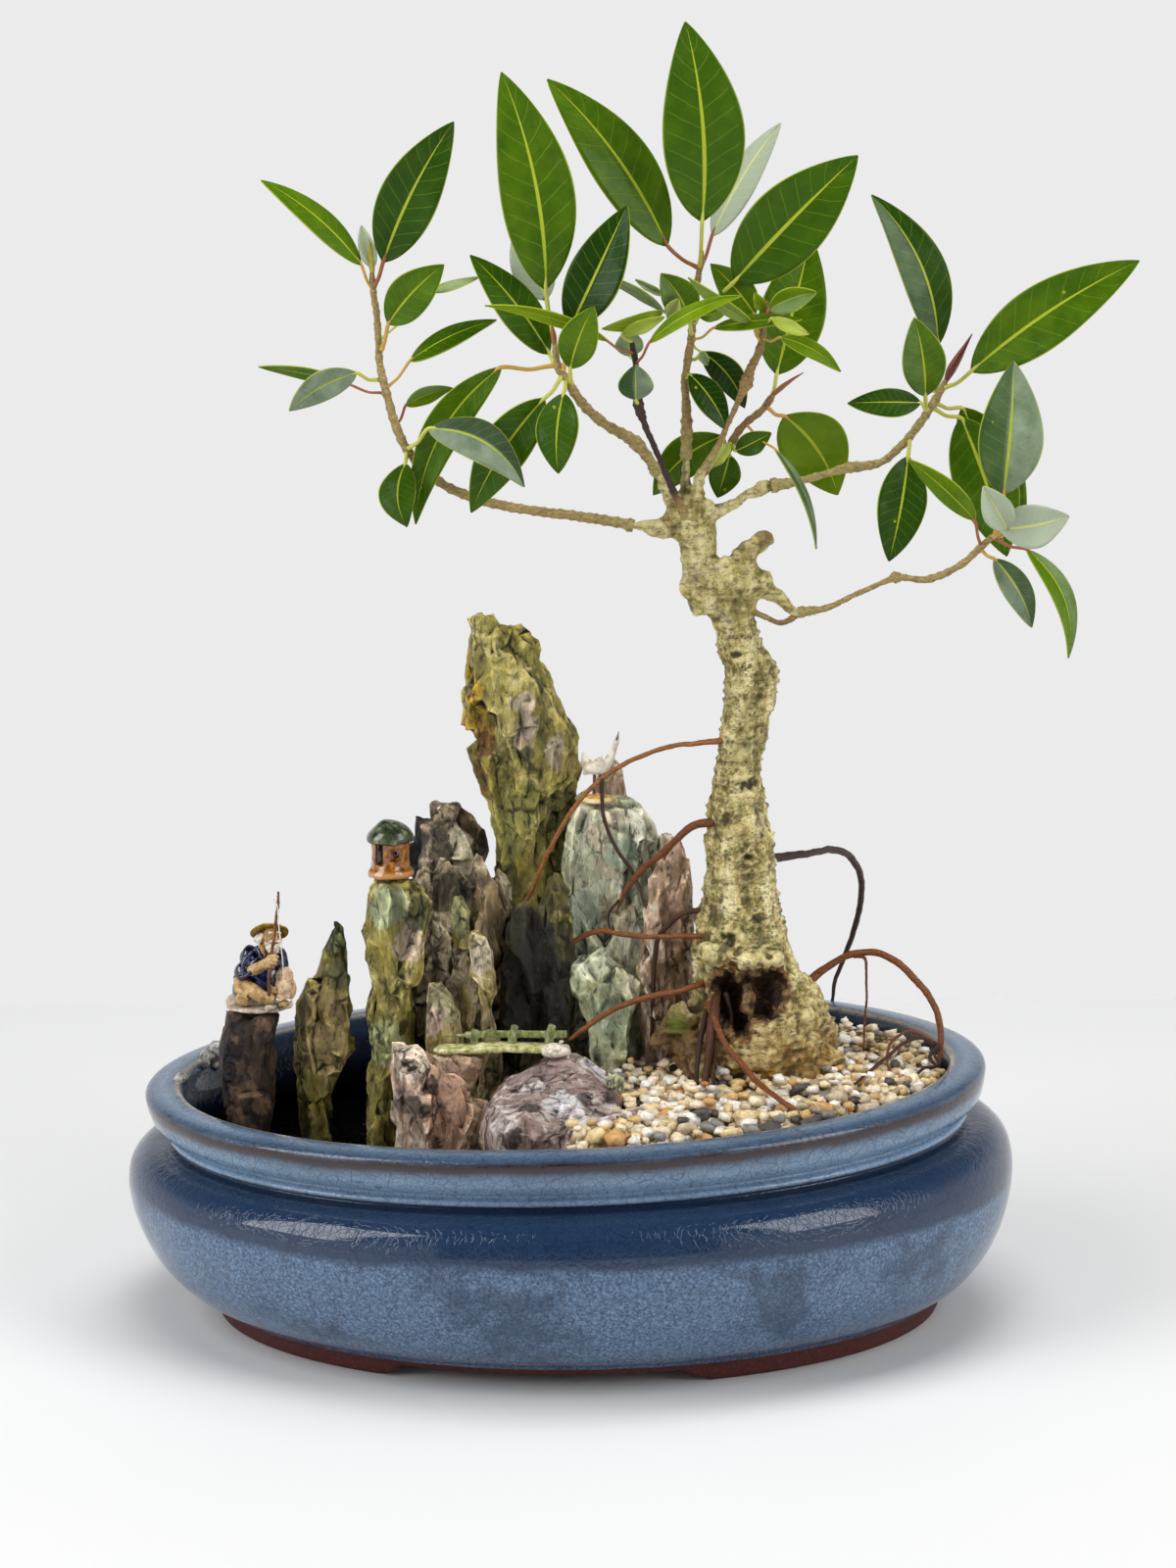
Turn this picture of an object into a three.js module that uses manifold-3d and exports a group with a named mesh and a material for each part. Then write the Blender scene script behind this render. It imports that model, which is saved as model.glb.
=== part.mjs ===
import * as THREE from 'three';
import { mergeVertices } from 'three/addons/utils/BufferGeometryUtils.js';
import Module from 'manifold-3d';

// Small-leaf fig bonsai in an oval glazed pot with a stone landscape.
// Millimetres, +Z up, -Y is the front that the tree shows. All tables are measured from the middle of
// the pot's foot. The last step moves everything so that the bounding box stands centred on the origin.

const wasm = await Module();
wasm.setup();
const POT_MIDDLE_TO_BOX_MIDDLE = 17.7;
const SURFACE_GAP = 0.3;

// Joining and cutting of closed meshes.
function toSolid(geometry) {
  const bare = geometry.clone();
  bare.deleteAttribute('normal');
  bare.deleteAttribute('uv');
  const merged = mergeVertices(bare, 1e-4);
  const mesh = new wasm.Mesh({
    numProp: 3,
    vertProperties: new Float32Array(merged.attributes.position.array),
    triVerts: new Uint32Array(merged.index.array),
  });
  mesh.merge();
  return new wasm.Manifold(mesh);
}

function fromSolid(solid) {
  const mesh = solid.getMesh();
  const geometry = new THREE.BufferGeometry();
  geometry.setAttribute('position', new THREE.BufferAttribute(new Float32Array(mesh.vertProperties), 3));
  geometry.setIndex(new THREE.BufferAttribute(new Uint32Array(mesh.triVerts), 1));
  return geometry;
}

// Joined bodies are solid right through: a hollow that the pieces close off between them is filled.
function join(geometries) {
  const sum = geometries.map(toSolid).reduce((all, solid) => all.add(solid));
  const shells = sum.decompose().filter((shell) => shell.volume() > 0);
  return fromSolid(shells.length > 1 ? wasm.Manifold.compose(shells) : shells[0]);
}

function cut(geometry, tools) {
  return fromSolid(tools.map(toSolid).reduce((rest, tool) => rest.subtract(tool), toSolid(geometry)));
}

// A closed skin over a row of rings that have the same number of points, with a fan over each end. Each
// ring turns anticlockwise as seen from the next one. It is a cylinder whose every level takes on a ring.
function loft(rings) {
  const count = rings[0].length;
  const bands = rings.length - 1;
  const middles = rings.map((ring) => (
    ring.reduce((sum, point) => sum.add(point), new THREE.Vector3()).divideScalar(count)
  ));
  const geometry = new THREE.CylinderGeometry(1, 1, bands, count, bands);
  const place = geometry.attributes.position;
  for (let i = 0; i < place.count; i += 1) {
    const row = Math.round(place.getY(i) + bands / 2);
    const inMiddle = Math.hypot(place.getX(i), place.getZ(i)) < 0.5;
    const turn = Math.atan2(place.getX(i), place.getZ(i)) / (2 * Math.PI);
    const column = (Math.round(turn * count) + count) % count;
    const point = inMiddle ? middles[row] : rings[row][column];
    place.setXYZ(i, point.x, point.y, point.z);
  }
  return geometry;
}

// A tapering limb: a row of [x, y, z, radius] stations with a round section square to the path.
function limb(stations, sides = 5) {
  const centres = stations.map(([x, y, z]) => new THREE.Vector3(x, y, z));
  const rings = centres.map((centre, i) => {
    const before = centres[Math.max(i - 1, 0)];
    const after = centres[Math.min(i + 1, centres.length - 1)];
    const along = after.clone().sub(before).normalize();
    const steep = Math.abs(along.y) > 0.9;
    const side = new THREE.Vector3(0, steep ? 0 : 1, steep ? 1 : 0).cross(along).normalize();
    const other = along.clone().cross(side);
    return Array.from({ length: sides }, (_, k) => {
      const angle = (2 * Math.PI * k) / sides;
      return centre.clone()
        .addScaledVector(side, stations[i][3] * Math.cos(angle))
        .addScaledVector(other, stations[i][3] * Math.sin(angle));
    });
  });
  return loft(rings);
}

function ball(x, y, z, halfX, halfY, halfZ, around = 8, down = 6) {
  const geometry = new THREE.SphereGeometry(1, around, down);
  geometry.rotateX(Math.PI / 2);
  geometry.scale(halfX, halfY, halfZ);
  geometry.translate(x, y, z);
  return geometry;
}

function block(fromX, toX, fromY, toY, fromZ, toZ) {
  const geometry = new THREE.BoxGeometry(toX - fromX, toY - fromY, toZ - fromZ);
  geometry.translate((fromX + toX) / 2, (fromY + toY) / 2, (fromZ + toZ) / 2);
  return geometry;
}

// A number between -1 and 1 that is always the same for the same two whole numbers.
function chance(a, b) {
  const wave = Math.sin(a * 12.9898 + b * 78.233) * 43758.5453;
  return 2 * (wave - Math.floor(wave)) - 1;
}

const group = new THREE.Group();
group.name = 'fig_bonsai';

function add(name, geometry, colour, roughness) {
  geometry.translate(-POT_MIDDLE_TO_BOX_MIDDLE, 0, 0);
  const material = new THREE.MeshStandardMaterial({ color: colour, roughness });
  const mesh = new THREE.Mesh(geometry, material);
  mesh.name = name;
  group.add(mesh);
}

// Pot. Oval stoneware bowl. Each profile point is [half length, height]; the half depth is a fixed
// amount less than the half length. The bowl leans a little on its foot, as a hand-finished one does.
const LENGTH_OVER_DEPTH = 38;
const INNER_FLOOR = 16;
const RIM_HEIGHT = 88;
const RIM_LEAN = -4.4;
const RIM_TILT = 0.028;

function ovalDepth(halfLength) {
  const straight = 125;
  const base = Math.max(halfLength, straight);
  return (halfLength * (base - LENGTH_OVER_DEPTH)) / base;
}

function lean(x, z) {
  const share = Math.min(Math.max(z / RIM_HEIGHT, 0), 1.05);
  return [x + RIM_LEAN * share, z + RIM_TILT * x * share];
}

function ovalBowl(profile, segments) {
  const geometry = new THREE.LatheGeometry(profile.map(([r, z]) => new THREE.Vector2(r, z)), segments);
  geometry.rotateX(Math.PI / 2);
  const place = geometry.attributes.position;
  for (let i = 0; i < place.count; i += 1) {
    const radius = Math.hypot(place.getX(i), place.getY(i));
    const squeeze = radius > 0 ? ovalDepth(radius) / radius : 1;
    const [x, z] = lean(place.getX(i), place.getZ(i));
    place.setXYZ(i, x, place.getY(i) * squeeze, z);
  }
  return geometry;
}

const potProfile = [
  [0, 6.5], [121, 6.5], [124, 0], [135, 0], [137, 7], [140, 8.2], [149.5, 15.5], [157, 25.5],
  [162, 36.5], [164.6, 47], [165, 56], [163, 63], [157.5, 67.6], [150.5, 69.3],
  [145.5, 69.4], [147, 71.5], [144.8, 73.6], [147.5, 75.3], [152.5, 77], [155.2, 80],
  [156.3, 89], [143.7, 90.6], [142.6, 87], [138.6, 79], [137.4, 71], [139.5, 65], [150, 60.5],
  [156.8, 52], [154.5, 38], [148, 26], [138, 18.5], [126, INNER_FLOOR], [0, INNER_FLOOR],
];
const OVAL_SEGMENTS = 36;
const pot = ovalBowl(potProfile, OVAL_SEGMENTS);

// The foot ring is cut away at the front and, turned by half a circle, at the back.
function footOpening(fromX, toX, fromY, toY) {
  const height = 5.2;
  const slope = 5;
  const outline = new THREE.Shape([
    new THREE.Vector2(fromX, -1), new THREE.Vector2(toX, -1),
    new THREE.Vector2(toX - slope, height), new THREE.Vector2(fromX + slope, height),
  ]);
  const geometry = new THREE.ExtrudeGeometry(outline, { depth: toY - fromY, bevelEnabled: false });
  geometry.rotateX(Math.PI / 2);
  geometry.translate(0, toY, 0);
  return geometry;
}
const openings = [footOpening(-66, 41, -112, -70), footOpening(-41, 66, 70, 112)];
add('pot', cut(pot, openings), 0x4d6f96, 0.18);

// Stones. Each level is [height, left, right, front, back]; the corners keep their place from level to
// level, so the faces run upwards like those of split rock.
function stone(levels, seed, grow = 0, sides = 10) {
  const rings = levels.map(([z, left, right, front, back], row) => {
    const middleX = (left + right) / 2;
    const middleY = (front + back) / 2;
    const halfX = (right - left) / 2;
    const halfY = (back - front) / 2;
    const height = z + (row === 0 ? -grow : grow * Number(row === levels.length - 1));
    return Array.from({ length: sides }, (_, k) => {
      const angle = (2 * Math.PI * (k + 0.25 * chance(k, seed))) / sides;
      const [c, s] = [Math.cos(angle), Math.sin(angle)];
      const boxy = 1 / Math.pow(Math.abs(c) ** 3 + Math.abs(s) ** 3, 1 / 3);
      const rough = 1 - 0.06 * (1 + chance(k + 7 * row, seed));
      return new THREE.Vector3(
        middleX + (halfX * boxy * rough + grow) * c,
        middleY + (halfY * boxy * rough + grow) * s,
        height,
      );
    });
  });
  return loft(rings);
}

const STONE_FOOT = 30;
const stones = {
  rock_fisher: {
    colour: 0x4a3a38,
    levels: [
      [STONE_FOOT, -130, -114, -16, 6], [71, -131.5, -113, -17, 7], [81, -132.5, -110.5, -18, 8],
      [91, -134, -110, -18, 8], [101, -134.5, -110, -18, 8], [108, -133, -109.5, -17, 7],
      [114.5, -130.5, -108, -15, 5],
    ],
  },
  rock_spire: {
    colour: 0x6d6a45,
    levels: [
      [STONE_FOOT, -101, -90, -3, 12], [80, -104, -92.5, -4, 13], [88, -106, -89.5, -5, 15],
      [97, -107.5, -82.5, -6, 16], [112, -105.5, -83, -6, 16], [119, -103.5, -82.8, -6, 15],
      [126, -99.8, -82.6, -5, 14], [135, -97, -82.8, -4, 13], [143, -92.8, -83.8, -2, 11],
      [149, -90.3, -88, 2, 7],
    ],
  },
  rock_pavilion: {
    colour: 0x8a8558,
    levels: [
      [STONE_FOOT, -79, -64, -12, 10], [76, -80.5, -70, -13, 11], [96, -78, -63, -14, 12],
      [114, -79, -59.5, -14, 12], [122, -77, -58, -14, 12], [133, -79.3, -57.3, -14, 12],
      [144, -79.8, -56, -14, 12], [153, -79.3, -53.3, -13, 11], [158, -78.5, -54, -12, 10],
      [164.5, -77, -58.5, -10, 8],
    ],
  },
  rock_pink: {
    colour: 0xa88570,
    levels: [
      [STONE_FOOT, -66, -46, -46, -31], [70, -68, -45, -50, -31], [92, -69.5, -45, -50, -31],
      [104, -69.5, -46, -48, -31], [110, -68, -56, -44, -32],
    ],
  },
  rock_triangle: {
    colour: 0x8a7d5c,
    levels: [
      [STONE_FOOT, -55, -43, -14, 1], [104, -56.5, -41.5, -16, 2], [112, -56, -42, -15, 1],
      [118, -55, -45, -13, -1], [124.5, -54, -49, -10, -4],
    ],
  },
  rock_cream: {
    colour: 0xb5a878,
    levels: [
      [STONE_FOOT, -49, -37, 4, 19], [112, -47, -36, 4, 19], [130, -48, -35.5, 4, 20],
      [142, -51.2, -40.5, 4, 19], [147, -50.4, -39.5, 5, 18], [155, -47.5, -44.5, 8, 14],
    ],
  },
  rock_tan: {
    colour: 0x857458,
    levels: [
      [STONE_FOOT, -39, -29, -11, 1], [97, -38, -27, -12, 2], [113, -36.5, -29, -12, 2],
      [130, -39.3, -29.5, -12, 2], [137, -39.3, -30, -11, 1], [143, -38.5, -34, -8, -2],
    ],
  },
  rock_back: {
    colour: 0x4b3c30,
    levels: [
      [STONE_FOOT, -57, -35, 23, 48], [110, -60, -33, 22, 50], [158, -61.5, -33, 22, 50],
      [165, -62.5, -33.5, 22, 50], [171, -61, -35, 23, 49], [177, -61.5, -39, 24, 48],
      [183.5, -48.5, -43.5, 31, 40],
    ],
  },
  rock_peak: {
    colour: 0x76744a,
    levels: [
      [STONE_FOOT, -28, -9, 27, 51], [100, -30, -8, 25, 53], [131, -30, -8, 24, 54],
      [157, -31, -8, 22, 54], [172, -31, -8, 20, 55], [187, -34.5, -6, 18, 56],
      [193, -36.5, 3, 18, 56], [206, -40.5, 4, 18, 56], [214, -43.5, -0.5, 18, 56],
      [223.5, -42, -5, 18, 56], [238, -42.7, -11.3, 20, 54], [245, -42, -16.5, 22, 52],
      [250, -40.5, -20.5, 25, 49], [254, -37, -32, 32, 42],
    ],
  },
  rock_crane: {
    colour: 0x79856a,
    levels: [
      [STONE_FOOT, -3, 26, 16, 42], [107, -4, 27.5, 15, 43], [128, -5, 28.5, 14, 44],
      [158.5, -6, 30, 14, 44], [174, -5.4, 30, 14, 44], [180, -3.8, 28, 15, 43], [186, -0.5, 22, 18, 40],
    ],
  },
  rock_spire_back: {
    colour: 0x6e6257,
    levels: [
      [STONE_FOOT, 7, 21, 46.5, 60], [150, 6, 21, 46.5, 60], [180, 6, 20.5, 47, 59],
      [190, 7, 19, 48, 58], [200, 11, 15.5, 50, 56],
    ],
  },
  rock_front_green: {
    colour: 0x8f9878,
    levels: [
      [50, 5, 19, -3, 11], [96, 4, 20.5, -4, 12], [115, 1.3, 22.5, -4, 13], [120, -4.3, 24.3, -4, 13],
      [126, -4.3, 21.5, -3, 12], [131, 3, 16, -1, 10], [135.3, 9, 12.5, 2, 8],
    ],
  },
  rock_purple: {
    colour: 0x6f5b57,
    levels: [
      [50, 32, 45, 22, 44], [120, 31.5, 45.5, 20.5, 46], [142, 31.5, 45.5, 21, 46],
      [156, 31.5, 42, 22, 45], [163, 31.5, 41, 23, 44], [171.5, 32, 34.5, 29, 37],
    ],
  },
  rock_boulder: {
    colour: 0x8d7a76,
    levels: [
      [50, -28, 10, -78, -16], [80, -37, 16, -89, -10], [88, -36, 19, -88, -8],
      [93, -30, 17, -82, -8], [97, -18, 9, -62, -8.5], [100.2, -11, 4, -36, -11],
    ],
  },
  rock_ledge: {
    colour: 0x8c6a52,
    levels: [
      [STONE_FOOT, -52, -42, -29, -18], [88, -52, -41, -29, -17.5], [95, -53, -34, -29, -17.5],
      [102.2, -52.5, -32, -29, -17.5],
    ],
  },
};

// Cement bed. A floor of grey mortar in the left half of the bowl, and a low dam that keeps the soil back.
// Every stone stands in a pocket of it.
function bowlFilling(fromX, toX, top, clearance) {
  const wall = [
    [124, INNER_FLOOR + SURFACE_GAP], [136, 19.5], [146, 27], [152.5, 39], [154.5, 51], [148.5, 58.8],
    [138, 63.7], [136.4, 71], [137.5, 79], [141, 86],
  ].filter(([, z]) => z < top).map(([r, z]) => [r - clearance, z]);
  const edge = wall[wall.length - 1][0];
  const whole = ovalBowl([[0, wall[0][1]], ...wall, [edge, top], [0, top]], OVAL_SEGMENTS);
  const slab = toSolid(block(fromX, toX, -130, 130, -5, 140));
  return fromSolid(toSolid(whole).intersect(slab));
}

const seeds = Object.fromEntries(Object.keys(stones).map((name, index) => [name, index + 3]));
const pockets = Object.entries(stones).map(([name, { levels }]) => stone(levels, seeds[name], SURFACE_GAP));
const cementFloor = bowlFilling(-150, -0.8, 34, 0.5);
const cementDam = bowlFilling(-8, -0.8, 76, 0.5);
add('mortar_bed', cut(join([cementFloor, cementDam]), pockets), 0x8a867c, 0.9);

for (const [name, { colour, levels }] of Object.entries(stones)) {
  add(name, stone(levels, seeds[name]), colour, 0.85);
}

// Trunk. Grown as one with its branches and aerial roots. Levels are [height, left, right]; the section
// is a little less deep than it is wide.
const trunkLevels = [
  [72, 52, 90], [83, 46, 95], [90, 44, 97], [97, 42, 97], [105, 41, 96], [113, 41.5, 93], [121, 43, 89.5],
  [129, 43.5, 82.5], [137, 44, 79.3], [147, 45.7, 76.3], [160, 48.3, 74.5], [172, 48.5, 73.5],
  [185, 48.5, 71], [195, 50, 70], [205, 51.5, 68.8], [214, 53, 70.3], [223, 55, 72], [233, 56, 74.2],
  [242, 54.8, 74.3], [250, 52.5, 69], [258, 50.5, 66.5], [266, 48.5, 67.3], [273, 46, 70],
  [278, 47, 68], [282, 55, 64],
];
const TRUNK_BACKSET = 3;
function trunkSkin(levels, grow) {
  return loft(levels.map(([z, left, right], row) => {
    const half = (right - left) / 2;
    const depth = Math.min(half * 0.94, 22 + 0.1 * half);
    return Array.from({ length: 12 }, (_, k) => {
      const angle = (2 * Math.PI * k) / 12;
      const knob = 1 + 0.03 * chance(k + 5 * row, 91);
      return new THREE.Vector3(
        (left + right) / 2 + (half * knob + grow) * Math.cos(angle),
        TRUNK_BACKSET + (depth * knob + grow) * Math.sin(angle),
        row === 0 ? z - grow : z,
      );
    });
  }));
}
const trunkBody = trunkSkin(trunkLevels, 0);
const trunkSocket = trunkSkin(trunkLevels.slice(0, 5), SURFACE_GAP);

const limbs = [
  // left limb up to the place where the branches start
  [[50, 3, 262, 7], [47, 3, 272, 7], [46.3, 2, 280, 6], [45, 2, 288, 6.4], [43, 1, 295, 8],
    [42, 1, 301, 6]],
  // stub of a cut branch on the right
  [[61, 3, 274, 6], [62, 3, 281, 4.6], [66, 2, 286, 2.9], [69, 2, 288.5, 2.7]],
  // branch to the far left
  [[36, 1, 294, 3], [29, 1, 293, 2.4], [15, 0, 295.5, 1.8], [0, -1, 298, 1.7], [-19, -3, 301, 1.6],
    [-37, -5, 305.5, 1.7], [-50.5, -8, 313.5, 1.6], [-59.5, -9, 323.5, 1.6], [-64, -8, 334, 1.5],
    [-67, -6, 345, 1.5], [-69, -4, 354, 1.3], [-69.5, -3, 368, 1.2], [-71, -3, 381, 1.1]],
  // branch to the upper left
  [[37, 0, 298, 2.4], [33.5, -1, 309, 2], [26.3, -3, 320.5, 1.9], [20, -6, 327, 2], [10, -9, 333.5, 1.7],
    [3, -12, 341, 1.7], [-2, -13, 349, 1.5], [-4.5, -13, 352.5, 1.4], [-6, -13, 362, 0.9]],
  // thin dark branch in front
  [[41, -6, 299, 1.6], [37.5, -9, 305, 1.3], [31.3, -12, 320, 1], [25.5, -15, 334, 1.2],
    [24, -15, 339, 1.6], [23.3, -13, 347, 1.2], [23, -13, 353, 1.2], [21.5, -14, 362.5, 0.8]],
  // middle branch
  [[43, 1, 300, 2.9], [41, 1, 311, 2.2], [41.3, 1, 331, 1.6], [40.8, 1, 345, 1.4], [43, 2, 361, 1.4],
    [45, 3, 378, 1.2], [46.3, 3, 387, 1]],
  // branch to the upper right
  [[43.7, -2, 301, 2.4], [46, -4, 311.5, 1.6], [53.5, -7, 326, 1], [60.5, -9, 342, 1.2],
    [62.5, -9, 346.5, 1.9], [67, -9, 358, 1.4], [69.5, -9, 370, 0.9]],
  // branch behind it
  [[45, 2, 302, 2.2], [47, 4, 312, 1.6], [56, 6, 320, 1.3], [60, 7, 327, 1.3], [70, 8, 336, 1.2],
    [72.5, 9, 339.5, 1.1]],
  // branch to the right
  [[46, 1, 296, 3.4], [54, 1, 300, 2.2], [64.5, 2, 305, 1.7], [70, 2, 307.5, 1.9], [81.5, 3, 309.3, 1.5],
    [94, 4, 312.5, 1.3], [100, 4, 314, 1.6], [112, 5, 316, 1.3], [119, 5, 321.5, 1.4],
    [127.5, 5, 332, 1.4], [133, 5, 341, 1.4], [136, 5, 346.5, 0.9]],
  // low branch to the right
  [[65, 3, 273, 4.5], [72, 3, 269, 2.8], [77, 2, 264.5, 2], [81.5, 1, 261.5, 1.7], [92, -1, 263.5, 1],
    [105, -5, 270, 0.9], [116.5, -8, 275.5, 1.5], [129, -11, 275.5, 1.3], [140, -13, 281, 1.2],
    [147, -14, 287.5, 1.2], [152, -14, 292, 0.9]],
  // thin spur beside it
  [[64, 1, 263, 1.2], [70, 0, 260, 0.9], [76, 0, 258, 0.9], [82, 1, 261, 1]],
  // aerial root over the stones
  [[56, 0, 214, 1.2], [45, -1, 213.5, 1], [33, 4, 211, 0.9], [20, 8, 205, 0.9], [10, 9.5, 198.5, 0.9],
    [0, 9.5, 188, 0.9], [-9, 11, 173, 0.8], [-14, 13, 161, 0.8], [-20, 14, 148, 0.6]],
  // its thin side root
  [[10, 9.5, 198.5, 0.7], [10.5, 10, 184, 0.7], [14.5, 10.3, 173, 0.7], [22, 10, 161, 0.7],
    [26, 9, 149, 0.5]],
  // stout aerial root on the left
  [[52, -2, 184, 2], [43, 0, 182.5, 1.6], [33, 4, 172, 1.3], [22, 9, 161, 1.2], [17.5, 11, 153.5, 0.8],
    [15, 11, 146, 0.4]],
  // short aerial root on the left
  [[49, 0, 150, 1.2], [40, 1, 149, 1.1], [33, 3, 143, 1], [30, 4, 137, 1], [28.5, 5, 120, 0.9]],
  // long aerial root on the left
  [[47, -4, 141, 1.1], [30, -2, 141, 1], [20, 2, 140.5, 1], [8, 8, 140.8, 1], [0, 9, 137, 1],
    [-13, 9, 127, 1], [-16, 9, 118, 0.9], [-20, 9, 108, 0.7]],
  // aerial root to the bridge
  [[47, -8, 124, 1.5], [38, -11, 122.5, 1.2], [30, -11, 121, 1.2], [15, -10, 116, 1.1], [5, -9.5, 109.5, 1],
    [-3, -9.5, 103.5, 0.9]],
  // aerial root to the back of the rim
  [[70, 6, 168.5, 1.6], [87, 25, 166, 1.4], [98, 45, 163, 1.4], [104, 55, 159, 1.4], [110, 68, 147, 1.3],
    [110, 78, 131, 1.2], [106, 86, 113, 1], [101.5, 87, 101, 0.8]],
  // stout arched root on the right
  [[84, 8, 118, 2], [89.5, 12, 120, 1.7], [97, 14, 127, 1.4], [104, 14, 130, 1.4], [112, 13, 130.5, 1.4],
    [119, 11, 128, 1.4], [126, 8, 122, 1.4], [132, 5, 115, 1.3], [135.3, 2, 106, 1.3], [135.6, 0, 97, 1.2],
    [134.5, -1, 91.5, 1]],
  // root creeping forward over the gravel
  [[49, -14, 114, 1.6], [51, -22, 110, 1.3], [55, -27, 102, 1.2], [62, -35, 95.5, 1.2],
    [66.5, -46, 91.2, 1.1], [72, -60, 90.4, 1], [78, -73, 90.2, 0.8]],
];

const crownAndKnobs = [
  ball(42.5, 1, 297, 8.6, 7.5, 5.5),
  ball(45, 2, 271, 5.6, 5.5, 6.2),
];
const cavities = [
  ball(57, -21, 111.5, 6.6, 13, 9.6),
  ball(70, -20, 116.5, 6.3, 11, 5.6),
];
const trunk = cut(join([trunkBody, ...crownAndKnobs, ...limbs.map((row) => limb(row))]), cavities);

// Soil. Dark mix that fills the right half of the bowl under the gravel, with pockets for the stones and
// for the foot of the trunk. Its surface follows the lean of the bowl.
const SOIL_TOP = 82;
const soil = bowlFilling(-0.3, 160, SOIL_TOP, 0.5);
const soilSurface = (x) => lean(x - (RIM_LEAN * SOIL_TOP) / RIM_HEIGHT, SOIL_TOP)[1];
add('soil', cut(soil, [...pockets, trunkSocket]), 0x3a2b20, 0.95);

// Gravel. A bed of pebbles round the trunk; its left edge follows the stones, elsewhere the bowl bounds it.
// The roots stand in an open ring of bare soil. The top rises to the right with the rim.
const GRAVEL_DEPTH = 4;
const gravelEdge = [
  [-4, -110], [160, -110], [160, 110], [49, 110], [48, 50], [48, 19], [31, 18.5],
  [30.8, 13], [25.5, 12], [25.5, -7], [20.8, -9], [20.3, -66], [14, -88], [0, -91.5],
];
const gravelOutline = new THREE.Shape(gravelEdge.map(([x, y]) => new THREE.Vector2(x, y)));
const gravelSlab = new THREE.ExtrudeGeometry(gravelOutline, { depth: GRAVEL_DEPTH, bevelEnabled: false });
const gravelPlaces = gravelSlab.attributes.position;
for (let i = 0; i < gravelPlaces.count; i += 1) {
  gravelPlaces.setZ(i, gravelPlaces.getZ(i) + soilSurface(gravelPlaces.getX(i)) + SURFACE_GAP);
}
const trunkRing = limb([[70.2, TRUNK_BACKSET, 80, 28.5], [70.2, TRUNK_BACKSET, 100, 28.5]], 20);
const creepingRoots = [
  limb([[130, 4, 112, 3], [134.5, 1, 96, 2.6], [134.5, -1, 80, 2.6]]),
  limb([[101.5, 87, 106, 2.2], [101.5, 87, 80, 2.2]]),
];
const wholeGravel = toSolid(cut(gravelSlab, [trunkRing, ...creepingRoots]));
const gravel = fromSolid(wholeGravel.intersect(toSolid(bowlFilling(-10, 160, 89, 1))));
add('gravel', gravel, 0xcbb88e, 0.85);
add('trunk', trunk, 0x9d9668, 0.8);

// Leaves. One closed body each: a round stalk that flattens into the blade. "half" is the half width as
// seen from the front and "sway" the bow of the midrib to the right, looking towards the tip. "twist" is
// how far the right edge comes forward and the left edge goes back, "cup" how far both edges come forward,
// "arch" how far the middle of the midrib does. "twig" is the distance from the joint to the twig's bark.
const BLADE_STATIONS = [0.04, 0.16, 0.34, 0.55, 0.76, 0.92, 1];
const BLADE_THICKNESS = 0.9;
const STALK_RADIUS = 0.75;

function leaf({ joint, base, tip, half, sway = 0, twist = 0, cup = 1.5, arch = 3, twig = 1.6 }) {
  const [from, foot, end] = [joint, base, tip].map((p) => new THREE.Vector3(...p));
  const away = foot.clone().sub(from).normalize();
  const start = from.clone().addScaledVector(away, twig + SURFACE_GAP);
  const along = end.clone().sub(foot).normalize();
  const front = new THREE.Vector3(0, -1, 0);
  const side = along.clone().cross(front).normalize();
  const blade = (t) => {
    const bow = 4 * t * (1 - t);
    const share = Math.max(Math.sin(Math.PI * Math.min(t, 0.995) ** 0.8) ** 0.8, 0.06);
    const centre = foot.clone().lerp(end, t)
      .addScaledVector(side, sway * bow)
      .addScaledVector(front, arch * bow);
    const edge = (sign) => centre.clone()
      .addScaledVector(side, sign * half * share)
      .addScaledVector(front, (cup + sign * twist) * share);
    const [left, right] = [edge(-1), edge(1)];
    const across = right.clone().sub(left).normalize();
    const up = across.clone().cross(along).multiplyScalar(BLADE_THICKNESS / 2);
    const rim = up.clone().multiplyScalar(0.5);
    return [left.clone().add(rim), centre.clone().add(up), right.clone().add(rim),
      right.sub(rim), centre.sub(up), left.sub(rim)];
  };
  const flat = blade(0.34)[2].sub(blade(0.34)[0]);
  const across = flat.addScaledVector(away, -flat.dot(away)).normalize();
  const high = across.clone().cross(away).normalize();
  const stalk = (centre) => [150, 90, 30, -30, -90, -150].map((degrees) => {
    const angle = (degrees * Math.PI) / 180;
    return centre.clone()
      .addScaledVector(across, STALK_RADIUS * Math.cos(angle))
      .addScaledVector(high, STALK_RADIUS * Math.sin(angle));
  });
  return loft([stalk(start), stalk(foot.clone().lerp(start, 0.12)), ...BLADE_STATIONS.map(blade)]);
}

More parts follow.
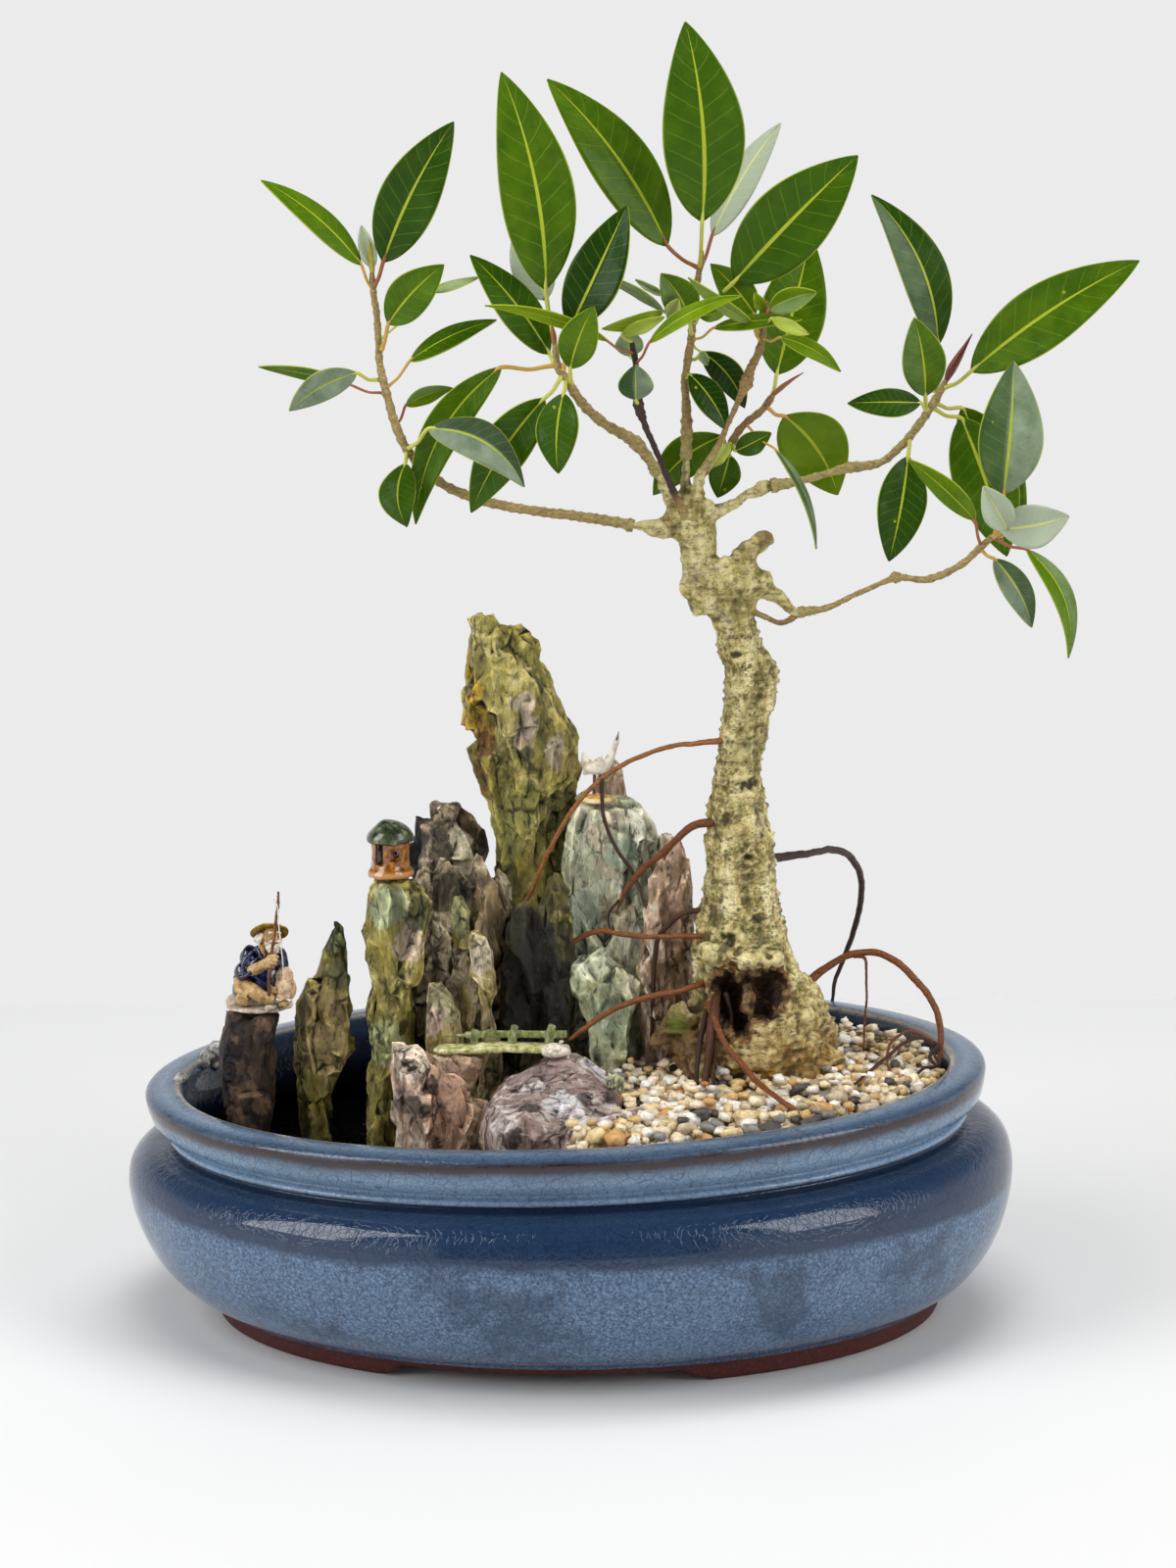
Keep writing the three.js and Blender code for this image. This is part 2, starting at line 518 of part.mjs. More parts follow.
const leaves = {
  leaf_left_narrow: {
    joint: [-71, -3, 380], base: [-75, -5, 389.5], tip: [-109.5, -12, 420],
    half: 4, sway: 3, twist: -7, twig: 1.2,
  },
  leaf_left_broad: {
    joint: [-70.7, -3, 381], base: [-67, -6, 390.5], tip: [-41, -14, 440],
    half: 10.5, sway: -2, twig: 0.6,
  },
  leaf_left_mid: {
    joint: [-68.1, -5.3, 359], base: [-65.5, -9, 368.5], tip: [-45, -16, 390],
    half: 7.5, sway: -1.5, twig: 1,
  },
  leaf_left_strap: {
    joint: [-67, -6, 345], base: [-58, -4, 355], tip: [-27, 6, 368.5],
    half: 3.5, sway: -2, twist: 4, twig: 2.4,
  },
  leaf_left_grey: {
    joint: [-68.7, -4, 348], base: [-77, -12, 351.5], tip: [-100.5, -22, 339],
    half: 5.5, sway: 2, twist: 4,
  },
  leaf_left_low: {
    joint: [-59.5, -9, 323.5], base: [-60, -14, 319], tip: [-59.5, -17, 296.5],
    half: 6.5, sway: 3, twist: 2, twig: 1.8,
  },
  leaf_left_gloss: {
    joint: [-59.5, -9, 323.5], base: [-51, -22, 332.5], tip: [-17, -31, 312.5],
    half: 7, sway: -6.5, twist: 3,
  },
  leaf_hang_long: {
    joint: [-4.5, -13, 354], base: [-25.5, -12, 353], tip: [-56.5, -14, 297],
    half: 7, sway: 7.5, arch: -1,
  },
  leaf_hang_fold: {
    joint: [-3.5, -13, 350], base: [-10, -20, 342.5], tip: [-36.5, -17, 301.5],
    half: 8.5, sway: 2.5, cup: 3, twig: 1.1,
  },
  leaf_hang_short: {
    joint: [-2, -13, 348.5], base: [-3, -20, 344.5], tip: [-5, -26, 316.5],
    half: 7.5, sway: 1.5, twig: 1.5,
  },
  leaf_a_small: {
    joint: [0, -12.5, 346.5], base: [-0.5, -22, 353.5], tip: [8, -30, 376],
    half: 6.8, sway: -1, twig: 2.4,
  },
  leaf_a_left: {
    joint: [-4.5, -13, 352.5], base: [-8, -8, 357.5], tip: [-36.5, -4, 393.5],
    half: 7, sway: 2, twist: -4, twig: 2.2,
  },
  leaf_a_tall: {
    joint: [-6, -13, 361], base: [-9, -12, 381], tip: [-24, -10, 457], half: 13.2, sway: 4, twig: 1,
  },
  leaf_a_dark: {
    joint: [-3, -14.6, 352], base: [-0.5, -18, 367.5], tip: [20, -20, 410.5],
    half: 9.5, twist: 3, twig: 1.2,
  },
  leaf_c_left: {
    joint: [46.3, 3, 386.5], base: [34.5, 4, 395], tip: [-8, 8, 454],
    half: 11, sway: 4, twist: -3, twig: 1.1,
  },
  leaf_c_top: {
    joint: [46.3, 3, 387], base: [47, -3, 404], tip: [41, -8, 474],
    half: 14.6, sway: 3, arch: 4, twig: 0.4,
  },
  leaf_c_pale: {
    joint: [46.3, 3, 386], base: [51, 11, 398], tip: [76, 20, 437.5],
    half: 5.5, sway: -1.5, twist: 6, arch: -2, twig: 1.4,
  },
  leaf_d_right: {
    joint: [44.3, 2.6, 371.5], base: [58.5, -4, 382.5], tip: [102, -10, 427],
    half: 13.8, sway: -1, twig: 2,
  },
  leaf_e_back: {
    joint: [72.5, 9, 339.5], base: [74.5, 13, 347.5], tip: [87.5, 26, 396.5], half: 12, twig: 0.4,
  },
  leaf_c_olive: {
    joint: [43.3, 2, 363], base: [42.5, -4, 368.5], tip: [32, -12, 386],
    half: 6.6, sway: 1.5, twig: 1.9,
  },
  leaf_c_dark: {
    joint: [42, 1.6, 354], base: [47.5, 8, 356], tip: [63, 18, 334.5], half: 5.5, sway: -2.5, twist: -3,
  },
  leaf_low_mid: {
    joint: [57, 6.2, 321.5], base: [54.5, 12, 325], tip: [29.5, 20, 302.5],
    half: 7.5, sway: 3.5, twig: 1.5,
  },
  leaf_right_round: {
    joint: [70.5, 8, 336.3], base: [77.5, 13, 332], tip: [97, 14, 303],
    half: 12.2, sway: -3, arch: -3, twig: 1,
  },
  leaf_f_left: {
    joint: [131.6, 6.8, 341], base: [133, 12, 357.5], tip: [108.5, 12, 412],
    half: 8.6, sway: 6, twist: -4, twig: 0.7,
  },
  leaf_f_mid: {
    joint: [128.5, 5, 334], base: [127.5, -1, 340.5], tip: [122.5, -10, 369.5],
    half: 7.8, sway: 1, arch: 2, twig: 1.9,
  },
  leaf_f_right: {
    joint: [134, 5, 342.5], base: [144, -1, 349.5], tip: [203, -6, 389],
    half: 11.2, sway: -3, twist: 2, twig: 2.6,
  },
  leaf_f_hang: {
    joint: [130, 5, 336], base: [141, 3, 332], tip: [158, 2, 281.5], half: 11.5, sway: -1, twig: 1.5,
  },
  leaf_f_low: {
    joint: [122.5, 5, 325.5], base: [121.5, 0, 318.5], tip: [114.5, -5, 281],
    half: 8.8, sway: -0.5, twig: 2.3,
  },
  leaf_g_up: {
    joint: [152, -14, 292], base: [154.5, -17, 307], tip: [158, -12, 354],
    half: 11.5, sway: 0.5, cup: 3, twig: 0.6,
  },
  leaf_g_strap: {
    joint: [147, -14, 287.5], base: [144, -20, 298], tip: [119.5, -24, 320.5],
    half: 4.2, sway: 1, twist: 4, twig: 1.8,
  },
  leaf_g_curl: {
    joint: [151, -14, 291], base: [152.5, -24, 295.5], tip: [176, -34, 301],
    half: 8, sway: 1.5, arch: -2, twig: 1,
  },
  leaf_g_small: {
    joint: [146.5, -14, 287], base: [151.5, -17, 283.5], tip: [165, -21, 259],
    half: 5.2, sway: -2, twist: 2, twig: 1.2,
  },
  leaf_g_long: {
    joint: [151, -14, 291], base: [163.5, -15, 286.5], tip: [178.5, -20, 247.5],
    half: 4, sway: -6, twist: 4, twig: 1.7,
  },
};
for (const [name, shape] of Object.entries(leaves)) {
  add(name, leaf(shape), 0x4f6f16, 0.35);
}

// Fisherman. One small clay figurine: straw hat, blue robe, bare legs, sitting on a flat foot.
const fisherman = join([
  ball(-119, -5, 117, 11, 9, 2.1, 14, 6),
  ball(-119, -4, 124.5, 7.8, 6.3, 7.5),
  ball(-116.8, -4.5, 132.5, 7.4, 5.6, 7.4),
  ball(-112.8, -6.5, 141.5, 3.9, 3.9, 4.3),
  ball(-111.8, -9.3, 138, 2.4, 2.4, 4),
  ball(-113.7, -6.2, 145.4, 7.2, 6.8, 2.5, 14, 6),
  limb([[-122.5, -6, 133.5, 2.4], [-121.5, -10, 129, 2.2], [-112.5, -12, 133, 1.6]]),
  limb([[-110, -5, 134, 2.4], [-109.3, -9, 131.5, 2], [-111.5, -11.5, 133.5, 1.6]]),
  ball(-108.8, -8, 127.5, 3.2, 3.6, 5),
  limb([[-109, -8.5, 127, 2.6], [-110, -11, 118, 2]]),
  limb([[-125.5, -7, 123, 3.2], [-119, -11.5, 120.5, 2.6], [-112.5, -11.5, 118, 2]]),
]);
add('fisherman', fisherman, 0x24304f, 0.35);

// Fishing rod. A thin cane that leans on the figurine's hand.
const rod = limb([[-114, -15, 121, 0.6], [-111.6, -14.6, 142, 0.55], [-109.8, -14.2, 161, 0.45]]);
add('fishing_rod', rod, 0x6b4a24, 0.7);

// Pavilion. Round clay tower with a glazed dome; its door and window are deep recesses.
const PAVILION_FOOT = 164.5 + SURFACE_GAP;
const PAVILION_X = -68.3;
const PAVILION_Y = -1;
const pavilionProfile = [
  [0, 0], [8.2, 0], [8.2, 2.6], [7.2, 4.6], [7.2, 13.4], [8.4, 13.6], [8.4, 15], [7.2, 17], [4.4, 19.6],
  [1.6, 21], [0, 21.2],
];
function tower(profile, segments) {
  const geometry = new THREE.LatheGeometry(profile.map(([r, z]) => new THREE.Vector2(r, z)), segments);
  geometry.rotateX(Math.PI / 2);
  geometry.translate(PAVILION_X, PAVILION_Y, PAVILION_FOOT);
  return geometry;
}
const RECESS_BACK = -4.6;
const pavilionDoor = block(-4.8, -2.6, -9, RECESS_BACK, 5.2, 12.6);
const pavilionWindow = block(0.4, 3.6, -9, RECESS_BACK, 6.6, 10.4);
for (const recess of [pavilionDoor, pavilionWindow]) {
  recess.translate(PAVILION_X, PAVILION_Y, PAVILION_FOOT);
}
add('pavilion', cut(tower(pavilionProfile, 14), [pavilionDoor, pavilionWindow]), 0xb4742c, 0.35);

// Crane. White clay bird on a round foot, on top of the green stone.
const crane = join([
  limb([[8, 25, 186 + SURFACE_GAP, 5.8], [8, 25, 187.6, 6.8], [8, 25, 189.6, 5.4]], 10),
  limb([[7, 26, 189, 0.7], [7.2, 26, 198, 0.7]]),
  limb([[9.6, 26, 189, 0.7], [9.4, 26, 198, 0.7]]),
  ball(8.6, 26, 200, 6, 3.2, 3.6),
  limb([[4.6, 26, 200, 2], [3.6, 26, 203, 1.4], [3.4, 26, 205.4, 0.5]]),
  limb([[4.5, 26, 199.5, 2], [2.2, 26, 196.6, 0.7]]),
  limb([[12, 26, 200.5, 2.2], [14.6, 26, 204.5, 1.4], [15.6, 26, 208.5, 1.3], [16.3, 26, 212.5, 0.4]]),
]);
add('crane', crane, 0xe2dccb, 0.45);

// Bridge. Yellow-green clay deck with a rail on three posts, and a white lump at its right end.
const bridge = join([
  limb([[-52, -22.4, 104, 1.6], [-30, -22.4, 104.4, 1.7], [-7, -22.4, 104.2, 1.6]], 8),
  block(-51.5, -7.5, -26.8, -18, 102.6, 105.2),
  ball(-8, -22.4, 103.5, 5.3, 5.4, 2.8),
  limb([[-41, -19.4, 108.6, 1.1], [-4, -19.4, 108.4, 1.1]]),
  limb([[-37.8, -19.4, 104, 1.2], [-37.2, -19.4, 110.6, 1.2]]),
  limb([[-23.8, -19.4, 104, 1.4], [-22.8, -19.4, 112.2, 1.4]]),
  limb([[-10.2, -19.4, 104, 1.4], [-9.2, -19.4, 112.4, 1.4]]),
]);
add('bridge', bridge, 0xa5ae62, 0.5);

export default group;
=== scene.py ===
import math
import random

import bmesh
import bpy
import numpy as np
from mathutils import Matrix, Vector, noise
from mathutils.bvhtree import BVHTree


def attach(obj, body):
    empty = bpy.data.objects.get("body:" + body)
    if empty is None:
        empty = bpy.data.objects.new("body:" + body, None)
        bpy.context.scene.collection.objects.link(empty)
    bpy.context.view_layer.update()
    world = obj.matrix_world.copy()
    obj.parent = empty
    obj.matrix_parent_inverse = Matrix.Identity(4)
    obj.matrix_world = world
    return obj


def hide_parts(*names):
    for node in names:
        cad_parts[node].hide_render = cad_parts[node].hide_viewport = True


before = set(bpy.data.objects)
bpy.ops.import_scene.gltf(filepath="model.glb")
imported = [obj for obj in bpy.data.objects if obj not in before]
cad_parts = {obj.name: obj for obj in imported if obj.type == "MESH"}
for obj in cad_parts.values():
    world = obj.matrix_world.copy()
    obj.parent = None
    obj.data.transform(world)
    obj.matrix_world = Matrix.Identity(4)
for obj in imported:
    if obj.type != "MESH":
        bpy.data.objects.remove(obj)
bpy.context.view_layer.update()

# The studio: a pale table with soft light boxes on both sides and above, and a long lens 1.5 m away
# that looks down on the pot by 11.5 degrees. A dark card stands behind the camera, and the upper
# half of the belly mirrors it.
MM = 0.001
POT_MIDDLE_TO_BOX_MIDDLE = 17.7
LENS_MM = 124.8
FILM_WIDTH_MM = 36
CAMERA_DISTANCE = 1500
AIM_X = 4.8
AIM_HEIGHT = 198.4
CAMERA_PITCH = math.radians(11.5)
CAMERA_ROLL = math.radians(-0.4)
TABLE_BACK_EDGE = 447


def at(x, y, z):
    """The place in metres of a point given in millimetres from the middle of the pot's foot."""
    return Vector((x - POT_MIDDLE_TO_BOX_MIDDLE, y, z)) * MM


def colour(hex_text):
    """An sRGB hex value as linear red, green and blue with full alpha."""
    shares = [int(hex_text[i : i + 2], 16) / 255 for i in (1, 3, 5)]
    return (*(s / 12.92 if s <= 0.04045 else ((s + 0.055) / 1.055) ** 2.4 for s in shares), 1)


def add(tree, kind, inputs=None, stops=None, **settings):
    """Adds one shader node. An input is a value or another node's output; stops fill a colour ramp."""
    made = tree.nodes.new("ShaderNode" + kind)
    for name, value in settings.items():
        setattr(made, name, value)
    for name, value in (inputs or {}).items():
        if isinstance(value, bpy.types.NodeSocket):
            tree.links.new(value, made.inputs[name])
        else:
            made.inputs[name].default_value = value
    for number, (place, tone) in enumerate(stops or ()):
        ramp = made.color_ramp.elements
        mark = ramp[number] if number < 2 else ramp.new(place)
        mark.position = place
        mark.color = colour(tone) if isinstance(tone, str) else (tone, tone, tone, 1)
    return made


def material(name, sockets):
    """A new material with its node tree and its surface shader, and the values of the shader's sockets."""
    made = bpy.data.materials.new(name)
    made.use_nodes = True
    shader = made.node_tree.nodes["Principled BSDF"]
    for socket, value in sockets.items():
        shader.inputs[socket].default_value = value
    return made, made.node_tree, shader


aim = at(AIM_X, 0, AIM_HEIGHT)
backwards = Vector((0, -math.cos(CAMERA_PITCH), math.sin(CAMERA_PITCH)))
camera = bpy.data.objects.new("camera", bpy.data.cameras.new("camera"))
camera.data.sensor_fit = "HORIZONTAL"
camera.data.sensor_width = FILM_WIDTH_MM
camera.data.lens = LENS_MM
camera.matrix_world = (
    Matrix.Translation(aim + backwards * CAMERA_DISTANCE * MM)
    @ Matrix.Rotation(math.pi / 2 - CAMERA_PITCH, 4, "X")
    @ Matrix.Rotation(CAMERA_ROLL, 4, "Z")
)
bpy.context.scene.collection.objects.link(camera)
bpy.context.scene.camera = camera
bpy.context.scene.view_settings.view_transform = "Standard"

BOX_HEIGHT_SHARE = 1.7
# watts, width in metres, place in metres
light_boxes = {
    "left_box": (25, 0.95, (-1.5, -0.72, 1.2)),
    "right_box": (19, 0.9, (1.4, -0.9, 1.15)),
    "top_box": (24, 0.95, (0.1, 0.1, 1.9)),
}
for name, (watts, size, place) in light_boxes.items():
    light = bpy.data.lights.new(name, "AREA")
    light.energy = watts
    light.shape = "RECTANGLE"
    light.size = size
    light.size_y = size * BOX_HEIGHT_SHARE
    box = bpy.data.objects.new(name, light)
    box.matrix_world = Matrix.Translation(place) @ (
        (aim - Vector(place)).to_track_quat("-Z", "Y").to_matrix().to_4x4()
    )
    bpy.context.scene.collection.objects.link(box)
    # the ceiling of the real room spreads this light, so no bright square of it shows in the glaze
    box.visible_glossy = name != "top_box"

world = bpy.data.worlds.new("studio_air")
world.use_nodes = True
tree = world.node_tree
way = add(tree, "TexCoord").outputs["Generated"]
rise = add(tree, "SeparateXYZ", {"Vector": way}).outputs["Z"]
air = add(
    tree, "ValToRGB", {"Fac": rise},
    stops=[(0.12, "#ebebec"), (0.75, "#2c2e32"), (0.3, "#c2c4c8"), (0.48, "#62656a")],
)
tree.links.new(air.outputs["Color"], tree.nodes["Background"].inputs["Color"])
bpy.context.scene.world = world

# Matt white laminate and matt black card, both without any pattern that the camera could see
table_paint = material("white_table_laminate", {"Base Color": colour("#e7e7e6"), "Roughness": 0.6})[0]
card_paint = material("black_card", {"Base Color": colour("#0c0e12"), "Roughness": 0.9})[0]


def sheet_of(name, low, high, paint):
    """A flat rectangle of the studio between two opposite corners."""
    low, high = Vector(low), Vector(high)
    bm = bmesh.new()
    bmesh.ops.create_grid(bm, x_segments=1, y_segments=1, size=0.5)
    for vert in bm.verts:
        share = Vector((vert.co.x + 0.5, vert.co.y + 0.5, vert.co.y + 0.5))
        vert.co = low + Vector(s * d for s, d in zip(share, high - low))
    mesh = bpy.data.meshes.new(name)
    bm.to_mesh(mesh)
    bm.free()
    mesh.materials.append(paint)
    made = bpy.data.objects.new(name, mesh)
    bpy.context.scene.collection.objects.link(made)
    return made


sheet_of("table_top", (-2.5, -2.5, 0), (2.5, TABLE_BACK_EDGE * MM, 0), table_paint)
card = sheet_of("dark_card", (-1.1, -2.1, 0.0), (1.1, -2.1, 1.9), card_paint)
card.visible_camera = False
card.visible_diffuse = False
card.visible_shadow = False

# The pot is pressed stoneware, one oval bowl with a rolled rim. A thick blue glaze covers it, full of
# fine crackle, thin and brown along the edge of the rim and darker inside. The foot ring stays bare
# clay, with a low opening cut out at the front and one at the back.
LENGTH_OVER_DEPTH = 38
STRAIGHT_RADIUS = 125
RIM_HEIGHT = 88
RIM_LEAN = -4.4
RIM_TILT = 0.028
POT_STEPS = 150
PROFILE_STEP = 1.7
FOOT_RADIUS = 137.6
GLAZE_START = 7.4
FOOT_OPENING_HEIGHT = 5.2
FOOT_OPENING_SLOPE = 5
FOOT_OPENING_FRONT = (-66, 41)
FOOT_OPENING_BACK = (-41, 66)
FLOOR_HALF_DEPTH = 60


def smooth_line(points, step, places=3):
    """Rows on a smooth curve through the given rows, about a step apart. The first columns are places."""
    rows = np.array(points, float)
    rows = np.vstack([2 * rows[0] - rows[1], rows, 2 * rows[-1] - rows[-2]])
    line = []
    for before, start, end, after in zip(rows, rows[1:], rows[2:], rows[3:]):
        pairs = ((before, start), (start, end), (end, after))
        first, gap, last = (max(np.linalg.norm((b - a)[:places]), 1e-6) ** 0.5 for a, b in pairs)
        count = max(1, math.ceil(gap**2 / step))
        t = (np.arange(count) / count)[:, None]
        leave = (start - before) / first - (end - before) / (first + gap) + (end - start) / gap
        arrive = (end - start) / gap - (after - start) / (gap + last) + (after - end) / last
        line.extend(
            (2 * t**3 - 3 * t**2 + 1) * start
            + (t**3 - 2 * t**2 + t) * gap * leave
            + (3 * t**2 - 2 * t**3) * end
            + (t**3 - t**2) * gap * arrive
        )
    return np.array([*line, rows[-2]])


def oval(x, y, z):
    """Moves a point of a round bowl to where the oval, slightly leaning bowl has it."""
    radius = max(math.hypot(x, y), 1e-6)
    base = max(radius, STRAIGHT_RADIUS)
    share = min(max(z / RIM_HEIGHT, 0), 1.05)
    moved = x + RIM_LEAN * share
    return moved, y * (base - LENGTH_OVER_DEPTH) / base, z + RIM_TILT * moved * share


def link(name, mesh, *paints):
    """A new object at the origin with the given mesh and materials."""
    mesh.name = name
    for paint in paints:
        mesh.materials.append(paint)
    made = bpy.data.objects.new(name, mesh)
    bpy.context.scene.collection.objects.link(made)
    return made


def mesh_of(bm, smooth=True):
    """Ends a bmesh, with its faces outwards, as a mesh."""
    bmesh.ops.recalc_face_normals(bm, faces=bm.faces)
    for face in bm.faces:
        face.smooth = smooth
    mesh = bpy.data.meshes.new("mesh")
    bm.to_mesh(mesh)
    bm.free()
    return mesh


def scale_of(size_mm):
    """The scale of a pattern on metres whose cells are this many millimetres wide."""
    return 1000 / size_mm


def stained(tree, tone, tint, source, start, end, share=1):
    """The tone with a tint laid over it, from none to a share of it as the source goes from start to end."""
    over = add(tree, "MapRange", {"Value": source, "From Min": start, "From Max": end, "To Max": share})
    tint = colour(tint) if isinstance(tint, str) else tint
    return add(tree, "Mix", {0: over.outputs[0], 6: tone, 7: tint}, data_type="RGBA").outputs[2]


def surfaced(tree, shader, tone, height, strength, distance):
    """Gives a shader its colour and its bumps, which are a distance in metres high where height is 1."""
    bump = add(tree, "Bump", {"Height": height, "Strength": strength, "Distance": distance})
    tree.links.new(tone, shader.inputs["Base Color"])
    tree.links.new(bump.outputs[0], shader.inputs["Normal"])


# half length and height along the wall: foot, belly, two beads, rim
outer_wall = [
    (0, 6.5), (60, 6.5), (121, 6.5), (123.4, 5.6), (123.9, 1), (124.6, 0.1), (134, 0.1), (135, 0.7),
    (136.2, 4), (136.6, 6.8), (137.6, 7.4), (138.8, 8.6), (143, 11), (149.5, 16), (157, 25.5), (162, 36.5),
    (164.6, 47), (165, 56), (163, 63), (158.5, 67.2), (152.5, 69), (148, 69.2), (146.9, 69.6),
    (147.2, 70.4), (148.8, 71), (149.3, 72), (148.7, 73), (146.6, 73.5), (146.3, 74.2), (147.2, 74.9),
    (151, 76), (154, 78.6), (155.4, 82), (156.3, 86.5), (156.4, 88.6), (155.4, 90),
]
inner_wall = [
    (152.5, 90.7), (146.5, 91), (143.9, 90.6), (142.6, 89), (141.8, 86), (138.6, 79), (137.4, 71),
    (139.5, 65), (150, 60.5), (156.8, 52), (154.5, 38), (148, 26), (138, 18.5), (126, 16), (60, 16),
    (0, 16),
]
profile = smooth_line(outer_wall + inner_wall, PROFILE_STEP, places=2)
travelled = np.concatenate([[0], np.cumsum(np.linalg.norm(np.diff(profile, axis=0), axis=1))])


def travelled_at(radius, height):
    """How far along the profile its nearest point to a radius and height is."""
    return float(travelled[np.argmin(np.hypot(profile[:, 0] - radius, profile[:, 1] - height))])


bm = bmesh.new()
along = bm.verts.layers.float.new("along_wall")
for (radius, height), far in zip(profile, travelled):
    bm.verts.new((max(radius, 0), 0, height))[along] = far
bm.verts.ensure_lookup_table()
for i in range(len(bm.verts) - 1):
    bm.edges.new((bm.verts[i], bm.verts[i + 1]))
bmesh.ops.spin(
    bm, geom=bm.verts[:] + bm.edges[:], axis=(0, 0, 1), angle=math.tau, steps=POT_STEPS, use_merge=True
)
bmesh.ops.remove_doubles(bm, verts=bm.verts, dist=0.001)
glaze_from = travelled_at(FOOT_RADIUS, GLAZE_START)
for face in bm.faces:
    far = sum(v[along] for v in face.verts) / len(face.verts)
    face.material_index = 0 if far > glaze_from else 1
for vert in bm.verts:
    x, y, z = oval(*vert.co)
    from_x, to_x = FOOT_OPENING_FRONT if y < 0 else FOOT_OPENING_BACK
    if z < FOOT_OPENING_HEIGHT and abs(y) > FLOOR_HALF_DEPTH:
        reach = min(x - from_x, to_x - x) / FOOT_OPENING_SLOPE + 0.5
        z = max(z, FOOT_OPENING_HEIGHT * min(max(reach, 0), 1))
    vert.co = at(x, y, z)
pot_mesh = mesh_of(bm)

# Blue reduction glaze, dipped and fired: a deep coat with milky speckles, fine cracks that hold
# dirt, brown where it ran thin on the edge of the rim, and milky again on top of the lip
glaze, tree, shader = material(
    "blue_crackle_glaze",
    {
        "Roughness": 0.35, "Specular IOR Level": 0, "Coat Weight": 1, "Coat Roughness": 0.06,
        "Coat IOR": 1.52,
    },
)
spot = add(tree, "TexCoord").outputs["Object"]
far = add(tree, "Attribute", attribute_name="along_wall").outputs["Fac"]
height = add(tree, "SeparateXYZ", {"Vector": spot}).outputs["Z"]
speckle = add(
    tree, "TexNoise", {"Vector": spot, "Scale": scale_of(1.1), "Detail": 4, "Roughness": 0.7}
).outputs["Fac"]
cloud = add(
    tree, "TexNoise", {"Vector": spot, "Scale": scale_of(34), "Detail": 4, "Roughness": 0.6}
).outputs["Fac"]
milk = add(
    tree, "MapRange", {"Value": speckle, "From Min": 0.4, "From Max": 0.66, "To Min": 0.18}
).outputs[0]
# dark and clear on the upper half of the belly, milky on the lower half: partly the glaze, which ran down
# and is too thin above to turn milky, and partly a painted reflection, of the dark room in front on the
# upper half and of the pale table on the lower half
wavy_height = add(tree, "Math", {0: cloud, 1: 0.009, 2: height}, operation="MULTIPLY_ADD").outputs[0]
lower_belly_milk_and_reflection = add(
    tree, "MapRange", {
        "Value": wavy_height, "From Min": 0.0588, "From Max": 0.0558, "To Min": 0.02, "To Max": 0.74
    }
).outputs[0]
bare_spots = add(
    tree, "MapRange", {"Value": cloud, "From Min": 0.38, "From Max": 0.48, "To Min": 0.35}
).outputs[0]
milky = add(tree, "Math", {0: milk, 1: lower_belly_milk_and_reflection}, operation="MULTIPLY").outputs[0]
milky = add(tree, "Math", {0: milky, 1: bare_spots}, operation="MULTIPLY").outputs[0]
body = add(tree, "Mix", {0: milky, 6: colour("#001d3e"), 7: colour("#7a9abf")}, data_type="RGBA").outputs[2]
# shares of the way along the wall, from the middle of the foot to the middle of the floor inside
rim_start = travelled_at(148.8, 71) / travelled[-1]
rim_edge = travelled_at(156.4, 88.6) / travelled[-1]
lip_end = travelled_at(143.9, 90.6) / travelled[-1]
share = add(tree, "Math", {0: far, 1: 1 / travelled[-1]}, operation="MULTIPLY").outputs[0]
wander = add(
    tree, "TexNoise", {"Vector": spot, "Scale": scale_of(22), "Detail": 5, "Roughness": 0.65}
).outputs["Fac"]
wavy = add(tree, "Math", {0: wander, 1: 0.009, 2: share}, operation="MULTIPLY_ADD").outputs[0]
wavy_edge = rim_edge + 0.0045
thin = add(
    tree, "ValToRGB", {"Fac": wavy},
    stops=[
        (0, 0), (1, 0), (wavy_edge - 0.012, 0), (wavy_edge - 0.008, 0.3), (wavy_edge - 0.005, 1),
        (wavy_edge - 0.001, 1), (wavy_edge + 0.003, 0),
    ],
).outputs["Color"]
lip = add(
    tree, "ValToRGB", {"Fac": share},
    stops=[
        (0, 0), (1, 0), (rim_start - 0.002, 0.05), (rim_start + 0.004, 0.95), (rim_edge - 0.012, 0.45),
        (rim_edge + 0.004, 0.15), (lip_end - 0.012, 0.4), (lip_end, 0.1),
    ],
).outputs["Color"]
drift = add(tree, "Math", {0: speckle, 1: cloud}, operation="ADD").outputs[0]
lip_milk = add(tree, "Math", {0: lip, 1: drift}, operation="MULTIPLY").outputs[0]
edge_line = add(
    tree, "ValToRGB", {"Fac": share},
    stops=[(0, 0), (1, 0), (lip_end - 0.003, 0), (lip_end, 0.7), (lip_end + 0.003, 0)],
).outputs["Color"]
tone = body
for over, tint in ((lip_milk, "#93b0cc"), (thin, "#2d1710"), (edge_line, "#b9a98a")):
    tone = add(tree, "Mix", {0: over, 6: tone, 7: colour(tint)}, data_type="RGBA").outputs[2]
tone = stained(tree, tone, "#050c1c", share, lip_end + 0.001, lip_end + 0.02, 0.9)
warp = add(tree, "TexNoise", {"Vector": spot, "Scale": scale_of(9), "Detail": 2}).outputs["Color"]
warp = add(tree, "VectorMath", {0: warp, "Scale": 0.004}, operation="SCALE").outputs[0]
bent = add(tree, "VectorMath", {0: spot, 1: warp}).outputs[0]
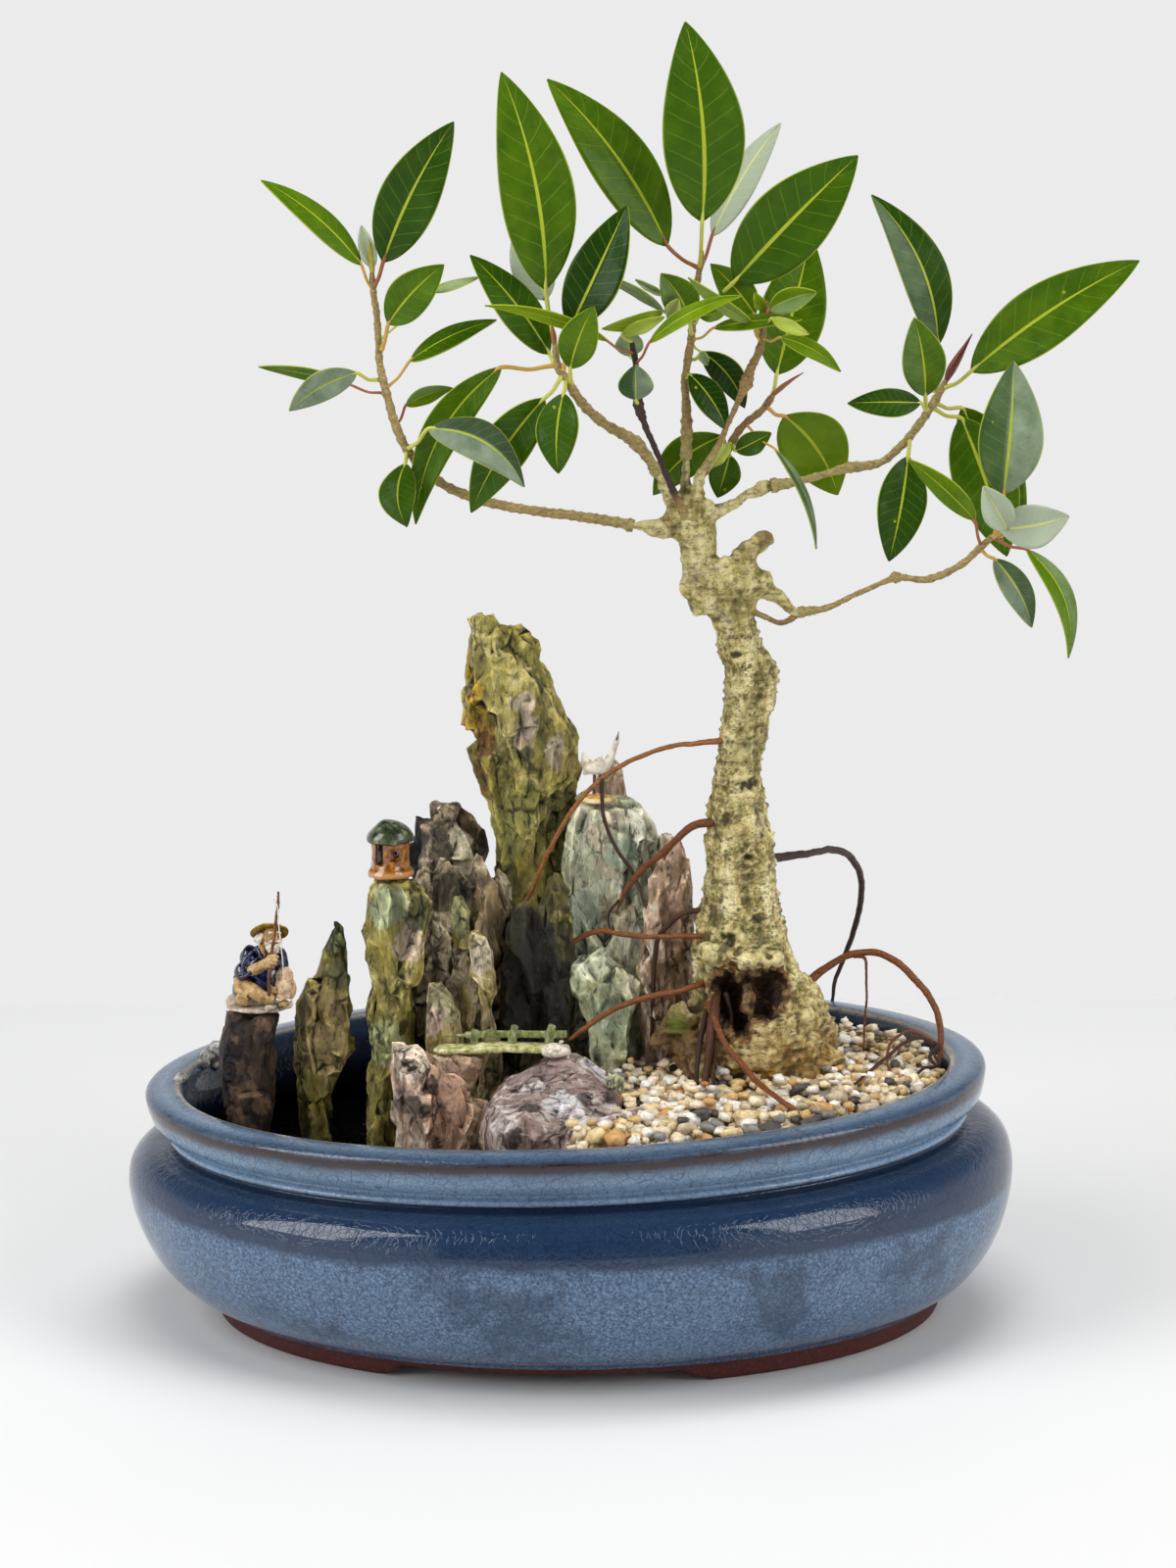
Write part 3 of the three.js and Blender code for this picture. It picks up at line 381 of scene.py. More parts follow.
# the real cracks are 0.1 mm wide, drawn at 0.25 mm so that they show
cracks = 0
for cell_mm, width, depth in ((5, 0.035, 0.5), (2.6, 0.06, 0.3)):
    crackle = add(
        tree, "TexVoronoi", {"Vector": bent, "Scale": scale_of(cell_mm)}, feature="DISTANCE_TO_EDGE"
    ).outputs["Distance"]
    crack = add(
        tree, "MapRange", {
            "Value": crackle, "From Min": 0.01, "From Max": width, "To Min": depth, "To Max": 0
        }
    ).outputs[0]
    cracks = add(tree, "Math", {0: crack, 1: cracks}, operation="MAXIMUM").outputs[0]
tone = add(tree, "Mix", {0: cracks, 6: tone, 7: colour("#0a1e38")}, data_type="RGBA").outputs[2]
pool = add(tree, "TexNoise", {"Vector": spot, "Scale": scale_of(14), "Detail": 1}).outputs["Fac"]
uneven = add(tree, "Math", {0: speckle, 1: 0.05, 2: pool}, operation="MULTIPLY_ADD").outputs[0]
surfaced(tree, shader, tone, uneven, 0.3, 0.0012)
dents = add(tree, "Math", {0: uneven, 1: cracks}, operation="SUBTRACT").outputs[0]
coat_bump = add(tree, "Bump", {"Height": dents, "Strength": 0.2, "Distance": 0.0009}).outputs[0]
tree.links.new(coat_bump, shader.inputs["Coat Normal"])

# Bare fired clay, pressed: dry and red-brown, with sandy grains
foot_clay, tree, shader = material("bare_red_stoneware", {"Roughness": 0.85})
spot = add(tree, "TexCoord").outputs["Object"]
grain = add(
    tree, "TexNoise", {"Vector": spot, "Scale": scale_of(1.2), "Detail": 5, "Roughness": 0.7}
).outputs["Fac"]
tone = add(
    tree, "ValToRGB", {"Fac": grain}, stops=[(0.3, "#33120e"), (0.75, "#6e2f24"), (0.55, "#4d1c16")]
).outputs["Color"]
surfaced(tree, shader, tone, grain, 0.5, 0.0005)

pot = link("pot_shell", pot_mesh, glaze, foot_clay)
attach(pot, "root")
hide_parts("pot")

# The left half of the bowl holds a bed of cement mortar, trowelled in wet and painted almost black for the
# deep shade it lies in; the right half holds dark, grainy bonsai soil. Both are hardly seen between the
# stones and pebbles.
mortar, tree, shader = material("cement_mortar_painted_shade", {"Roughness": 0.75})
spot = add(tree, "TexCoord").outputs["Object"]
lumps = add(
    tree, "TexNoise", {"Vector": spot, "Scale": scale_of(7), "Detail": 8, "Roughness": 0.7}
).outputs["Fac"]
# near-black tones: painted shade of the deep pond floor
tone = add(
    tree, "ValToRGB", {"Fac": lumps}, stops=[(0.3, "#08080a"), (0.8, "#3b3834"), (0.55, "#17161a")]
).outputs["Color"]
surfaced(tree, shader, tone, lumps, 0.9, 0.002)

earth, tree, shader = material("akadama_and_peat", {"Roughness": 0.95})
spot = add(tree, "TexCoord").outputs["Object"]
crumbs = add(tree, "TexVoronoi", {"Vector": spot, "Scale": scale_of(2.5)}).outputs
fine = add(tree, "TexNoise", {"Vector": spot, "Scale": scale_of(1.5), "Detail": 5}).outputs["Fac"]
tone = add(
    tree, "ValToRGB", {"Fac": crumbs["Color"]}, stops=[(0.2, "#120c08"), (0.9, "#4b3524"), (0.6, "#2a1c12")]
).outputs["Color"]
both = add(tree, "Math", {0: crumbs["Distance"], 1: fine}, operation="SUBTRACT").outputs[0]
surfaced(tree, shader, tone, both, 1, 0.001)

for name, paint in (("mortar_bed", mortar), ("soil", earth)):
    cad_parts[name].data.materials.clear()
    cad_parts[name].data.materials.append(paint)

# Fifteen rough slaty stones, broken and stood on end in the mortar so that they look like far peaks.
# Water and weather have split them along the grain, rounded their edges and stained them with ochre
# and green; pale breaks show where they are fresh.
STONE_VOXEL = 1.25
FACET_SIZE = 13
CHIP_SIZE = 5.2
FACET_SHARE = 0.06
SHARP_ANGLE = math.radians(9)
# the noise that bends the faces starts from a random place unless it is given a seed
NOISE_SEED = 1
noise.seed_set(NOISE_SEED)


def copied(name):
    """A copy of a CAD node's mesh with its loose triangles joined."""
    bm = bmesh.new()
    bm.from_mesh(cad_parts[name].data)
    bmesh.ops.remove_doubles(bm, verts=bm.verts, dist=1e-6)
    return bm


def add_lump(bm, x, y, z, half_x, half_y, half_z, turn=0):
    """Adds an egg-shaped lump to a bmesh, in millimetres from the middle of the pot."""
    size = Matrix.Diagonal((half_x * MM, half_y * MM, half_z * MM, 1))
    place = Matrix.Translation(at(x, y, z)) @ Matrix.Rotation(math.radians(turn), 4, "Y")
    return bmesh.ops.create_icosphere(bm, subdivisions=3, radius=1, matrix=place @ size)["verts"]


def reshaped(mesh, *changes):
    """The mesh after modifiers, each given as a kind and its settings."""
    holder = link("holder", mesh)
    for kind, settings in changes:
        change = holder.modifiers.new(kind, kind)
        for name, value in settings.items():
            setattr(change, name, value)
    ready = bpy.data.meshes.new_from_object(holder.evaluated_get(bpy.context.evaluated_depsgraph_get()))
    bpy.data.objects.remove(holder)
    return ready


def remeshed(bm, voxel_mm):
    """The shapes of a bmesh melted into one skin of even faces."""
    return reshaped(mesh_of(bm), ("REMESH", {"mode": "VOXEL", "voxel_size": voxel_mm * MM}))


def seen_on(tree_of_piece, x, z):
    """Where the camera sees a point of the middle plane on a piece, or the nearest place on it."""
    start = camera.matrix_world.translation
    goal = at(x, 0, z)
    hit = tree_of_piece.ray_cast(start, (goal - start).normalized())[0]
    return hit or tree_of_piece.find_nearest(goal)[0]


def weathered(mesh, shift_of, names):
    """Moves each vertex along its normal by the first value of shift_of, in millimetres.

    shift_of gets the place in millimetres and the normal. names are attributes for its values, and
    an empty name leaves a value out."""
    places = np.empty(len(mesh.vertices) * 3, np.float32)
    normals = np.empty(len(mesh.vertices) * 3, np.float32)
    mesh.vertices.foreach_get("co", places)
    mesh.vertices.foreach_get("normal", normals)
    places, normals = places.reshape(-1, 3), normals.reshape(-1, 3)
    told = np.array([
        shift_of(Vector(p) * 1000, Vector(n)) for p, n in zip(places.tolist(), normals.tolist())
    ])
    mesh.vertices.foreach_set("co", (places + normals * told[:, :1] * MM).astype(np.float32).ravel())
    for number, name in enumerate(names):
        if name:
            mesh.attributes.new(name, "FLOAT", "POINT").data.foreach_set(
                "value", told[:, number].astype(np.float32)
            )
    mesh.polygons.foreach_set("use_smooth", np.ones(len(mesh.polygons), bool))
    mesh.update()
    return mesh


def split_stone(seed, grain=0.4, rough=1.0):
    """The way a slaty stone splits: flat tilted faces in steps, long ridges and deep notches."""
    shift = Vector((seed * 37.3, seed * 11.9, seed * 5.7))

    def shift_of(place, normal):
        grained = Vector((place.x, place.y, place.z * grain))
        bent = grained + noise.noise_vector(place / 9) * 2.5 + shift
        centre = noise.voronoi(bent / FACET_SIZE)[1][0]
        tilt = noise.cell_vector(centre * 7.31) - Vector((0.5, 0.5, 0.5))
        step = 2.0 * noise.cell(centre * 5.17 + shift) + (bent / FACET_SIZE - centre).dot(tilt) * 4.6
        small = noise.voronoi((bent + shift) / CHIP_SIZE)[0]
        chips = min(small[1] - small[0], 0.5) * 2.2
        ridges = noise.noise(grained / 4.6 + shift) * 1.3
        return (rough * (step + chips - 1.6 + ridges),)

    return shift_of


def splintered(shape_of, seed, rough=1.0):
    """The same faces from near: thin splinters along the grain, small chips and pits."""
    shift = Vector((seed * 13.1, seed * 7.7, seed * 3.9))

    def shift_of(place, normal):
        relief = shape_of(place, normal)[0]
        grained = Vector((place.x, place.y, place.z * 0.3)) + noise.noise_vector(place / 6) * 1.5
        splinters = noise.ridged_multi_fractal(grained / 6 + shift, 0.9, 2.2, 3, 1.0, 2.0) - 1
        pits = noise.fractal(place / 2.2 + shift, 0.9, 2.1, 2)
        return rough * (0.6 * splinters + 0.3 * pits), relief, splinters

    return shift_of


# the faces that a blow leaves on the stone: size in millimetres, stretch along the grain, and how much
# they differ in tone and in slope
SPLIT_FACES = [(10, 0.45, 0.3, 1), (3.4, 0.6, 0.16, 0.8)]


def stone_finish(name, crack_and_shade, dark, light, worn, streak, patches=()):
    """A rough stone of many small split faces: stains along the grain, patches, pale worn edges that also
    carry a painted highlight, cracks, and painted shade in its hollows and grooves.
    """
    made, tree, shader = material(name, {"Roughness": 0.55, "Specular IOR Level": 0.5})
    spot = add(tree, "TexCoord").outputs["Object"]
    relief = add(tree, "Attribute", attribute_name="relief").outputs["Fac"]
    splinters = add(tree, "Attribute", attribute_name="splinters").outputs["Fac"]
    pointed = add(tree, "NewGeometry").outputs["Pointiness"]
    long_grain = add(tree, "Mapping", {"Vector": spot, "Scale": (1, 1, 0.3)}).outputs[0]
    blotch, stain, flecks = (
        add(
            tree, "TexNoise", {"Vector": where, "Scale": scale_of(size_mm), "Detail": 8, "Roughness": rough}
        ).outputs["Fac"]
        for where, size_mm, rough in ((spot, 9, 0.68), (long_grain, 9, 0.75), (long_grain, 3, 0.8))
    )
    warp = add(tree, "TexNoise", {"Vector": spot, "Scale": scale_of(6), "Detail": 4}).outputs["Color"]
    warp = add(tree, "VectorMath", {0: warp, "Scale": 0.005}, operation="SCALE").outputs[0]
    bent = add(tree, "VectorMath", {0: spot, 1: warp}).outputs[0]
    tone_share, rise = blotch, 0
    for size_mm, stretch, shade, slope in SPLIT_FACES:
        stretched = add(tree, "Mapping", {"Vector": bent, "Scale": (1, 1, stretch)}).outputs[0]
        cells = add(tree, "TexVoronoi", {"Vector": stretched, "Scale": scale_of(size_mm)}).outputs
        away = add(
            tree, "VectorMath", {0: stretched, 1: cells["Position"]}, operation="SUBTRACT"
        ).outputs[0]
        tilt = add(
            tree, "VectorMath", {0: cells["Color"], 1: (0.5, 0.5, 0.5)}, operation="SUBTRACT"
        ).outputs[0]
        face = add(tree, "VectorMath", {0: away, 1: tilt}, operation="DOT_PRODUCT").outputs["Value"]
        rise = add(tree, "Math", {0: face, 1: slope, 2: rise}, operation="MULTIPLY_ADD").outputs[0]
        own = add(tree, "SeparateXYZ", {"Vector": cells["Color"]}).outputs["X"]
        tone_share = add(
            tree, "Math", {0: own, 1: shade, 2: tone_share}, operation="MULTIPLY_ADD"
        ).outputs[0]
    tone = add(
        tree, "ValToRGB", {"Fac": tone_share}, stops=[(0.52, dark), (0.96, worn), (0.74, light)]
    ).outputs["Color"]
    tone = stained(tree, tone, streak, stain, 0.5, 0.62, 0.5)
    for place, radius, tint in patches:
        reach = add(tree, "VectorMath", {0: spot, 1: place}, operation="DISTANCE").outputs["Value"]
        ragged = add(tree, "Math", {0: blotch, 1: -0.016, 2: reach}, operation="MULTIPLY_ADD").outputs[0]
        tone = stained(tree, tone, tint, ragged, (radius - 7.4) * MM, (radius - 8.6) * MM, 0.8)
    joints = add(
        tree, "TexVoronoi", {"Vector": stretched, "Scale": scale_of(5.5)}, feature="DISTANCE_TO_EDGE"
    ).outputs["Distance"]
    # how much of each mark shows: where it starts, where it is full, and its share there
    # pale convex edges are partly wear and partly a painted highlight; dark cracks and flecks are the
    # stone's own, while the dark where the skin is concave, low or in a splinter groove is painted shade
    fleck_pale, edge, joint, open_here, sunk, deep, fleck_dark, split = (
        add(
            tree, "MapRange", {"Value": source, "From Min": start, "From Max": full, "To Max": share}
        ).outputs[0]
        for source, start, full, share in (
            (flecks, 0.56, 0.64, 0.6), (pointed, 0.507, 0.545, 0.8), (joints, 0.13, 0.03, 1),
            (stain, 0.52, 0.4, 0.9), (pointed, 0.494, 0.46, 0.95), (relief, -1.4, -3.4, 0.4),
            (flecks, 0.46, 0.38, 0.85), (splinters, -0.35, -0.9, 0.6),
        )
    )
    bright = add(tree, "Math", {0: edge, 1: fleck_pale}, operation="MAXIMUM").outputs[0]
    lit = add(tree, "VectorMath", {0: tone, "Scale": 1.95}, operation="SCALE").outputs[0]
    tone = add(tree, "Mix", {0: bright, 6: tone, 7: lit}, data_type="RGBA").outputs[2]
    cracked = add(tree, "Math", {0: joint, 1: open_here}, operation="MULTIPLY").outputs[0]
    cracks_and_shade = cracked
    for share in (sunk, deep, fleck_dark, split):
        cracks_and_shade = add(tree, "Math", {0: cracks_and_shade, 1: share}, operation="MAXIMUM").outputs[0]
    tone = add(tree, "Mix", {0: cracks_and_shade, 6: tone, 7: colour(crack_and_shade)}, data_type="RGBA").outputs[2]
    for source, metres in ((flecks, 0.002), (cracked, -0.0014)):
        rise = add(tree, "Math", {0: source, 1: metres, 2: rise}, operation="MULTIPLY_ADD").outputs[0]
    surfaced(tree, shader, tone, rise, 0.9, 1)
    return made


# the first tone of each stone colours its cracks and also its painted shade
moss_stone = dict(crack_and_shade="#13120a", dark="#6a6430", light="#a69a4e", worn="#cfc07c", streak="#a8932e")
sea_stone = dict(crack_and_shade="#2a2f24", dark="#aab798", light="#e4e4c0", worn="#fffbe8", streak="#bfc08c")
brown_stone = dict(crack_and_shade="#030202", dark="#120b0c", light="#2e2019", worn="#7c6046", streak="#46341f")
purple_stone = dict(crack_and_shade="#150d0c", dark="#98795f", light="#dcbb9c", worn="#faecd8", streak="#9c7c5c")
cream_stone = dict(crack_and_shade="#1d170c", dark="#776638", light="#b8a468", worn="#e8dab0", streak="#9a8538")
ash_stone = dict(crack_and_shade="#080606", dark="#2e2723", light="#98876a", worn="#e2d3b0", streak="#77643e")

# looks, seed, roughness, lumps added to the rough shape, then patches of another colour, each as seen
# over the middle plane, with its radius
stones = {
    "rock_fisher": (
        brown_stone, 1, 0.6, [],
        [
            (-115.5, 109, 3.4, "#6e563e"), (-120, 86, 6, "#49382a"), (-113, 92, 4, "#584432"),
            (-117, 98, 3, "#51402f"), (-125, 91, 3.6, "#5a4430"), (-124, 82, 4, "#6b5339"),
            (-111, 96, 3, "#5c4534"), (-119, 77, 3, "#7a6248"),
        ],
    ),
    "rock_spire": (
        moss_stone, 2, 0.9, [],
        [
            (-93, 112, 10, "#b8a06a"), (-94, 98, 11, "#c4ad76"), (-90, 86, 8, "#a08c5c"),
            (-88, 142, 8, "#5c6a48"), (-86, 127, 7, "#66684a"),
        ],
    ),
    "rock_pavilion": (
        moss_stone, 3, 0.85, [(-67, -1, 104, 9, 8, 38), (-73, -5, 80, 7, 7, 28)],
        # the dark patches on its right side, at -56 and -58, are painted shade
        [
            (-62.3, 141, 5, "#e8d0b4"), (-62.5, 136, 5, "#dec6aa"), (-61.5, 119, 8, "#d8ca70"),
            (-56, 128, 4, "#1d1c10"), (-70, 152, 8, "#b6c29a"), (-72, 100, 9, "#bcc088"),
            (-58, 150, 6, "#3e4228"), (-64, 106, 3.4, "#1d1c10"),
        ],
    ),
    "rock_pink": (
        purple_stone, 4, 0.8, [(-45, -41, 82, 9, 8, 20), (-36, -36, 74, 8, 8, 16)],
        [
            (-63, 94, 9, "#f2dec8"), (-49, 86, 8, "#e6b898"), (-49, 75, 9, "#deae8e"),
            (-49, 66, 8, "#cf9f7e"), (-64, 77, 6, "#7c6e6a"), (-38, 82, 7, "#a08468"),
            (-55, 84, 3, "#1c1210"), (-56, 74, 3, "#1c1210"),
        ],
    ),
    "rock_triangle": (cream_stone, 5, 0.6, [], [(-48, 116, 9, "#9b9670"), (-54, 108, 5, "#c9ac9a")]),
    "rock_cream": (cream_stone, 6, 0.8, [], [(-45, 148, 8, "#9ba06a"), (-46, 136, 6, "#c2a658")]),
    "rock_tan": (
        cream_stone, 7, 0.8, [],
        [
            (-35, 134, 7, "#cdc0a8"), (-31, 112, 6, "#d0b09a"), (-38, 120, 6, "#b8a858"),
            (-33, 100, 8, "#948464"),
        ],
    ),
    "rock_back": (
        ash_stone, 8, 1.0,
        [
            (-57, 12, 120, 9, 8, 46), (-48, 12, 135, 8, 8, 34), (-35, 14, 126, 8, 8, 44),
            (-29, 20, 118, 8, 8, 44),
        ],
        [
            (-41, 180, 7, "#e8dcc0"), (-39, 171, 7, "#d6c8a8"), (-33, 178, 5, "#1a1512"),
            (-58, 178, 12, "#211b1a"), (-60, 165, 10, "#171211"), (-45, 158, 8, "#15110e"),
            (-31, 152, 8, "#a08860"), (-30, 140, 9, "#94805a"), (-30, 126, 8, "#7c6a48"),
            (-30, 108, 9, "#4a3c2a"),
        ],
    ),
    "rock_peak": (
        moss_stone, 9, 1.0,
        [
            (-34, 36, 249, 7, 6, 7), (-37.5, 36, 232, 5.4, 6, 17), (-8, 6, 118, 9, 9, 46),
            (-20, 8, 112, 9, 9, 42), (-6, 36, 194, 7, 9, 17), (-3, 36, 158, 7, 8, 32),
            (-20, 34, 244, 9, 8, 8),
        ],
        # the near-black patches low on the stone, from about 96 to 150 high, are painted shadow on the foot
        # of the peak; the small dark one at 209 is painted shade in a hollow
        [
            (-37.5, 242, 4.5, "#a3861e"), (-37, 234, 5, "#c09a24"), (-37.4, 226, 6, "#c79f28"),
            (-36, 219, 6, "#b0861e"), (-35.5, 212, 5, "#7a4a16"), (-34, 204, 4.4, "#6f4c20"),
            (-33, 196, 3.6, "#8a6a2a"), (-18.6, 228, 5, "#c2b09c"), (-18.2, 221, 5, "#b9a692"),
            (-19, 214, 3.4, "#b09a80"), (-6.6, 213, 4.4, "#b8aa92"), (-7.4, 207, 3.6, "#b0a088"),
            (-17.5, 209, 3, "#3b3a24"), (-3, 165, 7, "#7d7636"), (-6, 190, 8, "#8f8850"),
            (-19, 122, 18, "#191712"), (-14, 98, 20, "#12110e"), (-9, 135, 13, "#211f17"),
            (-21, 192, 9, "#9a9648"), (-20, 150, 13, "#27241a"), (-22, 136, 15, "#1b1914"),
            (-25, 112, 14, "#16140f"), (-6, 116, 13, "#14120e"), (-27, 96, 12, "#12100d"),
            (-8, 158, 9, "#4a4520"), (-27, 162, 8, "#5c5626"), (-27, 178, 9, "#a39e50"),
        ],
    ),
    "rock_crane": (
        sea_stone, 10, 0.8, [(24, 26, 146, 9, 9, 36), (0, 26, 144, 7, 9, 32)],
        [
            (8, 178, 5, "#dccbae"), (14, 186, 5, "#dfcdb0"), (12, 168, 6, "#cdbfa2"),
            (2, 150, 8, "#b3c6ae"), (16, 150, 7, "#c4b892"), (18, 172, 6, "#a9bca2"),
        ],
    ),
    "rock_spire_back": (purple_stone, 11, 0.7, [(31, 10, 122, 8, 7, 46), (38, 11, 148, 6, 6, 30)], []),
    "rock_front_green": (
        dict(sea_stone, light="#c3c498", worn="#f2edd0"), 12, 1.0, [(15, -38, 94, 5, 5, 6)],
        [(4, 130, 7, "#e6e6c6"), (12, 134, 5, "#c4ccaa"), (14, 110, 8, "#b0bf9f")],
    ),
    "rock_purple": (purple_stone, 13, 0.8, [], []),
    "rock_boulder": (
        dict(purple_stone, dark="#846b62", light="#bda79d", worn="#f4eae4", streak="#7e665e"), 14, 0.55,
        [
            (3, -80, 81, 10, 8, 7), (14, -72, 88, 9, 8, 6), (-22, -80, 67, 9, 7, 6), (-9, -84, 64, 8, 6, 6),
            (22, -62, 88, 8, 8, 6), (-31, -76, 64, 7, 7, 6),
        ],
        # the four near-black patches are painted shadow under its overhangs
        [
            (-15, 90, 14, "#ab928c"), (-6, 77, 8, "#f8f5f6"), (10, 87, 8, "#efeaea"),
            (19, 84, 7, "#f4f1f1"), (-28, 70, 7, "#e8dad2"), (3, 70, 8, "#e6dede"), (-17, 76, 4, "#120d0c"),
            (2, 79, 3.4, "#120d0c"), (12, 78, 3.4, "#120d0c"), (-24, 63, 4, "#120d0c"),
        ],
    ),
    "rock_ledge": (purple_stone, 15, 0.6, [], []),
}
for node_name, (looks, seed, rough, lumps, patches) in stones.items():
    bm = copied(node_name)
    for lump in lumps:
        add_lump(bm, *lump)
    shape_of = split_stone(seed, rough=rough)
    broken = reshaped(
        weathered(remeshed(bm, STONE_VOXEL), shape_of, ()),
        ("DECIMATE", {"ratio": FACET_SHARE}),
        ("SUBSURF", {"subdivision_type": "SIMPLE", "levels": 2, "render_levels": 2}),
    )
    skin = weathered(broken, splintered(shape_of, seed, rough), ("", "relief", "splinters"))
    skin.set_sharp_from_angle(angle=SHARP_ANGLE)
    finished = bmesh.new()
    finished.from_mesh(skin)
    tree_of_stone = BVHTree.FromBMesh(finished)
    placed = [(seen_on(tree_of_stone, x, z), radius, tone) for x, z, radius, tone in patches]
    stone = link(
        node_name.replace("rock", "stone"), skin, stone_finish(
            node_name + "_slate", patches=placed, **looks
        )
    )
    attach(stone, "root")
    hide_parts(node_name)

# Crumbs of cement that the builder of the landscape left on the inside of the wall, far left
CRUMB_VOXEL = 0.5
pot_tree = BVHTree.FromBMesh(copied("pot"))
crumbs = bmesh.new()
for x, z, radius in [
    (-139.5, 93, 2.4), (-137, 96, 3.2), (-134.5, 99, 3), (-132.5, 102, 2.6), (-135.5, 92.5, 2)
]:
    place = seen_on(pot_tree, x, z) / MM
    add_lump(crumbs, place.x + POT_MIDDLE_TO_BOX_MIDDLE, place.y, place.z, radius, radius, radius)
crumb_mesh = weathered(
    remeshed(crumbs, CRUMB_VOXEL), splintered(split_stone(31, rough=0.3), 31), ("", "relief", "splinters")
)
pale_cement = stone_finish("dry_cement_crumbs", "#4a4744", "#8d8984", "#b5b1aa", "#dedbd4", "#9a968f")
cement_crumbs = link("cement_crumbs", crumb_mesh, pale_cement)
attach(cement_crumbs, "root")

# Rounded river pebbles, cream, yellow, white and grey with a few orange ones, strewn two or three deep
# on the soil round the foot of the tree. They lie loose and fill up to just under the lip.
PEBBLE_TRIES = 5
PEBBLE_COUNT = 1900
SMALLEST_HALF = 1.5
LARGEST_MORE = 2.8
BED_TOP = 83.5
BEDDED = 1.6
LIP_RADIUS = 141.5
TRUNK_MIDDLE = (70.2, 3)
HEAP_TOP = 92.5
HEAP_MIDDLE = (60, -20)
HEAP_FALL = (0.02, -0.055)

stone_trees = {
    name: BVHTree.FromBMesh(copied(name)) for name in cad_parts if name.startswith("rock_")
}
grid_x, grid_y = np.meshgrid(np.arange(-12, 145), np.arange(-108, 108), indexing="ij")
ground = np.full(grid_x.shape, BED_TOP, float)
bed_tree = BVHTree.FromBMesh(copied("gravel"))
for row in np.ndindex(*grid_x.shape):
    bed = bed_tree.ray_cast(at(grid_x[row], grid_y[row], 120), Vector((0, 0, -1)))[0]
    if bed:
        ground[row] = max(bed.z / MM - BEDDED, BED_TOP)


def free_at(x, y, clear):
    """Whether a pebble may lie there: inside the lip, right of the stones and clear of the trunk."""
    moved = x - RIM_LEAN
    half = LIP_RADIUS - clear
    if (moved / half) ** 2 + (y / (half - LENGTH_OVER_DEPTH)) ** 2 > 1:
        return False
    middle_x, middle_y = TRUNK_MIDDLE
    if math.hypot((x - middle_x) / (26 + clear * 0.6), (y - middle_y) / (24 + clear * 0.6)) < 1:
        return False
    left_end = 22 if y > 18 else (-4 if y < -70 else 6)
    if x < left_end + clear:
        return False
    start = at(x, y, 87)
    for tree_of_stone in stone_trees.values():
        hit, normal = tree_of_stone.ray_cast(start, Vector((0, 0, 1)))[:2]
        if hit and normal.z > 0:
            return False
        if tree_of_stone.find_nearest(start, clear * 0.8 * MM)[0]:
            return False
    return True


dice = random.Random(5)
pebbles = bmesh.new()
tint = pebbles.verts.layers.float.new("tint")
pebble_shape = bmesh.new()
bmesh.ops.create_cube(pebble_shape, size=1)
bmesh.ops.subdivide_edges(pebble_shape, edges=pebble_shape.edges, cuts=1, use_grid_fill=True)
for vert in pebble_shape.verts:
    vert.co = vert.co.lerp(vert.co.normalized() * 0.5, 0.7)
pebble_mesh = mesh_of(pebble_shape)
laid = 0
while laid < PEBBLE_COUNT:
    half = SMALLEST_HALF + LARGEST_MORE * dice.random() ** 1.6
    spots = []
    for _ in range(PEBBLE_TRIES):
        x, y = dice.uniform(-8, 140), dice.uniform(-104, 104)
        if not free_at(x, y, half):
            continue
        near = np.hypot(grid_x - x, grid_y - y) < half * 0.75
        spots.append((ground[near].max(), x, y))
    if not spots:
        continue
    low, x, y = min(spots)
    flat = dice.uniform(0.55, 0.85)
    top = low + 2 * half * flat
    limit = HEAP_TOP + HEAP_FALL[1] * (y - HEAP_MIDDLE[1]) + HEAP_FALL[0] * (x - HEAP_MIDDLE[0])
    if top > max(limit, low + 2 * SMALLEST_HALF):
        laid += 0.5
        continue
    laid += 1
    z = low + half * flat * 0.92
    reach = np.hypot(grid_x - x, grid_y - y) / half
    dome = z + half * flat * np.sqrt(np.clip(1 - reach**2, 0, 1))
    ground = np.where(reach < 1, np.maximum(ground, dome), ground)
    turn = Matrix.Rotation(dice.uniform(0, math.tau), 4, "Z")
    turn @= Matrix.Rotation(dice.uniform(-0.5, 0.5), 4, "X")
    shape = Matrix.Diagonal(
        (half * dice.uniform(1.9, 2.5), half * dice.uniform(1.5, 2.1), 2 * half * flat, 1000)
    )
    before = len(pebbles.verts)
    pebbles.from_mesh(pebble_mesh)
    pebbles.verts.ensure_lookup_table()
    own_tint = dice.random()
    skew = Vector((dice.uniform(-1, 1), dice.uniform(-1, 1), dice.uniform(-1, 1)))
    for vert in pebbles.verts[before:]:
        worn = 1 + 0.5 * noise.noise(vert.co * 3.1 + skew * 9)
        vert.co = at(x, y, z) + (turn @ shape @ (vert.co * worn)) * MM
        vert[tint] = own_tint
gravel_mesh = mesh_of(pebbles)

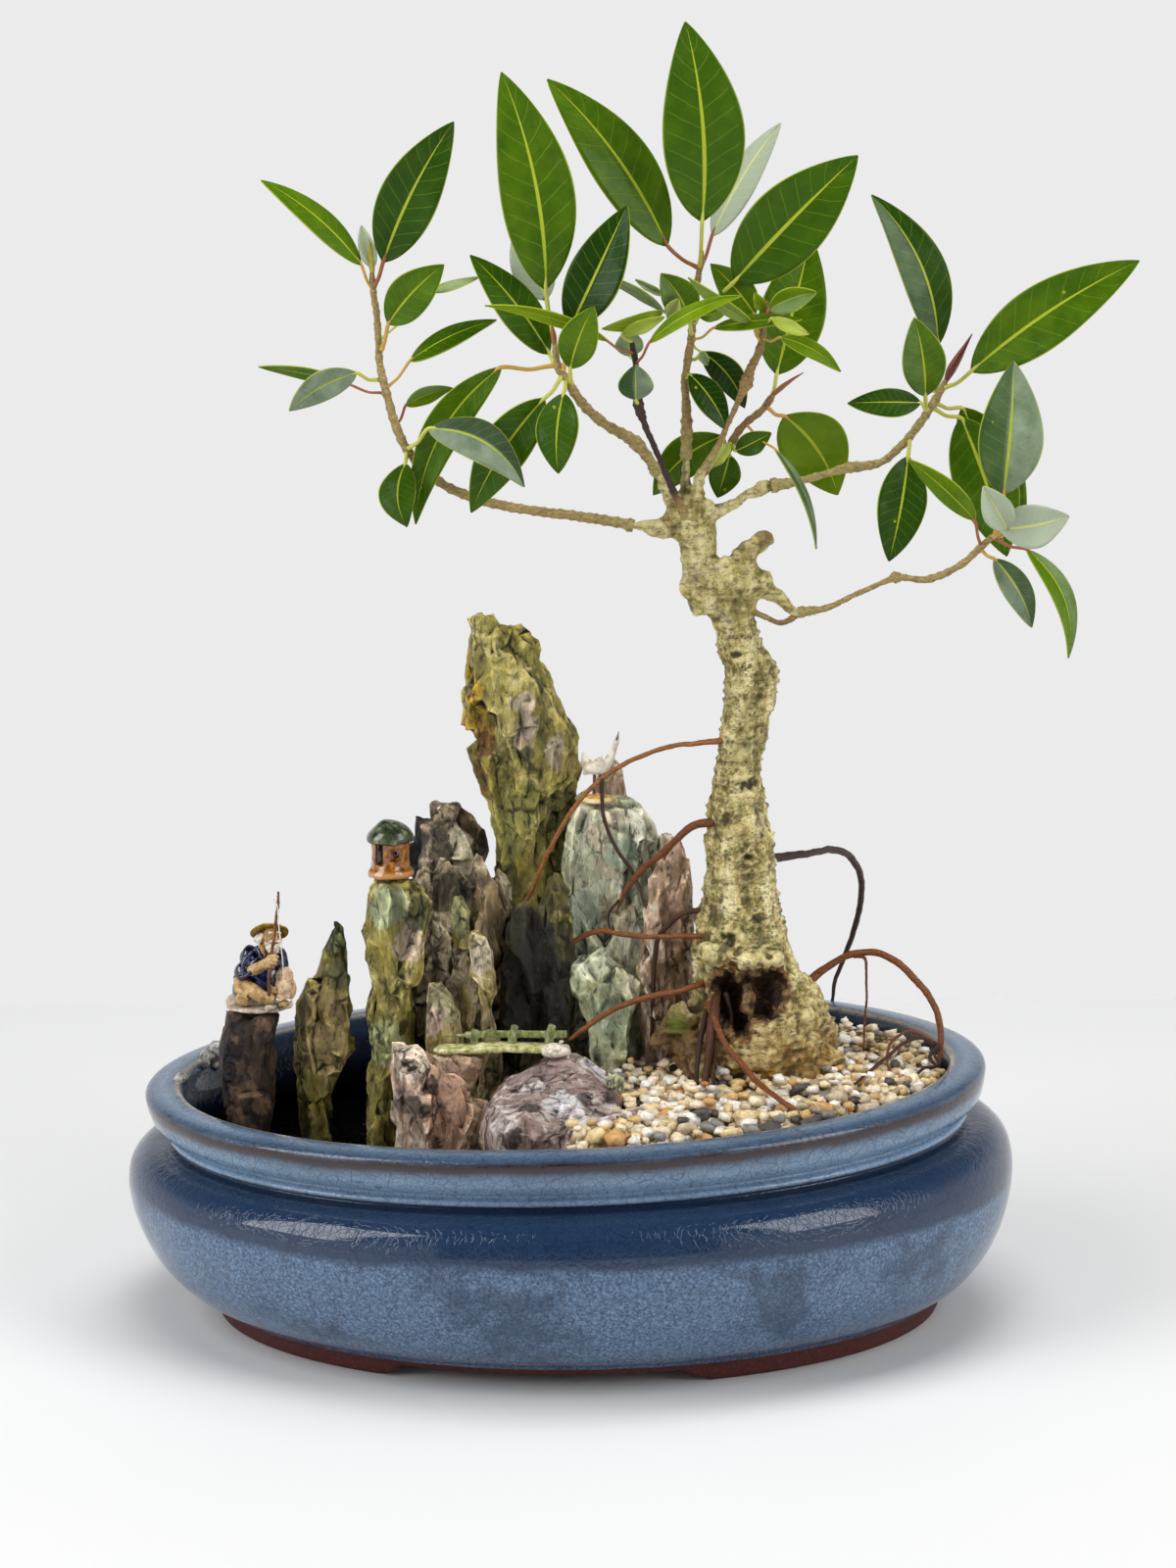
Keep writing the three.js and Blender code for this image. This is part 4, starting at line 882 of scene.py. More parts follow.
# River quartz and limestone, tumbled: each pebble one tone of a mixed bag, with fine veins and specks
pebble_stone, tree, shader = material("tumbled_river_pebbles", {"Roughness": 0.5})
spot = add(tree, "TexCoord").outputs["Object"]
own = add(tree, "Attribute", attribute_name="tint").outputs["Fac"]
vein = add(
    tree, "TexNoise", {"Vector": spot, "Scale": scale_of(2.2), "Detail": 6, "Roughness": 0.7}
).outputs["Fac"]
mixed = add(
    tree, "ValToRGB", {"Fac": own},
    stops=[
        (0, "#f4e2c0"), (1, "#6a6462"), (0.2, "#f8efe0"), (0.34, "#e6cc98"), (0.46, "#d8b478"),
        (0.52, "#efdcb6"), (0.64, "#cdbb9c"), (0.74, "#fbf6ee"), (0.81, "#d2a264"), (0.84, "#b09c80"),
        (0.91, "#565250"), (0.955, "#b8763c"), (0.97, "#8f8a84"),
    ],
)
mixed.color_ramp.interpolation = "CONSTANT"
veined = add(
    tree, "MapRange", {"Value": vein, "From Min": 0.35, "From Max": 0.7, "To Min": 0.6, "To Max": 1.3}
).outputs[0]
tone = add(tree, "VectorMath", {0: mixed.outputs["Color"], "Scale": veined}, operation="SCALE").outputs[0]
surfaced(tree, shader, tone, vein, 0.4, 0.0005)
gravel = link("loose_pebbles", gravel_mesh, pebble_stone)
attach(gravel, "root")

# Wet grit, which fills the gaps between the pebbles: too fine to see single grains of
grit, tree, shader = material("wet_grit_between_pebbles", {"Roughness": 0.8})
spot = add(tree, "TexCoord").outputs["Object"]
grains = add(tree, "TexVoronoi", {"Vector": spot, "Scale": scale_of(2.4)}).outputs
tone = add(
    tree, "ValToRGB", {"Fac": grains["Color"]}, stops=[(0.1, "#2a2119"), (0.9, "#b59c70"), (0.6, "#6b5940")]
).outputs["Color"]
surfaced(tree, shader, tone, grains["Distance"], 1, 0.001)
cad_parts["gravel"].data.materials.clear()
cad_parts["gravel"].data.materials.append(grit)

# The tree grew as one: a thick fig trunk with a hollow at its foot, cut off high up, with a swollen
# scar, bare branches that shot from the cut, and thin aerial roots that hang over the stones and run
# into the gravel. The bark is thin and greenish, ringed and full of warty breathing pores.
TRUNK_BACKSET = 3
TRUNK_MIDDLE_X = 62
TRUNK_SIDES = 40
BODY_VOXEL = 1.1
TRUNK_VOXEL = 0.85
BARK_STEP = 0.9

# height, left edge, right edge
trunk_levels = [
    (72, 52, 90), (83, 46, 95), (90, 44, 97), (97, 42, 97), (105, 41, 96), (113, 41.5, 93), (121, 43, 89.5),
    (129, 43.5, 82.5), (137, 44, 79.3), (147, 45.7, 76.3), (160, 48.3, 74.5), (172, 48.5, 73.5),
    (185, 48.5, 71), (195, 50, 70), (205, 51.5, 68.8), (214, 53, 70.3), (223, 55, 72), (233, 56, 74.2),
    (242, 54.8, 74.3), (250, 52.5, 69), (258, 50.5, 66.5), (266, 48.5, 67.3), (273, 46, 70), (278, 47, 68),
    (282, 55, 64),
]
# thick limbs, melted into the trunk: places and radii
thick_limbs = [
    [
        (50, 3, 262, 7), (47, 3, 272, 7), (46.3, 2, 280, 6), (45, 2, 288, 6.4), (43, 1, 295, 8),
        (42, 1, 301, 6),
    ],
    [(61, 3, 274, 6), (62, 3, 281, 4.8), (66, 2, 286, 3.1), (69, 2, 288.5, 2.9), (70, 2, 289.6, 2)],
    [(65, 3, 273, 5), (72, 3, 269, 3.2), (77, 2, 264.5, 2.3), (81.5, 1, 261.5, 1.9), (84, 0.6, 261.8, 1.5)],
    [(46, 1, 296, 4), (54, 1, 300, 2.5), (64.5, 2, 305, 1.9), (70, 2, 307.5, 2.1), (74, 2.4, 308.2, 1.7)],
    [(43, 1, 297, 4), (41, 1, 311, 2.3), (41.2, 1, 321, 1.8)],
    [(43, -1, 298, 4), (46, -4, 311.5, 1.8), (50, -5.5, 319, 1.3)],
    [(40, 0, 295, 3.6), (33.5, -1, 309, 2.1), (29, -2.4, 316, 1.8)],
    [(41, 1, 294, 4.4), (29, -1, 293.2, 2.5), (20, -0.4, 294.6, 2)],
    [(43, -7, 114, 5.4), (38, -7, 110, 4.8), (32, -6, 104.5, 4), (28, -5, 101, 2.6)],
]
warts_on_limbs = [
    (42.5, 1, 297, 8.6, 7.5, 5.5), (45, 2, 271, 5.6, 5.5, 6.2), (69.5, 2, 289, 3.4, 3.2, 2.6),
    (56, -1, 279, 4, 4, 4), (70, -1, 273, 3, 4, 4), (48, -2, 301, 3.5, 3.5, 3), (52, 0, 268, 5, 6, 5),
    (42, -8, 99, 6, 8, 9), (46, -14, 94, 6, 6, 6), (92, -8, 92, 6, 7, 8), (66, -19, 100, 13, 6, 8.5),
    (54, -14, 136, 5, 5, 3.4), (62, -15.5, 135, 5, 5, 3), (70.5, -14.5, 135, 6, 5, 3.4),
    (48, -13, 137.5, 4, 4, 4.5), (78.5, -13, 124, 3.6, 5, 6), (78, -16, 106, 6, 6, 5),
    (84, -12, 112, 4, 5, 5),
]
hollows = [
    (56, -21, 120, 6.2, 20, 11), (52.5, -21, 125, 4.2, 14, 5), (60, -22, 112, 4.4, 16, 5),
    (63, -21, 126, 5, 12, 4.4), (70.5, -20, 124, 6.4, 15, 7), (74.5, -19, 127, 3.4, 11, 3.6),
    (68, -21, 118, 4.6, 12, 4.2),
]
# scars of shed twigs on the front of the trunk: x, height, half width, half height, depth
knots = [
    (63.2, 198.6, 6.5, 3.4, 0.8), (63.4, 172.1, 3, 2.1, 2.6), (66.8, 149, 3.8, 2.6, 0.9),
    (56.4, 142, 4.4, 3.2, 1.8), (71, 137, 3, 2, 0.8), (59, 247, 3.4, 2.2, 1),
]
WART_COLUMNS = 20
WART_ROW = 3.6
WARTS_UP_TO = 262
FLARE_FROM = 135
TWIG_SKIN_FROM = 0.2
TWIG_SKIN_REACH = 13
# colour of the skin from 0 bark to 1 bright root, then places and radii
limbs = {
    "far_left": (0.33, [
        (22, -0.6, 294, 2), (15, 0, 295.5, 1.8), (0, -1, 298, 1.7), (-19, -3, 301, 1.6),
        (-37, -5, 305.5, 1.7), (-50.5, -8, 313.5, 1.6), (-59.5, -9, 323.5, 1.6), (-64, -8, 334, 1.5),
        (-67, -6, 345, 1.5), (-69, -4, 354, 1.3), (-69.5, -3, 368, 1.2), (-71, -3, 381, 1.1),
        (-71.2, -3, 388, 0.7),
    ]),
    "a": (0.3, [
        (31, -1.8, 313, 1.9), (26.3, -3, 320.5, 1.9), (22.8, -4.6, 324.6, 2.4), (20, -6, 327, 2),
        (10, -9, 333.5, 1.7), (3, -12, 341, 1.7), (-2, -13, 349, 1.5), (-4.5, -13, 352.5, 1.4),
        (-6, -13, 362, 0.9),
    ]),
    "b": (0.58, [
        (41, -4, 298, 2), (37.5, -9, 305, 1.3), (31.3, -12, 320, 1), (25.5, -15, 334, 1.2),
        (24, -15, 339, 1.8), (23.3, -13, 347, 1.2), (23, -13, 353, 1.2), (21.5, -14, 362.5, 0.8),
    ]),
    "c": (0.36, [
        (41.1, 1, 318, 1.8), (41.3, 1, 331, 2), (41.1, 1, 338, 1.5), (40.8, 1, 345, 1.4), (43, 2, 361, 1.4),
        (45, 3, 378, 1.2), (46.3, 3, 387, 1),
    ]),
    "d": (0.42, [
        (48, -4.6, 315, 1.6), (53.5, -7, 326, 1), (60.5, -9, 342, 1.2), (62.5, -9, 346.5, 2.2),
        (64, -9, 351, 1.5), (67, -9, 358, 1.4), (69.5, -9, 370, 0.9), (70, -9, 376, 0.6),
    ]),
    "e": (0.45, [
        (45, 2, 300, 2.6), (47, 4, 312, 1.6), (56, 6, 320, 1.5), (60, 7, 327, 1.3), (70, 8, 336, 1.2),
        (72.5, 9, 339.5, 1.1), (73.5, 9, 341, 0.6),
    ]),
    "f": (0.27, [
        (72, 2.2, 308, 2.4), (81.5, 3, 309.3, 1.5), (94, 4, 312.5, 1.3), (100, 4, 314, 1.9),
        (112, 5, 316, 1.3), (119, 5, 321.5, 1.4), (127.5, 5, 332, 1.4), (133, 5, 341, 1.4),
        (136, 5, 346.5, 0.9),
    ]),
    "g": (0.34, [
        (82, 0.8, 261.6, 1.8), (92, -1, 263.5, 1.1), (105, -5, 270, 0.9), (114, -7.3, 274.5, 1.1),
        (116.5, -8, 275.5, 2), (119, -8.7, 275.6, 1.2), (129, -11, 275.5, 1.3), (140, -13, 281, 1.2),
        (147, -14, 287.5, 1.2), (152, -14, 292, 0.9),
    ]),
    "spur": (0.45, [(62, 1, 264, 1.6), (70, 0, 260, 0.9), (76, 0, 258, 0.9), (82, 1, 261, 1.1)]),
}
roots = {
    "over_peak": (0.92, [
        (58, 0, 214.5, 1.3), (45, -1, 213.5, 1), (33, 4, 211, 0.9), (20, 8, 205, 0.9),
        (10, 9.5, 198.5, 0.9), (0, 9.5, 188, 0.9), (-9, 11, 173, 0.8), (-14, 13, 161, 0.8),
        (-20, 14, 148, 0.6), (-21, 14, 144, 0.3),
    ]),
    "over_crane": (0.62, [
        (10, 9.5, 198.5, 0.8), (10.5, 10, 184, 0.7), (14.5, 10.3, 173, 0.7), (22, 10, 161, 0.7),
        (26, 9, 149, 0.4),
    ]),
    "middle_left": (0.8, [
        (54, -1, 184.3, 1.9), (44, 0, 182.5, 1.5), (33, 4, 172, 1.3), (22, 9, 161, 1.2),
        (17.5, 11, 153.5, 0.8), (15, 11, 146, 0.3),
    ]),
    "short_left": (0.66, [
        (52, 1, 150.4, 1.3), (40, 1, 149, 1), (33, 3, 143, 1), (30, 4, 137, 1), (28.5, 5, 120, 0.9),
        (28, 5, 100, 0.7),
    ]),
    "over_bridge": (0.84, [
        (51, -3, 141.4, 1.2), (30, -2, 141, 0.9), (20, 2, 140.5, 1), (8, 8, 140.8, 1), (0, 9, 137, 1),
        (-13, 9, 127, 1), (-16, 9, 118, 0.9), (-20, 9, 108, 0.7), (-21, 9, 98, 0.4),
    ]),
    "lowest_left": (0.84, [
        (51, -5, 125.4, 1.6), (38, -11, 122.5, 1.1), (30, -11, 121, 1.2), (15, -10, 116, 1.1),
        (5, -9.5, 109.5, 1), (-3, -9.5, 103.5, 0.8),
    ]),
    "upper_right": (0.6, [
        (68, 4, 168.5, 2), (87, 25, 166, 1.4), (98, 45, 163, 1.4), (104, 55, 159, 1.4), (110, 68, 147, 1.3),
        (110, 78, 131, 1.2), (106, 86, 113, 1), (101.5, 87, 101, 0.8), (100, 87, 88, 0.6),
    ]),
    "arch_right": (0.82, [
        (78, 7, 110, 2.2), (85, 9, 118.5, 1.8), (89.5, 12, 122, 1.7), (97, 14, 127, 1.4),
        (104, 14, 130, 1.4), (112, 13, 130.5, 1.4), (119, 11, 128, 1.4), (126, 8, 122, 1.4),
        (132, 5, 115, 1.3), (135.3, 2, 106, 1.3), (135.6, 0, 97, 1.2), (134.5, -1, 88, 1),
    ]),
    "front": (0.82, [
        (49, -13, 118, 1.7), (50.6, -22, 114, 1.3), (54, -27, 107, 1.2), (60.5, -35, 100.5, 1.2),
        (65.6, -46, 97, 1.1), (71.6, -60, 95.4, 1), (77, -70, 94.2, 0.9), (80, -76, 91.5, 0.5),
    ]),
    "thin_over_arch": (
        0.86, [(104, 14, 129, 0.7), (108, 15, 128, 0.6), (109, 17, 121, 0.5), (108, 18, 90, 0.4)]
    ),
    "pillar": (0.7, [
        (52, -10, 121.5, 1.2), (51, -16.5, 118, 1.8), (50, -21.5, 112, 2.2), (48.6, -24, 103, 1.6),
        (46.6, -26, 88, 1.2),
    ]),
    "pillar_thin": (
        0.6, [(48, -14, 116, 1), (46.2, -20, 110, 1.1), (44.6, -23.5, 101, 1), (43.4, -26, 88, 0.8)]
    ),
    "pillar_low": (
        0.66, [(50, -17, 108, 1), (50.6, -23, 101, 1), (50, -26, 94, 0.8), (50.6, -27, 88, 0.6)]
    ),
    "inner_pillar": (
        0.5, [(63, -10, 124, 1.6), (64, -14.5, 119, 1.3), (64.4, -16, 112, 1.1), (65.6, -15.5, 104, 1.5)]
    ),
    "inner_strand": (
        0.56, [(55, -9, 121, 1), (57, -13, 114, 0.7), (56.4, -14.5, 107, 0.7), (58, -15, 100, 0.9)]
    ),
    "tangle_a": (0.66, [
        (135, -2, 97, 0.7), (128, -4, 102, 0.7), (121, -8, 101, 0.7), (114, -14, 97, 0.7),
        (106, -24, 93.6, 0.6), (99, -34, 91, 0.5),
    ]),
    "tangle_b": (0.8, [
        (134, 3, 98, 0.6), (124, 0, 103.5, 0.6), (117, -5, 101, 0.6), (115, -9, 96, 0.5),
        (116, -12, 90, 0.5),
    ]),
    "tangle_c": (
        0.6,
        [
            (134.5, -3, 99, 0.8), (131, -8, 95.4, 0.7), (133, -10, 93, 0.6), (128, -14, 93, 0.6),
            (124, -17, 90, 0.5),
        ],
    ),
    "tangle_d": (
        0.58, [(136, 2, 99, 0.6), (132.5, -6, 97, 0.6), (134, -12, 94, 0.6), (130, -9, 91.4, 0.5)]
    ),
    "wisp": (
        0.55,
        [(22, 9, 160, 0.6), (25, 8, 153, 0.5), (28, 7, 146, 0.5), (29, 7, 140, 0.4), (27, 7, 128, 0.3)],
    ),
    "wisp_low": (0.6, [(16, 10.5, 152, 0.5), (12, 11, 146, 0.4), (13, 11, 138, 0.3), (8, 11, 130, 0.25)]),
    "strand": (0.7, [(40, -14, 97, 0.8), (42.5, -20, 91, 0.7), (46, -24, 86, 0.6)]),
}


def add_rings(bm, rings, segments):
    """Bridges circles, each placed by a matrix, into one closed tube."""
    edges = []
    for placed in rings:
        verts = bmesh.ops.create_circle(
            bm, cap_ends=False, segments=segments, radius=1, matrix=placed
        )["verts"]
        edges.append(list({edge for vert in verts for edge in vert.link_edges}))
    for below, above in zip(edges, edges[1:]):
        bmesh.ops.bridge_loops(bm, edges=below + above)
    for end in (edges[0], edges[-1]):
        bmesh.ops.contextual_create(bm, geom=end)


def add_stalk(bm, rows, sides=8, **marks):
    """Adds a round stalk along rows of x, y, z and radius in millimetres, and marks its vertices."""
    curve = bpy.data.curves.new("stalk", "CURVE")
    curve.dimensions = "3D"
    curve.bevel_depth = MM
    curve.bevel_resolution = (sides - 4) // 2
    curve.use_fill_caps = True
    spline = curve.splines.new("POLY")
    spline.points.add(len(rows) - 1)
    for point, (x, y, z, radius) in zip(spline.points, rows):
        point.co = (*at(x, y, z), 1)
        point.radius = radius
    holder = bpy.data.objects.new("stalk", curve)
    bpy.context.scene.collection.objects.link(holder)
    mesh = bpy.data.meshes.new_from_object(holder.evaluated_get(bpy.context.evaluated_depsgraph_get()))
    bpy.data.objects.remove(holder)
    before = len(bm.verts)
    bm.from_mesh(mesh)
    bm.verts.ensure_lookup_table()
    added = bm.verts[before:]
    for name, value in marks.items():
        layer = bm.verts.layers.float[name]
        for vert in added:
            vert[layer] = value
    return added


def ringed(rows, step, scar, spacing, seed):
    """A stalk's rows, resampled, with ring scars, small swellings, a flared start and a round end."""
    rows = smooth_line(rows, step)
    gone = np.concatenate([[0], np.cumsum(np.linalg.norm(np.diff(rows[:, :3], axis=0), axis=1))])
    dice = random.Random(seed)
    marks = [spacing * 0.5]
    while marks[-1] < gone[-1]:
        marks.append(marks[-1] + spacing * dice.uniform(0.4, 1.7))
    for row, far in zip(rows, gone):
        nearest = min(abs(far - mark) for mark in marks)
        waves = noise.noise(Vector((far / 3, seed, 0)))
        swell = 1 + scar * math.exp(-((nearest / 0.7) ** 2)) + 0.09 * waves
        row[3] *= swell * (1 + 0.16 * math.exp(-far / 3))
        wander = noise.noise_vector(Vector((far / 7, seed * 3.1, 1))) * 0.35
        row[:3] += np.array(wander) * min(far / 6, 1)
    rows[-1][3] *= 0.35
    return rows


body = bmesh.new()
add_rings(
    body,
    [
        Matrix.Translation(at((left + right) / 2, TRUNK_BACKSET, z))
        @ Matrix.Diagonal((half * MM, min(half * 0.94, 22 + 0.1 * half) * MM, 1, 1))
        for z, left, right, half in (
            (z, left, right, (right - left) / 2)
            for z, left, right in smooth_line(trunk_levels, 4, places=1)
        )
    ],
    TRUNK_SIDES,
)
for rows in thick_limbs:
    add_stalk(body, smooth_line(rows, 2), 12)
for lump in warts_on_limbs:
    add_lump(body, *lump)
carver = bmesh.new()
for hollow in hollows:
    add_lump(carver, *hollow)
carver = link("carver", remeshed(carver, TRUNK_VOXEL))
solid_body = reshaped(
    remeshed(body, BODY_VOXEL),
    ("BOOLEAN", {"operation": "DIFFERENCE", "object": carver}),
    ("REMESH", {"mode": "VOXEL", "voxel_size": TRUNK_VOXEL * MM}),
)
bpy.data.objects.remove(carver)


def wart_at(place):
    """How high the wart over a place on the trunk is, from 0 to 1. They stand in rows round it."""
    turn = math.atan2(place.y - TRUNK_BACKSET, place.x - TRUNK_MIDDLE_X) / math.tau
    across, up = turn * WART_COLUMNS, place.z / WART_ROW
    best = 0
    for column in range(math.floor(across) - 1, math.floor(across) + 2):
        for row in range(math.floor(up) - 1, math.floor(up) + 2):
            chance = noise.cell_vector(Vector((column % WART_COLUMNS + 0.5, row + 0.5, 7.5)))
            crowd = noise.noise(Vector((column % WART_COLUMNS, row, 3)) / 3.3)
            if chance.z + 1.3 * crowd < 0.5:
                continue
            gap = math.hypot(across - column - 0.2 - 0.6 * chance.x, up - row - 0.35 - 0.3 * chance.y)
            best = max(best, 1 - gap / (0.22 + 0.3 * chance.x * chance.y))
    return best * min(max((WARTS_UP_TO - place.z) / 8, 0), 1)


def bark(place, normal):
    """Shallow flutes, knobs and breathing warts; ragged edges and fibres round the hollows."""
    seen = place + Vector((POT_MIDDLE_TO_BOX_MIDDLE, 0, 0))
    depth = min(
        Vector(((seen.x - x) / a, (seen.y - y) / b, (seen.z - z) / c)).length
        for x, y, z, a, b, c in hollows
    )
    inside = min(max((1.14 - depth) / 0.14, 0), 1)
    brim = math.exp(-(((depth - 1.2) / 0.3) ** 2))
    decay = min(max((1.5 + 0.5 * noise.noise(place / 2.4) - depth) / 0.25, 0), 1) * 0.8
    low = min(max((FLARE_FROM - seen.z) / 50, 0), 1)
    flutes = noise.noise(Vector((place.x / 9, place.y / 9, place.z / 34))) * (1.3 + 1.5 * low)
    knobs = noise.fractal(place / 7.5, 0.8, 2.2, 3) * (1.25 + 0.6 * low)
    wart = wart_at(seen) * (1 - inside)
    creases = noise.noise(Vector((place.x / 12, place.y / 12, place.z / 1.5))) * 0.42
    fine = noise.fractal(place / 1.9, 0.9, 2.1, 2) * 0.2
    fibres = noise.noise(Vector((place.x / 1.5, place.y / 1.5, place.z / 7))) * 1.5 * inside
    ragged = noise.fractal(place / 2.9, 0.9, 2.1, 3) * 2.2 * brim
    raised = min(wart, 0.55) * (1.5 + 1.5 * low)
    scars = 0
    for x, z, half_width, half_height, depth in knots:
        reach = math.hypot((seen.x - x) / half_width, (seen.z - z) / half_height) if place.y < 0 else 9
        reach += 0.5 * noise.noise(place / 1.6)
        scars += 0.9 * math.exp(-(((reach - 1) / 0.35) ** 2)) - depth * max(1 - reach * 1.2, 0)
        wart = max(wart, min(2.6 * (0.55 - reach), 1))
    relief = flutes + knobs + raised + creases + fine + fibres + ragged + scars
    return relief, wart, max(inside, decay), 0.0


wood = bmesh.new()
wood.from_mesh(weathered(solid_body, bark, ("relief", "pore", "hollow", "skin")))
for number, (skin, rows) in enumerate(limbs.values()):
    start = at(*rows[0][:3])
    added = add_stalk(wood, ringed(rows, BARK_STEP, 0.24, 3.2, number), 10, skin=skin)
    skin_layer = wood.verts.layers.float["skin"]
    for vert in added:
        share = min((vert.co - start).length / (TWIG_SKIN_REACH * MM), 1)
        vert[skin_layer] = TWIG_SKIN_FROM + (skin - TWIG_SKIN_FROM) * share
for number, (skin, rows) in enumerate(roots.values()):
    add_stalk(wood, ringed(rows, BARK_STEP * 1.3, 0.06, 8, 40 + number), 8, skin=skin)
skin_layer = wood.verts.layers.float["skin"]
wood.normal_update()
for vert in wood.verts:
    if vert[skin_layer] > 0:
        vert.co += vert.normal * noise.fractal(vert.co * 1000 / 1.4, 0.9, 2.1, 2) * 0.1 * MM
wood_mesh = mesh_of(wood)

# Living fig bark: thin, smooth and waxy, grey-green with dark pores; twigs brown, roots red-brown. A painted
# highlight lies on its ridges, and painted shade in its dips and creases and deep in the hollows
living_bark, tree, shader = material("living_fig_bark", {"Specular IOR Level": 0.45})
spot = add(tree, "TexCoord").outputs["Object"]
relief, pore, hollow, skin = (
    add(tree, "Attribute", attribute_name=name).outputs["Fac"]
    for name in ("relief", "pore", "hollow", "skin")
)
pointed = add(tree, "NewGeometry").outputs["Pointiness"]
height = add(tree, "SeparateXYZ", {"Vector": spot}).outputs["Z"]
upright = add(tree, "Mapping", {"Vector": spot, "Scale": (1, 1, 0.4)}).outputs[0]
flat = add(tree, "Mapping", {"Vector": spot, "Scale": (1, 1, 2.2)}).outputs[0]
streaks, specks, plates, crease = (
    add(
        tree, "TexNoise", {
            "Vector": where, "Scale": scale_of(size_mm), "Detail": detail, "Roughness": rough
        }
    ).outputs["Fac"]
    for where, size_mm, detail, rough in (
        (upright, 7, 8, 0.66), (flat, 2, 7, 0.8), (spot, 17, 6, 0.6), (flat, 11, 6, 0.6),
    )
)
crease = add(tree, "Math", {0: crease, 1: 0.5}, operation="SUBTRACT").outputs[0]
crease = add(tree, "Math", {0: crease}, operation="ABSOLUTE").outputs[0]
from_damp, from_cut, from_moss = (
    add(tree, "VectorMath", {0: spot, 1: at(*place)}, operation="DISTANCE").outputs["Value"]
    for place in ((36, -10, 100), (70.4, 2, 290), (37, -13, 110))
)
tone, damp_wood, rotten, hollow_depth_shade = (
    add(tree, "ValToRGB", {"Fac": source}, stops=stops).outputs["Color"]
    for source, stops in (
        (streaks, [(0.37, "#4f4620"), (0.61, "#f9ebb8"), (0.44, "#97874a"), (0.51, "#cebc78")]),
        (specks, [(0.35, "#1c1206"), (0.68, "#94702f"), (0.5, "#5c401a")]),
        (specks, [(0.38, "#281607"), (0.62, "#a87a40"), (0.5, "#6b4620")]),
        (specks, [(0.42, "#040201"), (0.64, "#4a2c12")]),
    )
)
limb_tone = add(
    tree, "ValToRGB", {"Fac": skin},
    stops=[
        (0.2, "#a2955c"), (1, "#9c6832"), (0.35, "#9f8752"), (0.45, "#8a6c40"), (0.58, "#33201a"),
        (0.66, "#46291a"), (0.8, "#74401e"), (0.86, "#8a5024"),
    ],
).outputs["Color"]
limb_shade = add(
    tree, "MapRange", {"Value": specks, "From Min": 0.35, "From Max": 0.65, "To Min": 0.4, "To Max": 1.5}
).outputs[0]
limb_tone = add(tree, "VectorMath", {0: limb_tone, "Scale": limb_shade}, operation="SCALE").outputs[0]
# stains, painted highlight and painted shade, from the lowest to the uppermost: colour, what it follows,
# where it starts and is full, its share
for tint, source, start, full, share in (
    ("#b39650", plates, 0.54, 0.6, 0.35),
    ("#a9a270", plates, 0.45, 0.4, 0.4),
    ("#ae7c34", height, 0.122, 0.09, 0.78),
    ("#8f8742", height, 0.19, 0.27, 0.35),
    ("#3f3a17", specks, 0.47, 0.4, 0.85),
    # painted shade in the dips of the relief and where the skin is concave, then a painted highlight where
    # it is convex
    ("#4a431f", relief, -0.3, -2, 0.8),
    ("#3c3415", pointed, 0.494, 0.462, 0.75),
    ("#efe2a8", pointed, 0.507, 0.55, 0.55),
    ("#3a2f14", pore, 0.15, 0.55, 0.85),
    ("#4a4420", crease, 0.02, 0.006, 0.6),
    (damp_wood, from_damp, 0.019, 0.011, 0.85),
    ("#7a5530", from_cut, 0.005, 0.0025, 0.75),
    ("#5d7a14", from_moss, 0.0065, 0.0025, 0.6),
    (rotten, hollow, 0.15, 0.7, 0.9),
    # near black deep inside the hollows: painted shade
    (hollow_depth_shade, hollow, 0.82, 1, 0.9),
    (limb_tone, skin, 0.05, 0.2, 1),
):
    tone = stained(tree, tone, tint, source, start, full, share)
waxed = add(
    tree, "MapRange", {"Value": skin, "From Min": 0.55, "From Max": 0.7, "To Min": 0.6, "To Max": 0.34}
).outputs[0]
tree.links.new(waxed, shader.inputs["Roughness"])
both = add(tree, "Math", {0: specks, 1: streaks}, operation="ADD").outputs[0]
surfaced(tree, shader, tone, both, 0.7, 0.0008)
grown_tree = link("fig_trunk", wood_mesh, living_bark)
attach(grown_tree, "root")
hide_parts("trunk")

# Each fig leaf is one leathery blade with a yellow midrib and fine side veins, on its own stalk from a
# twig. Old leaves are deep green and glossy, young ones bright and narrow; the sky shows grey on
# some, and the undersides are pale. A few rolled buds stand at the ends of the twigs.
BLADE_THICKNESS = 0.42
BLADE_COLUMNS = 12
BLADE_ROWS = 30
SIDE_VEINS = 21
EDGE_WAVE = 0.5
STALK_SAG = 1.2
STALK_RADIUS = 0.8
# the lens, in millimetres before the middle plane and over the table
LENS_REACH = 1470
LENS_HEIGHT = 497.5

# Living leaf, waxy above: chlorophyll green by age, pale veins sunk into the blade, and a painted grey sheen
# of the sky on the halves marked for it
leaf_top, tree, shader = material(
    "waxy_fig_leaf", {
        "Roughness": 0.42, "Specular IOR Level": 0.12, "Coat Weight": 0.1, "Coat Roughness": 0.12
    }
)
spot = add(tree, "TexCoord").outputs["Object"]
over = add(tree, "UVMap", uv_map="blade").outputs["UV"]
parts = add(tree, "SeparateXYZ", {"Vector": over}).outputs
age = add(tree, "Attribute", attribute_name="age").outputs["Fac"]
sky_sheen = add(tree, "Attribute", attribute_name="sky_sheen").outputs["Fac"]
from_rib = add(tree, "Math", {0: parts["X"], 1: 0.5}, operation="SUBTRACT").outputs[0]
from_rib = add(tree, "Math", {0: from_rib}, operation="ABSOLUTE").outputs[0]
mottle = add(
    tree, "TexNoise", {"Vector": spot, "Scale": scale_of(9), "Detail": 5, "Roughness": 0.6}
).outputs["Fac"]
